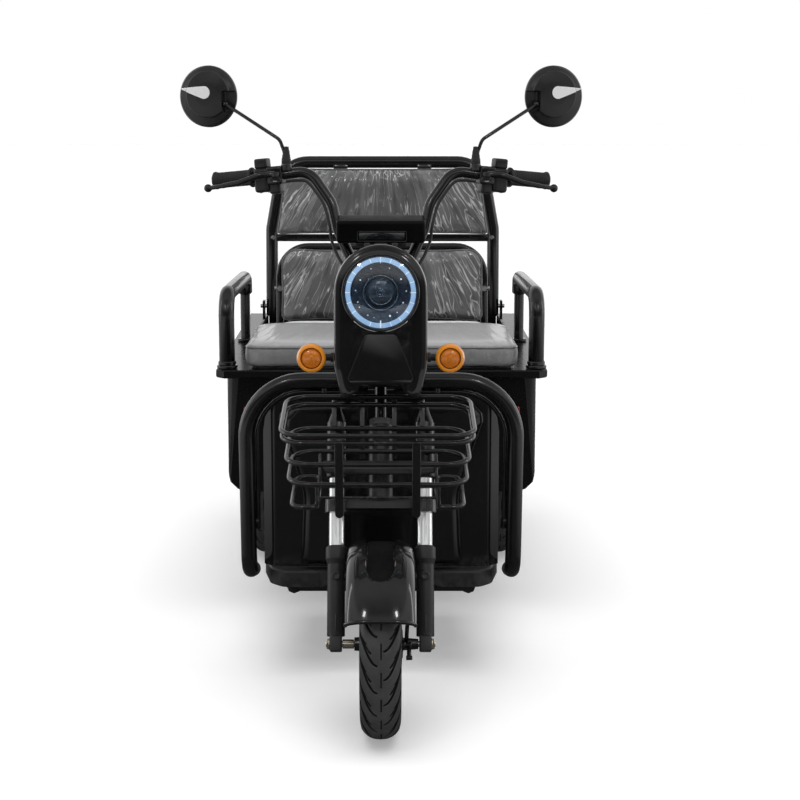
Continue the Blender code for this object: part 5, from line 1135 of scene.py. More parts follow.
for word, side in SIDES:
    place = fork_frame(LEG_X * side, 0, 0)
    profile = [
        (0.0, 0.1), (0.0157, 0.1), (0.0157, 0.1905), (0.0206, 0.19), (0.0212, 0.188), (0.0212, 0.1665),
        (0.0206, 0.165), (0.0176, 0.156), (0.0176, 0.015), (0.0, 0.015),
    ]
    leg = [
        lathe(profile, SLIDER, place, TURN, soft=0.0007),
        lathe(
            [(0.0155, 0.189), (0.0185, 0.189), (0.018, 0.1925), (0.0158, 0.1932)],
            GRIP, place, TURN, True, soft=0.0004,
        ),
        block((-0.0118, -0.015, -0.015), (0.0118, 0.015, 0.022), SLIDER, place, 0.003, 4),
        block((-0.0012, -0.0195, 0.023), (0.0012, -0.0165, 0.056), SLIDER, place, 0.0008, 2),
    ]
    boss = fork_at(LEG_X * side, 0, FENDER_BOLT_UP)
    leg.append(rod(boss - X * side * 0.016, boss - X * side * 0.0203, 0.009, SLIDER, 32))
    leg.append(
        lathe(
            [(0.0, 0.0), (0.0095, 0.0), (0.009, 0.003), (0.006, 0.004), (0.0055, 0.0022), (0.0, 0.002)],
            SLIDER,
            facing(boss - FORK_BACK * 0.016, -FORK_BACK, X),
            32, soft=0.0005,
        )
    )
    put(together(f"{word}_lower_fork_leg", *leg), "fork_lower", "satin_black", f"{word}_fork_slider")
    tube_piece = rod(
        fork_at(LEG_X * side, 0, 0.09), fork_at(LEG_X * side, 0, 0.3285), 0.015, CHROME, TURN,
        name=f"{word}_fork_tube_polished",
    )
    put(tube_piece, "steering", "chrome", f"{word}_fork_tube")


# Front fender: a U section carried round the wheel, with a sunk channel on top and a rolled lip


SHEET = 0.003
FENDER_START = math.radians(29)
FENDER_SPAN = math.radians(133)
# The sunk channel: where it starts in degrees round the wheel, half its width and its depth
CHANNEL_START = 22.5
CHANNEL_HALF = 0.0262
CHANNEL_DEPTH = 0.0065
LIP_IN = 0.0015


def fender():
    forward = Vector((0, -math.cos(FENDER_START), math.sin(FENDER_START)))
    upward = Vector((0, math.sin(FENDER_START), math.cos(FENDER_START)))
    half = [
        (0.175, 0.0655), (0.184, 0.0642), (0.194, 0.056), (0.202, 0.042), (0.2062, 0.022), (0.207, 0.0)
    ]
    section = half + [(r, -h) for r, h in reversed(half[:-1])]
    line = smooth_route(flat(section), 9)
    spans = 140
    rows = []
    for k in range(spans + 1):
        a = FENDER_SPAN * k / spans
        out = forward * math.cos(a) + upward * math.sin(a)
        deg = math.degrees(a)
        row = []
        for p in line:
            enter = min(1.0, max(0.0, (deg - CHANNEL_START - 3.0 * (p.y / 0.02) ** 4) / 1.6))
            edge = min(1.0, max(0.0, (CHANNEL_HALF + 0.00004 * deg - abs(p.y)) / 0.002))
            enter, edge = enter * enter * (3 - 2 * enter), edge * edge * (3 - 2 * edge)
            row.append(AXLE + out * (p.x - CHANNEL_DEPTH * enter * edge) - X * p.y)
        rows.append(row)
    sheet = sheet_of(rows, GLOSS, SHEET, rows[0][0] - AXLE)
    sheet.data.materials.append(CHANNEL)
    for polygon in sheet.data.polygons:
        middle = polygon.center - AXLE
        a = math.atan2(middle.dot(upward), middle.dot(forward))
        if abs(middle.x) < 0.025 and math.degrees(a) > 23.4 and math.hypot(middle.y, middle.z) < 0.2035:
            polygon.material_index = 1
    lip = [AXLE + forward * (p.x - LIP_IN) - X * p.y - upward * 0.001 for p in line]
    tail = forward * math.cos(FENDER_SPAN) + upward * math.sin(FENDER_SPAN)
    tail_turn = -forward * math.sin(FENDER_SPAN) + upward * math.cos(FENDER_SPAN)
    back_lip = [AXLE + tail * (p.x - LIP_IN) - X * p.y + tail_turn * 0.0005 for p in line]
    parts = [sheet, sweep(lip, 0.0038, GLOSS, 14), sweep(back_lip, 0.0022, GLOSS, 12)]
    for side in (1, -1):
        boss = fork_at(LEG_X * side, 0, FENDER_BOLT_UP)
        foot = boss - X * side * 0.0223
        parts.append(bolt(foot, X * side, 0.0052, SATIN, 0.001))
    return together("front_fender_pressed", *parts)


put(fender(), "fork_lower", "gloss_black", "front_fender")


# Fork shroud

shroud_outline = [
    (0.126, 0.005), (0.112, 0.014), (-0.112, 0.014), (-0.126, 0.005), (-0.108, -0.01), (-0.08, -0.014),
    (0.08, -0.014), (0.108, -0.01),
]
shroud_place = frame_of(fork_at(0, -0.0205, 0.346), X, FORK_UP, -FORK_BACK)
outline = [(p.x, p.y) for p in fillet(flat(shroud_outline), 0.006, 4, closed=True)]
shroud_parts = [plate(outline, 0.005, SATIN, shroud_place, 0.0015, 3)]
for side in (1, -1):
    sleeve = [(0.0, 0.48), (0.006, 0.479), (0.012, 0.46), (0.0205, 0.44), (0.0205, 0.329), (0.0, 0.329)]
    shroud_parts.append(lathe(sleeve, SATIN, fork_frame(LEG_X * side, 0, 0), TURN, soft=0.003))
    shroud_parts.append(
        lathe(
            [(0.0203, 0.336), (0.0216, 0.3365), (0.0216, 0.3405), (0.0203, 0.341)],
            SATIN, fork_frame(LEG_X * side, 0, 0), TURN, True, soft=0.0003,
        )
    )
put(together("fork_shroud_pressed", *shroud_parts), "steering", "satin_black", "fork_shroud")


# Basket

WIRE = 0.0049
DROOP = 0.137
BASKET_SIDE = -0.005
# Each ring, and the pair of lower loops: half width, front, rear and the height of the rear
RINGS = [
    (0.1825, -0.092, 0.15, 0.648), (0.1805, -0.09, 0.146, 0.633), (0.173, -0.084, 0.129, 0.588),
    (0.169, -0.078, 0.112, 0.545),
]
LOOP = (0.1625, -0.072, 0.095, 0.497)
LOOP_INNER = 0.115
LOOP_WIRE = 0.003


def basket_at(x, back, z):
    return at(x + BASKET_SIDE, back, z)


def ring_z(ring, back):
    return ring[3] - (ring[2] - back) * DROOP


def basket():
    parts = []
    for half, front, rear, rear_z in RINGS:
        corners = [(half, rear), (-half, rear), (-half, front), (half, front)]
        path = fillet(flat(corners), 0.045, 9, closed=True)
        points = [basket_at(p.x, p.y, rear_z - (rear - p.y) * DROOP) for p in path]
        parts.append(sweep(points, WIRE, SATIN, 14, closed=True))
    half, front, rear, _ = LOOP
    for side in (1, -1):
        corners = [(LOOP_INNER, rear), (LOOP_INNER, front), (half, front), (half, rear)]
        path = fillet(
            [(x * side, b, 0) for x, b in corners], [0.012, 0.012, 0.04, 0.04], 7, closed=True
        )
        parts.append(
            sweep([basket_at(p.x, p.y, ring_z(LOOP, p.y)) for p in path], WIRE, SATIN, 14, closed=True)
        )
        for low_back, high_back in ((front, RINGS[3][1]), (rear, RINGS[3][2])):
            low = basket_at(LOOP_INNER * side, low_back, ring_z(LOOP, low_back))
            high = basket_at(LOOP_INNER * side, high_back, ring_z(RINGS[3], high_back))
            parts.append(rod(low, high, LOOP_WIRE, SATIN, 14))
    for back in (-0.02, 0.04):
        z = ring_z(LOOP, back) - 0.0005
        parts.append(
            rod(
                basket_at(-LOOP_INNER - 0.002, back, z), basket_at(LOOP_INNER + 0.002, back, z), 0.0028,
                SATIN, 14,
            )
        )
    slope = (RINGS[3][1] - RINGS[1][1]) / (
        ring_z(RINGS[1], RINGS[1][1]) - ring_z(RINGS[3], RINGS[3][1])
    )
    lean = Vector((0, -slope, 1)).normalized()
    outward = lean.cross(X)
    for side in (1, -1):
        top = basket_at(0.0727 * side, RINGS[1][1] - 0.0045, ring_z(RINGS[1], RINGS[1][1]) + 0.003)
        place = frame_of(top, X, lean, outward * -1)
        end = [
            (0.008 * math.cos(a), -0.144 - 0.008 * math.sin(a))
            for a in (math.pi * k / 12 for k in range(13))
        ]
        parts.append(
            plate(
                end + [(-0.008, -0.001), (-0.007, 0.0), (0.007, 0.0), (0.008, -0.001)],
                0.0036, SATIN, place, 0.0013, 3,
            )
        )
    strap_top = (RINGS[0][2] + 0.0048, RINGS[0][3] + 0.004)
    strap_low = (RINGS[3][2] + 0.004, RINGS[3][3] - 0.016)
    for x in (-0.088, -0.032, 0.032, 0.088):
        start, end = basket_at(x, *strap_low), basket_at(x, *strap_top)
        place = facing((start + end) / 2, end - start, Vector((0, 1, 0)))
        size = Vector((0.0045, 0.0016, (end - start).length / 2))
        parts.append(block(-size, size, SATIN, place, 0.0007, 2))
    clip = basket_at(0.0045, RINGS[1][1] - 0.0005, ring_z(RINGS[1], RINGS[1][1]) + 0.0005)
    parts.append(sweep([clip - X * 0.01, clip + X * 0.01], 0.005, SATIN, 14))
    return together("front_wire_basket", *parts)


put(basket(), "steering", "gloss_black", "front_basket")


# Headlight cowl


def lamp_direction():
    return Vector((0, -math.cos(LAMP_TILT), math.sin(LAMP_TILT)))


def cowl_outline(shrink, round_radius, centre_z):
    """Half of the cowl's front outline, from the middle of the top to the middle of the bottom."""
    points = []
    for k in range(9):
        angle = math.pi / 2 * (1 - k / 8)
        points.append((round_radius * math.cos(angle), centre_z + round_radius * math.sin(angle)))
    narrow = (COWL_HALF - shrink) / COWL_HALF
    rise = shrink * 0.6
    low = [
        (COWL_HALF, 0.815), (COWL_HALF, 0.77), (COWL_HALF - 0.001, 0.715), (0.086, 0.69),
        (0.079, 0.662), (0.0705, 0.653), (0.062, 0.656), (0.053, 0.672), (0.044, 0.6752), (0.0, 0.675),
    ]
    return points + [(x * narrow, z + rise) for x, z in low]


# Each section: drawn in by, radius of its round top, lean, distance behind the axle, middle of the top
SECTIONS = [
    (0.026, 0.066, COWL_LEAN, 0.09, LAMP_Z),
    (0.009, 0.083, COWL_LEAN, 0.093, LAMP_Z),
    (0.0, 0.0915, 0.15, 0.104, LAMP_Z),
    (0.0, 0.09, 0.24, 0.155, LAMP_Z - 0.006),
    (0.004, 0.08, 0.33, 0.198, LAMP_Z - 0.014),
]


def cowl_loft(inset, reach, finish):
    loops = []
    for i, (shrink, top_radius, lean, foot, centre_z) in enumerate(SECTIONS):
        half = cowl_outline(shrink + inset, top_radius - inset, centre_z)
        outline = mirrored(half)
        back = foot + (inset if i < 2 else 0.0) + (reach if i == len(SECTIONS) - 1 else 0.0)
        loop = [at(x, back + (z - COWL_BASE) * lean, z) for x, z in outline]
        loops.append(smooth_route(loop, 3, closed=True))
    columns = [smooth_route([loop[k] for loop in loops], 6) for k in range(len(loops[0]))]
    return loft([list(row) for row in zip(*columns)], finish)


def cowl():
    middle = at(0, LAMP_BACK - 0.016, LAMP_Z)
    axis = lamp_direction()
    opening = rod(
        middle - axis * 0.07, middle + axis * 0.05, LAMP_RADIUS + 0.0009, None, TURN, round_by=0
    )
    shell = cut_away(cowl_loft(0.0, 0.0, GLOSS), cowl_loft(SHEET, 0.03, None), opening)
    # The plain gloss plate under the lamp
    corners = [
        (-0.03, 0.78), (0.03, 0.78), (0.064, 0.696), (0.06, 0.684), (-0.06, 0.684), (-0.064, 0.696)
    ]
    rounded = fillet(flat(corners), [0.01, 0.01, 0.012, 0.01, 0.01, 0.012], 5, closed=True)
    tilt = Vector((0, COWL_LEAN, 1)).normalized()
    place = frame_of(at(0, 0.09 - 0.0004, COWL_BASE), X, tilt, X.cross(tilt))
    outline = [(p.x, (p.y - COWL_BASE) * math.sqrt(1 + COWL_LEAN**2)) for p in rounded]
    return together("headlight_cowl_moulded", shell, plate(outline, 0.0022, RECESS, place, 0.0008, 3))


put(cowl(), "steering", "gloss_black", "headlight_cowl")

lamp_place = facing(at(0, LAMP_BACK - 0.016, LAMP_Z), lamp_direction())


# The small dots in the bowl: how far out each sits, at what angle, and its radius
LAMP_DOTS = [
    (0.047, 148, 0.0016), (0.0478, 34, 0.0016), (0.049, 175, 0.001), (0.048, 202, 0.0013),
    (0.05, 214, 0.0012), (0.0505, 240, 0.0014), (0.05, 255, 0.001), (0.0485, 292, 0.002),
    (0.05, 310, 0.001), (0.048, 336, 0.0014), (0.05, 4, 0.0011), (0.051, 70, 0.001),
    (0.0505, 112, 0.001),
]


def lamp_unit():
    """Bezel, bowl, projector with its cut-off, pale ring, ticks and dots."""
    back = [
        (0.071, 0.0008), (0.0722, 0.004), (0.0735, 0.0056), (0.0752, 0.0052), (LAMP_RADIUS, 0.003),
        (LAMP_RADIUS, -0.02), (0.056, -0.056), (0.0, -0.064),
    ]
    parts = [lathe(back, PLASTIC, lamp_place, TURN, soft=0.0006)]
    bowl = [
        (0.0712, 0.0008), (0.07, 0.0002), (0.058, -0.0006), (0.056, -0.006), (0.05, -0.011),
        (0.04, -0.015), (0.0345, -0.0172), (0.0345, -0.012), (0.0325, -0.0112), (0.031, -0.017),
        (0.0, -0.019),
    ]
    parts.append(lathe(bowl, BOWL, lamp_place, TURN, soft=0.0005))
    ring = [(0.0592, 0.0004), (0.06, 0.0016), (0.064, 0.0021), (0.068, 0.0016), (0.0688, 0.0004)]
    parts.append(lathe(ring, RING_LIGHT, lamp_place, TURN, True))
    for k in range(20):
        if k == 12:
            continue
        a = math.radians(90 - 18 * k)
        turn = lamp_place @ Matrix.Rotation(a, 4, "Z")
        low = 0.057 if k in (0, 5) else 0.06
        low = 0.054 if k == 10 else low
        wide = 0.0011 if k == 10 else 0.0006
        parts.append(block((low, -wide, 0.0008), (0.069, wide, 0.0026), TICKS, turn, 0.0003, 1))
    for radius, deg, size in LAMP_DOTS:
        foot = lamp_place @ turned(radius, math.radians(deg), -0.0108)
        parts.append(rod(foot, foot + lamp_direction() * 0.0016, size, TICKS, 14, round_by=0.0004))
    for k in range(24):
        turn = lamp_place @ Matrix.Rotation(math.tau * k / 24, 4, "Z")
        parts.append(
            block(
                (0.0405, -0.0003, -0.0148), (0.0548, 0.0003, -0.0085 if k % 2 else -0.007), BOWL, turn,
                0.0002, 1,
            )
        )
    dome = [(0.0, -0.003), (0.009, -0.0036), (0.018, -0.006), (0.025, -0.0105), (0.0295, -0.0165)]
    parts.append(lathe(smooth_profile(dome, 5), LENS_BALL, lamp_place, TURN))
    for radius, height, wide in (
        (0.0338, -0.0113, 0.0007), (0.0042, -0.0026, 0.0005), (0.0078, -0.0031, 0.00035)
    ):
        loop = [lamp_place @ turned(radius, math.tau * k / 60, height) for k in range(60)]
        parts.append(sweep(loop, wide, SILVER_BLUE, 8, closed=True))
    smile = [lamp_place @ turned(0.023, math.radians(200 + 140 * k / 30), -0.0085) for k in range(31)]
    parts.append(sweep(smile, 0.0006, SILVER_BLUE, 8))
    return together("headlight_body", *parts)


def projector_glass():
    made = Shader("projector_lens", 0.0, Coat_Weight=0.25, Coat_Roughness=0.02, Specular_IOR_Level=0.3)
    # Painted highlight: the lens is coloured lighter towards its top
    shade = made.spread(made.split(made.place)[1], -0.02, 0.022)
    colour = made.mix(shade, (0.01, 0.024, 0.048), (0.075, 0.11, 0.15))
    made.to(
        "Base Color",
        made.mix(made.spread(made.noise(60.0, 3.0), 0.4, 0.7, 0.0, 0.4), colour, (0.02, 0.035, 0.06)),
    )
    made.to("Roughness", made.patchy(40.0, 3.0, 0.04, 0.1))
    return made.made


LENS_BALL = projector_glass()
SILVER_BLUE = coated(
    "bright_blue_trim", (0.3, 0.38, 0.46), (0.44, 0.53, 0.62), (0.12, 0.22), 400, 0.04, 0.0,
    metallic=0.9,
)

put(lamp_unit(), "steering", "black_plastic", "headlight_unit")
glass_profile = smooth_profile(
    [(0.0, 0.0125), (0.022, 0.0119), (0.042, 0.0102), (0.06, 0.0066), (0.0712, 0.0034)], 6
)
glass_profile += [(0.0712, 0.002)] + smooth_profile(
    [(0.07, 0.0022), (0.06, 0.0048), (0.042, 0.0084), (0.022, 0.0101), (0.0, 0.0107)], 6
)
put(
    lathe(glass_profile, GLASS, lamp_place, TURN, name="headlight_glass"),
    "steering", "lamp_glass", "headlight_lens",
)


# Turn signals

for word, side in SIDES:
    centre = at(0.137 * side, 0.128, 0.73)
    place = facing(centre, (0, -1, 0))
    dome = [
        (0.0, 0.016), (0.005, 0.0158), (0.0052, 0.015), (0.011, 0.014), (0.016, 0.0118),
        (0.0186, 0.009), (0.0194, 0.006),
    ]
    rim = [
        (0.0206, 0.006), (0.0212, 0.0108), (0.0222, 0.012), (0.025, 0.0112), (0.0278, 0.0076),
        (0.029, 0.003), (0.0288, -0.001),
    ]
    parts = [
        lathe(dome + [(0.0194, 0.003), (0.0, 0.003)], AMBER, place, TURN, soft=0.0004),
        lathe(rim + [(0.0206, -0.001)], AMBER_RIM, place, TURN, True, soft=0.0006),
        # Painted shade: a dark amber ring in the groove between the rim and the dome
        lathe(
            [(0.019, 0.0052), (0.021, 0.0052), (0.021, 0.002), (0.019, 0.002)],
            AMBER_GROOVE_SHADE, place, TURN, True,
        ),
        lathe(
            [(0.0, -0.0002), (0.0284, -0.0002), (0.0284, -0.006), (0.02, -0.02), (0.0, -0.025)],
            PLASTIC, place, TURN, soft=0.0012,
        ),
    ]
    start = centre + Vector((-0.01 * side, 0.01, 0))
    end = centre + Vector((-0.0437 * side, 0.01, 0))
    parts.append(rod(start, end, 0.007, PLASTIC, 32))
    parts.append(rod(end + X * 0.006 * side, end, 0.01, PLASTIC, 32, round_by=0.001))
    for k in range(3):
        rib = start.lerp(end, 0.42 + 0.14 * k)
        parts.append(rod(rib, rib - X * 0.0022 * side, 0.008, PLASTIC, 32, round_by=0.0005))
    put(together(f"{word}_turn_signal_lamp", *parts), "steering", "amber_lens", f"{word}_turn_signal")


# Handlebar

bar_middle = fork_at(0, FORK_OFFSET, 0.7707)
half_bar = [
    at(0.052, bar_middle.y - FRONT_AXLE_Y, bar_middle.z), at(0.09, 0.338, 0.97), at(0.101, 0.349, 1.02),
    at(0.148, 0.366, 1.087), at(*BAR_ELBOW), at(*BAR_END),
]
bar_corners = [Vector((-p.x, p.y, p.z)) for p in reversed(half_bar)] + half_bar
bend = [0, 0.06, 0.05, 0.07, 0.05, 0.024]
put(
    sweep(fillet(bar_corners, bend + bend[::-1], 8), 0.011, SATIN, 28, name="handlebar_tube"),
    "steering", "satin_black", "handlebar",
)


def bar_frame(side, x):
    return facing(bar_point(side, x), bar_end_axis(side))


GRIP_INNER = 0.266
LEVER_X = 0.218
LEVER_FORWARD = 0.034
LEVER_DROP = -0.006


def grip(name, side):
    """A rubber grip with ring ribs, a flange inside and a bulged end."""
    profile = [(0.0118, 0.0), (0.0205, 0.0), (0.0208, 0.0028), (0.02, 0.0052), (0.0168, 0.0066)]
    for k in range(13):
        h = 0.011 + k * 0.0052
        profile += [(0.0165, h), (0.0154, h + 0.0008), (0.0154, h + 0.0022), (0.0165, h + 0.003)]
    profile += [(0.0166, 0.08), (0.0186, 0.084), (0.0184, 0.0872), (0.015, 0.0895), (0.0, 0.0903)]
    return lathe(profile, GRIP, bar_frame(side, GRIP_INNER), TURN, soft=0.0004, name=name)


put(grip("left_grip_ribbed", 1), "steering", "grip_rubber", "left_grip")
put(grip("throttle_grip_ribbed", -1), "throttle", "grip_rubber", "throttle_grip")


def controls(word, side):
    """The lever perch, mirror boss and switch housing, with clamp screws."""
    place = bar_frame(side, LEVER_X)
    tongue_start = bar_point(side, LEVER_X, 0.006, LEVER_DROP)
    tongue_end = bar_point(side, LEVER_X, LEVER_FORWARD + 0.008, LEVER_DROP)
    low = bar_point(side, 0.196, 0.004, 0.008)
    parts = [
        block((-0.019, -0.019, -0.019), (0.019, 0.019, 0.016), SATIN, place, 0.0055, 4),
        block(
            (-0.011, -0.0035, 0),
            (0.011, 0.0035, (tongue_end - tongue_start).length),
            SATIN,
            facing(tongue_start, tongue_end - tongue_start),
            0.0015, 3,
        ),
        block((-0.02, -0.033, 0.012), (0.02, 0.017, 0.044), PLASTIC, place, 0.007, 5),
        block((-0.015, -0.038, -0.012), (0.015, -0.008, 0.014), PLASTIC, place, 0.006, 4),
        block((-0.014, 0.016, 0.014), (0.014, 0.037, 0.042), PLASTIC, place, 0.0045, 4),
        block((-0.0203, -0.006, 0.0125), (0.0203, -0.005, 0.0435), GRIP, place, 0.0003, 1),
        rod(low, low + Vector((0, 0, 0.013)), 0.011, SATIN, 32, round_by=0.001),
        rod(low + Vector((0, 0, 0.004)), bar_point(side, LEVER_X, 0.004, 0.01), 0.008, SATIN, 24),
        bolt(
            bar_point(side, LEVER_X, LEVER_FORWARD, LEVER_DROP - 0.003), Vector((0, 0, -1)), 0.0042,
            STEEL, 0.003,
        ),
    ]
    for z in (0.019, 0.037):
        foot = place @ Vector((0.0, -0.0331, z))
        parts.append(bolt(foot, place.to_3x3() @ Vector((0, -1, 0)), 0.0026, STEEL, 0.0012))
    return together(f"{word}_bar_controls", *parts)


for word, side in SIDES:
    put(controls(word, side), "steering", "black_plastic", f"{word}_controls")

for word, side in SIDES:
    hinge = bar_point(side, LEVER_X, LEVER_FORWARD, LEVER_DROP)
    path = [
        hinge + Vector((0.002 * side, 0.0, 0.0096)), bar_point(side, 0.25, 0.048, 0.005),
        bar_point(side, 0.29, 0.056, -0.006), bar_point(side, 0.328, 0.0565, -0.01),
        bar_point(side, 0.359, 0.055, -0.012),
    ]
    line = fillet(path, 0.05, 6)
    taper = [0.0064 - 0.0018 * i / (len(line) - 1) for i in range(len(line))]
    blade = sweep(line, taper, SATIN, 20)
    up = Vector((0, 0, 0.004))
    eye = rod(hinge + up * 1.15, hinge + up * 3.6, 0.0095, SATIN, 32)
    knob = lathe(smooth_profile(ball(0.0085, 10), 2), SATIN, Matrix.Translation(path[-1]), 32)
    put(
        together(f"{word}_brake_lever_blade", blade, eye, knob),
        f"{word}_lever", "satin_black", f"{word}_brake_lever",
    )


# Mirrors: a round domed shell with a raised disc, a pocket for the ball and a white drop

MIRROR_YAW = math.radians(18)
MIRROR_SKIN = [
    (0.0, 0.02), (0.025, 0.019), (0.0465, 0.0152), (0.048, 0.014), (0.0486, 0.01), (0.059, 0.006),
    (0.0635, -0.001), (0.064, -0.008),
]
DISC_ASIDE, DISC_UP = 0.005, 0.0045


def mirror_height(x, y, aside):
    """The height of the mirror's back at a place, whose raised disc sits a little aside."""
    far = math.hypot(x - aside, y - DISC_UP)
    if far > 0.0486:
        far = max(math.hypot(x, y), 0.0487)
    for (r0, h0), (r1, h1) in zip(MIRROR_SKIN, MIRROR_SKIN[1:]):
        if far <= r1:
            return h0 + (h1 - h0) * (far - r0) / (r1 - r0)
    return MIRROR_SKIN[-1][1]


def drop_outline(turn, grow):
    """A round end near the middle drawn out to a point by the outer edge; turn is 1 or -1."""
    centre, radius = Vector((-0.0005, 0.008)), 0.013 + grow
    tip = Vector((0.057 + grow * 1.2, 0.016))
    reach = tip - centre
    opening = math.acos((radius - 0.0008) / reach.length)
    towards = math.atan2(reach.y, reach.x)
    points = [
        tip + Vector((0.0008, 0.0006)), tip + Vector((0.0011, 0.0)), tip + Vector((0.0006, -0.0008))
    ]
    for k in range(31):
        a = towards - opening - (math.tau - 2 * opening) * k / 30
        points.append(centre + radius * Vector((math.cos(a), math.sin(a))))
    dense = []
    for p, q in zip(points, points[1:] + points[:1]):
        cuts = max(1, int((q - p).length / 0.003))
        dense += [p.lerp(q, k / cuts) for k in range(cuts)]
    return [(p.x * turn, p.y) for p in dense]


PATCH_RINGS = 18


def mirror_drop(outline, lift, finish, place, aside):
    """A thin patch laid over the mirror's back."""
    middle = Vector((sum(p[0] for p in outline), sum(p[1] for p in outline))) / len(outline)
    inner = [(1 - k / PATCH_RINGS, lift) for k in range(1, PATCH_RINGS)]
    loops = []
    for share, height in [(1.0, -0.002), (1.0, lift - 0.0004)] + inner:
        loop = [middle.lerp(Vector(p), share) for p in outline]
        loops.append([Vector((q.x, q.y, mirror_height(q.x, q.y, aside) + height)) for q in loop])
    return loft(loops, finish, place, 30, open_start=True)


for word, side in SIDES:
    foot = bar_point(side, 0.196, 0.004, 0.0214)
    elbow = foot + Vector((0.013 * side, 0, 0.05))
    socket = at(0.324 * side, foot.y - FRONT_AXLE_Y + 0.04, 1.223)
    boot = [
        (0.0, 0.0), (0.0098, 0.0), (0.01, 0.005), (0.0092, 0.012), (0.0086, 0.0125), (0.0082, 0.0185),
        (0.0076, 0.019), (0.007, 0.027), (0.0063, 0.0275), (0.0054, 0.0355), (0.0, 0.0362),
    ]
    path = fillet(
        [foot + Vector((0, 0, 0.004)), foot + Vector((0.004 * side, 0, 0.025)), elbow, socket], 0.02, 8
    )
    stalk = together(
        f"{word}_mirror_stem",
        lathe(boot, GRIP, Matrix.Translation(foot), 40, soft=0.0006),
        sweep(path, 0.0037, SATIN, 18),
        lathe(ball(0.0065, 12), SATIN, Matrix.Translation(socket), 28),
    )
    put(stalk, f"mirror_stalk_{word}", "satin_black", f"{word}_mirror_stalk")
    normal = Vector((math.sin(MIRROR_YAW) * side, -math.cos(MIRROR_YAW), 0))
    across = Vector((math.cos(MIRROR_YAW) * side, math.sin(MIRROR_YAW), 0))
    place = facing(socket + across * 0.0425 + Vector((0, 0, 0.0155)) - normal * 0.007, normal)
    turn = 1 if place.to_3x3().col[0].dot(across) > 0 else -1
    aside = -turn * DISC_ASIDE
    head = lathe(
        MIRROR_SKIN + [(0.0622, -0.0095), (0.0605, -0.006), (0.0, -0.006)],
        SOFT_PLASTIC, place, TURN, soft=0.0012,
    )
    for vertex in head.data.vertices:
        share = max(0.0, min(1.0, (vertex.co.z - 0.0075) / 0.002))
        vertex.co.x += aside * share
        vertex.co.y += DISC_UP * share
    pocket = (-0.038 * turn, -0.033, -0.0035), (-0.075 * turn, 0.012, 0.03)
    cut_away(head, block(*pocket, None, place, 0.004, 3))
    glass = lathe(
        [(0.0, -0.0062), (0.06, -0.0062), (0.06, -0.0074), (0.0, -0.0074)], SILVER, place, TURN
    )
    surround = mirror_drop(drop_outline(turn, 0.0014), 0.0008, GRIP, place, aside)
    drop = mirror_drop(drop_outline(turn, 0.0), 0.0016, WHITE, place, aside)
    put(
        together(f"{word}_mirror_shell", head, glass, surround, drop),
        f"mirror_{word}", "black_plastic", f"{word}_mirror",
    )


# Instrument housing

DASH_TILT = math.radians(12)
dash_place = leaning(at(0, 0.288, 0.972), DASH_TILT)


def frame_lines(low_x, high_x, low_z, high_z, y, radius, finish):
    """A thin rounded rectangle of bead standing on a face that looks along -Y."""
    corners = [(low_x, y, low_z), (high_x, y, low_z), (high_x, y, high_z), (low_x, y, high_z)]
    path = [dash_place @ p for p in fillet(corners, 0.003, 4, closed=True)]
    return sweep(path, radius, finish, 8, closed=True)


def dash():
    shell = block((-0.0905, -0.027, -0.0235), (0.0905, 0.027, 0.0235), DULL, dash_place, 0.007, 6)
    window = block((-0.048, -0.04, -0.0185), (0.052, -0.023, 0.0035), None, dash_place, 0.003, 4)
    display = block((-0.05, 0.024, -0.0165), (0.032, 0.04, 0.0165), None, dash_place, 0.002, 3)
    key_hole = rod(
        dash_place @ Vector((0.068, 0.012, 0)), dash_place @ Vector((0.068, 0.05, 0)), 0.0075, None, 32,
        round_by=0,
    )
    cut_away(shell, window, display, key_hole)
    ring = dash_place @ Matrix.Translation((0.068, 0.027, 0)) @ Matrix.Rotation(
        math.radians(-90), 4, "X"
    )
    parts = [
        shell,
        frame_lines(-0.0475, 0.0515, -0.018, 0.003, -0.0268, 0.0006, TRIM),
        block((-0.0475, -0.0236, -0.018), (0.0515, -0.0226, 0.003), LCD, dash_place, 0.0002, 1),
        block((-0.0494, 0.0236, -0.016), (0.0314, 0.025, 0.016), LCD, dash_place, 0.0004, 2),
        lathe(
            [(0.0074, 0.0), (0.0098, 0.0), (0.0098, 0.001), (0.009, 0.0016), (0.0074, 0.0016)],
            STEEL, ring, 40, True,
        ),
        block((-0.091, -0.0004, -0.022), (0.091, 0.0004, 0.022), GRIP, dash_place, 0.0003, 1),
    ]
    for side in (1, -1):
        low, high = (0.018 * side - 0.006, -0.006, -0.057), (0.018 * side + 0.006, 0.01, -0.018)
        parts.append(block(low, high, SATIN, dash_place, 0.0015, 2))
        near, far = (0.034 * side, -0.024, -0.029), (0.052 * side, -0.017, -0.0225)
        parts.append(block(near, far, PLASTIC, dash_place, 0.001, 2))
    return together("instrument_case", *parts)


put(dash(), "steering", "black_plastic", "instrument_housing")


# Crash bar

CRASH_RADIUS = 0.017
CRASH_HALF = 0.286
CRASH_TOP = 0.649
CRASH_BACK = 0.352
INNER_HALF = 0.262
INNER_BACK = 0.356
INNER_LOW, INNER_TOP = 0.33, 0.624


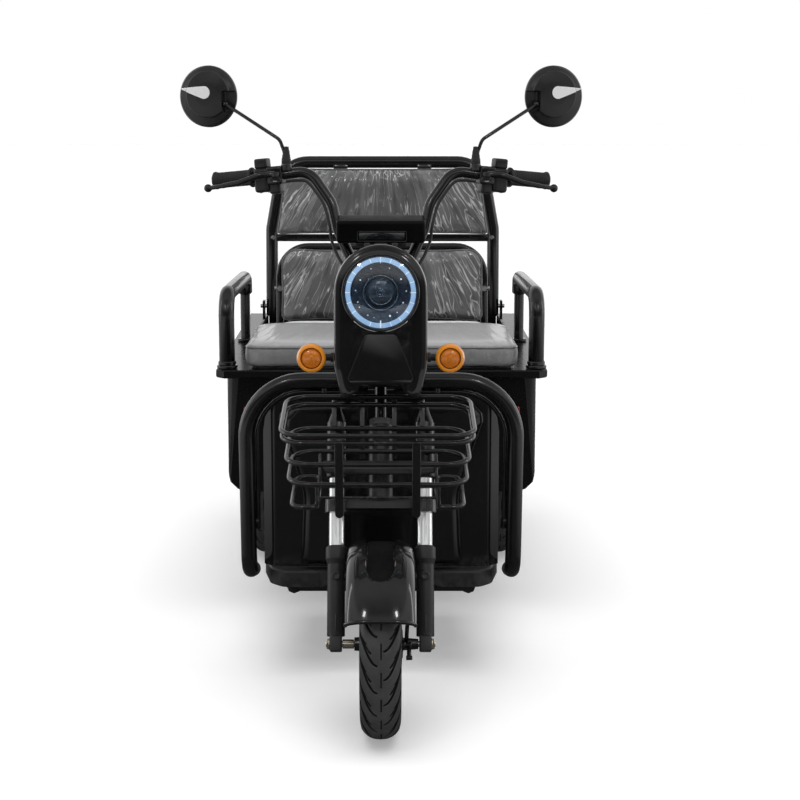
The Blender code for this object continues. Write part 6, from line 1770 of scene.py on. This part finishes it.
def crash_bar():
    path = [
        at(-CRASH_HALF + 0.006, 0.425, 0.222), at(-CRASH_HALF + 0.004, CRASH_BACK, 0.238),
        at(-CRASH_HALF, CRASH_BACK, CRASH_TOP), at(CRASH_HALF, CRASH_BACK, CRASH_TOP),
        at(CRASH_HALF - 0.004, CRASH_BACK, 0.238), at(CRASH_HALF - 0.006, 0.425, 0.222),
    ]
    ends = ((-1, INNER_LOW), (-1, INNER_TOP), (1, INNER_TOP), (1, INNER_LOW))
    inner = [at(INNER_HALF * side, INNER_BACK, z) for side, z in ends]
    parts = [
        sweep(fillet(path, [0, 0.045, 0.12, 0.12, 0.045, 0], 14), CRASH_RADIUS, SATIN, 36),
        sweep(fillet(inner, [0, 0.098, 0.098, 0], 12), 0.005, SATIN, 16),
    ]
    for side in (1, -1):
        parts.append(
            rod(
                at(0.286 * side, CRASH_BACK + 0.002, 0.345), at(0.26 * side, INNER_BACK, 0.345), 0.006,
                SATIN, 20,
            )
        )
        parts.append(
            rod(
                at(0.12 * side, CRASH_BACK + 0.002, CRASH_TOP - 0.004),
                at(0.12 * side, INNER_BACK, 0.622), 0.006, SATIN, 20,
            )
        )
        parts.append(
            rod(
                at((CRASH_HALF - 0.006) * side, 0.4255, 0.2218),
                at((CRASH_HALF - 0.006) * side, 0.429, 0.221), 0.015, GRIP, 32,
            )
        )
    return together("crash_bar_tubes", *parts)


put(crash_bar(), "chassis", "satin_black", "crash_bar")


# Leg shield

SHIELD_HALF = 0.252
SHIELD_BACK = 0.366
SHIELD_TOP = 0.638
SHIELD_BOTTOM = 0.243
PANEL_MIDDLE = 0.43


def leg_shield():
    corner = 0.105
    columns = []
    for k in range(-56, 57):
        x = SHIELD_HALF * k / 56
        reach = max(0.0, abs(x) - (SHIELD_HALF - corner))
        top = SHIELD_TOP - (corner - math.sqrt(corner**2 - reach**2))
        fold = max(0.0, abs(x) - 0.228)
        fold = fold * fold / (fold + 0.002) if fold else 0.0
        columns.append(
            [
                at(x, SHIELD_BACK + fold, SHIELD_BOTTOM + (top - SHIELD_BOTTOM) * t / 12)
                for t in range(13)
            ]
        )
    sheet = sheet_of(columns, GLOSS, SHEET, Vector((0, -1, 0)))
    half = [
        (0.0, 0.25), (0.174, 0.25), (0.172, 0.3), (0.168, 0.4), (0.186, 0.464), (0.218, 0.562),
        (0.216, 0.58), (0.196, 0.602), (0.0, 0.606),
    ]
    corners = mirrored(half)
    radii = [0, 0.012, 0.1, 0.1, 0.12, 0.01, 0.012, 0.014, 0]
    radii += list(reversed(radii[1:-1]))
    outline = fillet(flat(corners), radii, 5, closed=True)
    front = SHIELD_BACK - 0.026
    levels = [
        (0.865, 0.905, front), (0.885, 0.92, front), (0.9, 0.93, front + 0.0006),
        (0.918, 0.942, front + 0.003), (0.975, 0.98, front + 0.0095), (0.99, 0.992, front + 0.015),
        (1.0, 1.0, SHIELD_BACK + 0.0015),
    ]
    loops = []
    for wide, tall, back in levels:
        loops.append(
            [at(p.x * wide, back, PANEL_MIDDLE + (p.y - PANEL_MIDDLE) * tall) for p in outline]
        )
    panel = loft(loops, GLOSS, None, 22)
    for part in (panel, sheet):
        neck_slot = block(at(-0.027, 0.3, 0.395), at(0.027, 0.42, 0.7), None, None, 0.004, 3)
        hollow = block(
            at(-0.15, SHIELD_BACK - 0.018, 0.262), at(0.15, SHIELD_BACK + 0.02, 0.59), None, None,
            0.003, 2,
        )
        cut_away(part, neck_slot, hollow)
    return together("leg_shield_pressed", sheet, panel)


put(leg_shield(), "chassis", "gloss_black", "leg_shield")


# Floor board

RIBS_START, RIB_STEP = 0.5, 0.03


def floor_board():
    """A pressed tray with raised grip ribs, open below, with the two ears that hold the pedal."""
    half = [
        (0.112, 0.45), (0.112, 0.356), (0.13, 0.338), (0.21, 0.338), (0.238, 0.37), (0.255, 0.46),
        (0.255, 0.785),
    ]
    radii = [0.008, 0.012, 0.014, 0.03, 0.04, 0.08, 0.004]
    path = fillet(flat(mirrored(half)), radii + radii[::-1], 8, closed=True)
    top, low = 0.24, 0.204
    loops = []
    for inset, z in (
        (0.007, top), (0.0034, top - 0.0006), (0.001, top - 0.003), (0.0, top - 0.0066), (0.0, low)
    ):
        loops.append([at(q.x, q.y, z) for q in drawn_in(path, inset)])
    parts = [sheet_of(loops, SHEET_PLASTIC, SHEET, Vector((0, 0, 1)), cap=True)]
    for k in range(9):
        back = RIBS_START + RIB_STEP * k
        parts.append(
            block(
                at(-0.1, back, top - 0.0004), at(0.236, back + 0.006, top + 0.0016), SHEET_PLASTIC,
                None, 0.0008, 2,
            )
        )
    hinge = at(-0.17, 0.56, 0.256)
    for x in (-0.02, 0.02):
        ear = block(
            hinge + Vector((x - 0.0025, -0.01, -0.018)), hinge + Vector((x + 0.0025, 0.01, 0.01)),
            FRAME_PAINT, None, 0.001, 2,
        )
        parts.append(
            cut_away(ear, rod(hinge - X * 0.04, hinge + X * 0.04, 0.0073, None, 32, round_by=0))
        )
    return together("floor_board_pressed", *parts)


put(floor_board(), "chassis", "black_plastic", "floor_board")


# Backrest frames and armrests

HOOP_BACK = 1.268
HOOP_HALF, HOOP_TOP, HOOP_FOOT, HOOP_RUNG = 0.2655, 0.248, 0.008, 0.11
PIVOT_UP = 0.14
hoop_place = leaning(at(0, HOOP_BACK, RIM_TOP), -RECLINE)


def driver_hoop():
    corners = [
        (-HOOP_HALF, 0, HOOP_FOOT), (-HOOP_HALF, 0, HOOP_TOP), (HOOP_HALF, 0, HOOP_TOP),
        (HOOP_HALF, 0, HOOP_FOOT),
    ]
    path = [hoop_place @ p for p in fillet(corners, [0, 0.074, 0.074, 0], 12)]
    parts = [sweep(path, 0.0095, SATIN, 24)]
    parts.append(
        rod(
            hoop_place @ Vector((-HOOP_HALF, 0, HOOP_RUNG)),
            hoop_place @ Vector((HOOP_HALF, 0, HOOP_RUNG)),
            0.008, SATIN, 24,
        )
    )
    for side in (1, -1):
        x = HOOP_HALF * side
        parts.append(
            block(
                at(x - 0.02, 1.248, RIM_TOP + 0.0004), at(x + 0.02, 1.288, RIM_TOP + 0.01), SATIN, None,
                0.002, 3,
            )
        )
        inner = hoop_place @ Vector(((HOOP_HALF - 0.006) * side, 0, PIVOT_UP))
        outer = hoop_place @ Vector(((HOOP_HALF + 0.0145) * side, 0, PIVOT_UP))
        parts.append(rod(inner, outer, 0.005, STEEL, 24))
        parts.append(
            bolt(hoop_place @ Vector((x, -0.009, PIVOT_UP)), (0, -1, 0), 0.0046, STEEL, 0.0035)
        )
        for offset in (-0.012, 0.012):
            foot = at(x + offset, HOOP_BACK - math.copysign(0.014, offset), RIM_TOP + 0.0098)
            parts.append(bolt(foot, (0, 0, 1), 0.0036, STEEL, 0.0026))
        tab_x = 0.138 * side
        parts.append(
            block(
                (tab_x - 0.026, -0.0075, 0.232), (tab_x + 0.026, -0.0035, 0.2465), SATIN, hoop_place,
                0.001, 2,
            )
        )
    return together("driver_backrest_hoop", *parts)


put(driver_hoop(), "chassis", "satin_black", "driver_backrest_frame")

REAR_POST_BACK = 1.78
REAR_POST_X = 0.318
REAR_RUNG, REAR_BEND, REAR_TOP, REAR_FOOT = 0.196, 0.222, 0.412, -0.024
REAR_TOP_X = 0.285
REAR_HINGE_Z = 0.64
EAR_OUTER = 0.345
rear_place = leaning(at(0, REAR_POST_BACK, REAR_HINGE_Z), -RECLINE)


def rear_frame():
    corners = [
        (-REAR_POST_X, 0, REAR_FOOT), (-REAR_POST_X, 0, REAR_BEND), (-REAR_TOP_X, 0, REAR_TOP),
        (REAR_TOP_X, 0, REAR_TOP), (REAR_POST_X, 0, REAR_BEND), (REAR_POST_X, 0, REAR_FOOT),
    ]
    path = [rear_place @ p for p in fillet(corners, [0, 0.08, 0.085, 0.085, 0.08, 0], 10)]
    parts = [sweep(path, 0.017, SATIN, 32)]
    parts.append(
        rod(
            rear_place @ Vector((-REAR_POST_X, 0, REAR_RUNG)),
            rear_place @ Vector((REAR_POST_X, 0, REAR_RUNG)),
            0.0105, SATIN, 28,
        )
    )
    for side in (1, -1):
        inner = at((REAR_POST_X + 0.004) * side, REAR_POST_BACK, REAR_HINGE_Z)
        outer = at((EAR_OUTER + 0.007) * side, REAR_POST_BACK, REAR_HINGE_Z)
        parts.append(rod(inner, outer, 0.0058, STEEL, 28))
        parts.append(
            bolt(
                rear_place @ Vector(((REAR_POST_X - 0.004) * side, -0.016, REAR_RUNG)),
                (0, -1, 0), 0.0042, STEEL, 0.003,
            )
        )
        tab_x = 0.12 * side
        parts.append(
            block(
                (tab_x - 0.02, -0.015, 0.384), (tab_x + 0.02, -0.01, 0.404), SATIN, rear_place, 0.001, 2
            )
        )
    return together("rear_backrest_tubes", *parts)


put(rear_frame(), "rear_backrest", "satin_black", "rear_backrest_frame")

ARM_FRONT, ARM_REAR, ARM_TOP = 0.815, 1.282, 0.779

for word, side in SIDES:
    x, rear_x = 0.3645 * side, 0.357 * side
    path = [
        at(x, ARM_FRONT, RIM_TOP + 0.004), at(x, ARM_FRONT - 0.007, ARM_TOP),
        at(rear_x, ARM_REAR - 0.004, ARM_TOP - 0.007), at(rear_x, ARM_REAR, 0.735),
    ]
    parts = [
        sweep(fillet(path, [0, 0.05, 0.03, 0], 10), 0.0185, SATIN, 32),
        rod(at(rear_x, ARM_REAR, RIM_TOP + 0.004), at(rear_x, ARM_REAR, 0.756), 0.0125, SATIN, 28),
    ]
    for start, end, radius in (
        (at(x, ARM_FRONT, RIM_TOP + 0.0004), at(x, ARM_FRONT, RIM_TOP + 0.008), 0.0245),
        (at(rear_x, ARM_REAR, RIM_TOP + 0.0004), at(rear_x, ARM_REAR, RIM_TOP + 0.008), 0.021),
        (at(x, 0.8149, RIM_TOP + 0.008), at(x, 0.8146, RIM_TOP + 0.018), 0.021),
    ):
        parts.append(rod(start, end, radius, SATIN, 40, round_by=0.002))
    put(together(f"{word}_armrest_tubes", *parts), "chassis", "satin_black", f"{word}_armrest")


# Rear springs

RAIL_X = 0.19
SPRING_WIRE = 0.0042
SPRING_LOW, SPRING_HIGH = 0.214 + SPRING_WIRE + 0.0004, 0.379 - SPRING_WIRE - 0.0004
for word, side in SIDES:
    centre = at(RAIL_X * side, WHEELBASE, 0)
    coils = []
    turns, per_turn = 5, 28
    for k in range(turns * per_turn + 1):
        a = math.tau * k / per_turn
        rise = SPRING_LOW + (SPRING_HIGH - SPRING_LOW) * k / (turns * per_turn)
        coils.append(centre + turned(0.0295, a, rise))
    spring = put(
        sweep(coils, SPRING_WIRE, STEEL, 14, name=f"{word}_coil_spring"),
        "chassis", "chrome", f"{word}_rear_spring",
    )
    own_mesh(spring)


# The exact meshes that need only their finish

for finish, nodes in (
    (FRAME_PAINT, ("main_frame", "rear_axle")),
    (CASE, ("battery",)),
    (SATIN, ("fork_crown", "brake_pedal")),
    (BODY, ("body_shell", "tailgate")),
    (SHEET_PLASTIC, ("cargo_floor",)),
    (RED, ("tail_light_bar", "horn_button")),
    (PLASTIC, ("driver_seat_pan",)),
    (STEEL, ("ignition_key",)),
    (GOLD, ("light_switch",)),
):
    for node in nodes:
        refine(node, finish)

for word, side in SIDES:
    near, far = at(0.3105 * side, 0.792, 0.49), at(0.3255 * side, 0.7985, 0.516)
    put(block(near, far, RED, None, 0.0015, 3, name=f"{word}_body_reflector"), "chassis", "red_lens")


# Cushions: stuffed covers, simulated, with welted edges and a creased film


def pad_outline(half, depth, corner, taper, inset):
    """A rounded oblong whose sides draw in between the corners, narrower towards +Y by the taper."""
    wide, deep = half - inset, depth - inset
    corners = [(-wide, -deep), (wide, -deep), (wide, deep), (-wide, deep)]
    radii = [corner[0], corner[0], corner[1], corner[1]]
    radii = [max(0.006, r - inset) for r in radii]
    rounded = fillet(flat(corners), radii, 10, closed=True)
    dense = []
    for i, p in enumerate(rounded):
        q = rounded[(i + 1) % len(rounded)]
        cuts = max(1, int((q - p).length / 0.012))
        dense += [p.lerp(q, k / cuts) for k in range(cuts)]
    made = []
    for p in dense:
        u, v = p.x / wide, p.y / deep
        x = p.x * (1 - 0.01 * (1 - v * v) * abs(u) ** 6)
        y = p.y * (1 - 0.02 * (1 - u * u) * abs(v) ** 6)
        rise = max(0.0, (y + depth) / (2 * depth))
        made.append(Vector((x * (1 - taper * rise), y, 0)))
    return made


def pad_form(name, half, depth, thickness, corner, taper, crown):
    """The plain stuffed form that the simulation starts from."""
    levels = [(0.0085, 0.0), (0.003, 0.06), (0.0012, 0.28), (0.0, 0.62), (0.0014, 0.86), (0.0075, 1.0)]
    base = pad_outline(half, depth, corner, taper, 0.001)
    count = len(base)
    loops = []
    for inset, level in levels:
        loops.append([Vector((q.x, q.y, thickness * level)) for q in drawn_in(base, inset)])
    rim = loops[-1]
    for share in (0.93, 0.82, 0.66, 0.45, 0.22):
        loops.append(
            [Vector((p.x * share, p.y * share, thickness + crown * (1 - share**4))) for p in rim]
        )
    verts = [p for loop in loops for p in loop] + [Vector((0, 0, thickness + crown)), Vector()]
    faces = quads(len(loops), count)
    last = (len(loops) - 1) * count
    for k in range(count):
        faces.append((last + k, last + (k + 1) % count, len(verts) - 2))
        faces.append(((k + 1) % count, k, len(verts) - 1))
    return from_lists(verts, faces, None, name=name)


def folds(x, y, spread, seed):
    """The height of the loose film's folds at a place: thin ridges that fan out from the +Y edge."""
    fan = x / (1 + spread * (0.1 - y))
    value = 0.0
    for scale, lean, share in ((30.0, 1.6, 1.0), (46.0, -2.4, 0.7), (80.0, 3.0, 0.35)):
        level = noise.noise(Vector((fan * scale + y * lean, y * 2.2 * share + seed, seed + scale)))
        value += share * max(0.0, 1 - abs(level) * 4.2) ** 2
    gate = noise.noise(Vector((x * 7 + seed, y * 11, 3.1 * seed)))
    return value * max(0.0, min(1.0, 0.55 + gate * 1.4))


UPRIGHT = math.radians(90)
CUSHIONS = [
    # Name, node, body, (half width, half depth, thickness, lower and upper corner radii, taper),
    # crown, spread and seed of the folds, place
    (
        "driver_seat_stuffed", "driver_seat_cushion", "driver_seat",
        (0.327, 0.2055, 0.052, (0.04, 0.05), 0.0),
        0.011, 0.4, 1.7,
        Matrix.Translation(at(0, 0.9905, RIM_TOP + 0.0049)),
    ),
    (
        "driver_backrest_stuffed", "driver_backrest_pad", "chassis",
        (0.265, 0.0955, 0.042, (0.02, 0.046), 0.0),
        0.01, 3.2, 4.3,
        hoop_place @ leaning((0, -0.0102, 0.15), UPRIGHT),
    ),
    (
        "rear_seat_stuffed", "rear_seat_cushion", "chassis",
        (0.3, 0.19, 0.048, (0.04, 0.05), 0.0),
        0.01, 0.4, 7.9, Matrix.Translation(at(0, 1.535, 0.5524)),
    ),
    (
        "rear_backrest_stuffed", "rear_backrest_pad", "rear_backrest",
        (0.306, 0.0975, 0.04, (0.012, 0.044), 0.07),
        0.01, 3.6, 11.3,
        rear_place @ leaning((0, -0.018, 0.2995), UPRIGHT),
    ),
]


WELT_LEVEL = 0.9
WELT_INSET = 0.003
SWELL_LIMIT = 0.0035
CLOTH_FRAMES = 20


def simulate(covers):
    """Blows the covers up a little as cloth, all at once, and keeps a small part of the swell."""
    starts = [[v.co.copy() for v in cover.data.vertices] for cover in covers]
    for cover in covers:
        cloth = cover.modifiers.new("cloth", "CLOTH")
        cloth.settings.quality = 4
        cloth.settings.mass = 0.4
        cloth.settings.tension_stiffness = 12
        cloth.settings.compression_stiffness = 12
        cloth.settings.bending_stiffness = 0.4
        cloth.settings.use_pressure = True
        cloth.settings.uniform_pressure_force = 4.0
        cloth.settings.effector_weights.gravity = 0.0
        cloth.point_cache.frame_start = 1
        cloth.point_cache.frame_end = CLOTH_FRAMES
    for frame_number in range(1, CLOTH_FRAMES + 1):
        scene.frame_set(frame_number)
    graph = bpy.context.evaluated_depsgraph_get()
    for cover, start in zip(covers, starts):
        blown = cover.evaluated_get(graph).data
        ends = [v.co.copy() for v in blown.vertices]
        cover.modifiers.clear()
        for vertex, first, last in zip(cover.data.vertices, start, ends):
            move = last - first
            if move.length > SWELL_LIMIT:
                move = move.normalized() * SWELL_LIMIT
            if move.z < 0 and first.z < 0.002:
                move.z = 0.0
            vertex.co = first + move
        cover.data.update()
    scene.frame_set(1)


def cushions():
    covers = []
    for name, _, _, shape, crown, *_ in CUSHIONS:
        cover = pad_form(name, *shape, crown - 0.002)
        remesh = cover.modifiers.new("remesh", "REMESH")
        remesh.mode = "VOXEL"
        remesh.voxel_size = 0.005
        soften = cover.modifiers.new("soften", "SMOOTH")
        soften.factor = 0.5
        soften.iterations = 5
        covers.append(settle(cover))
    simulate(covers)
    for cover, (name, node, body, shape, _, spread, seed, place) in zip(covers, CUSHIONS):
        half, depth, thickness, corner, taper = shape
        finer = cover.modifiers.new("finer", "SUBSURF")
        finer.levels = finer.render_levels = 1
        settle(cover)
        welt_level = thickness * WELT_LEVEL
        route = []
        for q in drawn_in(pad_outline(half, depth, corner, taper, 0.001), WELT_INSET):
            _, spot, normal, _ = cover.closest_point_on_mesh(Vector((q.x, q.y, welt_level)))
            route.append(spot + normal * 0.0003)
        height = []
        for vertex in cover.data.vertices:
            p, normal = vertex.co, vertex.normal
            top = max(0.0, min(1.0, (p.z / thickness - 0.55) / 0.3))
            fold = folds(p.x, p.y, spread, seed) * top
            side = (1 - top) * folds(p.x * 0.6 + p.y * 0.6, p.z * 3, 0.2, seed + 2.0) * min(
                1.0, max(0.0, p.z / 0.012)
            )
            edge = math.exp(-((abs(p.z - welt_level) / 0.0028) ** 2)) if normal.z < 0.9 else 0.0
            height.append((normal.copy(), 0.0011 * fold + 0.0008 * side - 0.001 * edge))
        for vertex, (normal, rise) in zip(cover.data.vertices, height):
            vertex.co += normal * rise
        cover.data.update()
        cover.data.materials.clear()
        cover.data.materials.append(
            wrapped_vinyl(f"{name}_cover", spread, body == "driver_seat" or node == "rear_seat_cushion")
        )
        cover.data.shade_smooth()
        cover.matrix_world = place
        welt = sweep(
            [place @ p for p in smooth_route(route[::3], 3, closed=True)],
            0.0021, WELT, 10, closed=True, name=f"{name}_welt",
        )
        put(cover, body, "grey_vinyl", node)
        put(welt, body, "grey_vinyl")


cushions()


# Stage: a white floor and plain soft light; polished pieces see a darker room in front


sky = Nodes(bpy.data.worlds.new("studio"))
scene.world = sky.made
sky.tree.nodes.clear()
ray = sky.node("ShaderNodeLightPath").outputs
_, back, up = sky.split(sky.value("ShaderNodeTexCoord", out="Generated"))
depth = sky.spread(back, -0.8, 0.25, ROOM_FRONT, 1.0)
ceiling = sky.spread(up, 0.15, 0.8, 1.0, sky.spread(back, -0.3, 0.3, 0.85, 0.22))
window = sky.times(sky.spread(up, 0.25, 0.42, 0.0, 0.7), sky.spread(up, 0.62, 0.82, 1.0, 0.0))
room = sky.greatest(sky.times(depth, ceiling), window)
seen = sky.greatest(ray["Is Glossy Ray"], ray["Is Transmission Ray"])
polished = sky.value("ShaderNodeMix", {0: seen, 2: WORLD_LIGHT, 3: room})
level = sky.value("ShaderNodeMix", {0: ray["Is Camera Ray"], 2: polished, 3: 1.0})
glow = sky.node("ShaderNodeBackground", {"Color": (1, 1, 1, 1), "Strength": level})
sky.node("ShaderNodeOutputWorld", {0: glow.outputs[0]})

corners = [(-40, -40, 0), (40, -40, 0), (40, 40, 0), (-40, 40, 0)]
floor = from_lists(corners, [(0, 1, 2, 3)], None, turn=False, name="studio_floor")
ground = Nodes(bpy.data.materials.new("studio_floor_white"))
ground.tree.nodes.clear()
ray = ground.node("ShaderNodeLightPath").outputs
clear = ground.greatest(ray["Is Camera Ray"], ray["Is Transmission Ray"])
aside = ground.math("ABSOLUTE", ground.split(ground.value("ShaderNodeTexCoord", out="Object"))[0])
glossy = ground.times(ray["Is Glossy Ray"], ground.spread(aside, 0.8, 2.4, FLOOR_SHEEN, 0.6))
glow = ground.node(
    "ShaderNodeEmission", {"Strength": ground.math("MULTIPLY_ADD", clear, FLOOR_GLOW, glossy)}
)
tone = ground.mix(ray["Is Glossy Ray"], (FLOOR_TONE,) * 3, (0.05, 0.05, 0.05))
matt = ground.node("ShaderNodeBsdfDiffuse", {"Color": tone})
both = ground.node("ShaderNodeAddShader", {0: matt.outputs[0], 1: glow.outputs[0]})
ground.node("ShaderNodeOutputMaterial", {0: both.outputs[0]})
floor.data.materials.append(ground.made)


def lamp(name, kind, location, target, power, **settings):
    """A lamp looking at a point."""
    data = bpy.data.lights.new(name, kind)
    for key, value in settings.items():
        setattr(data, key, value)
    data.energy = power
    made = bpy.data.objects.new(name, data)
    scene.collection.objects.link(made)
    made.matrix_world = facing(location, Vector(location) - Vector(target))
    return made


lamp("high_soft_light", "SUN", (0, -1.2, 5.0), (0, 0, 0), SUN, angle=SUN_SPREAD).visible_glossy = False
FRONT_LAMPS, RIM_LAMPS = 9, 8
for side in (1, -1):
    lamp(
        f"front_light_{side}", "AREA", (1.5 * side, -3.6, 3.4), (0, -1.0, 0.3), FRONT_LAMPS,
        shape="RECTANGLE", size=0.3, size_y=0.45,
    )
    lamp(
        f"rim_light_{side}", "AREA", (3.4 * side, 0.2, 1.4), (0, -0.3, 0.7), RIM_LAMPS,
        shape="RECTANGLE", size=0.4, size_y=2.4,
    )

scene.view_settings.view_transform = "Standard"
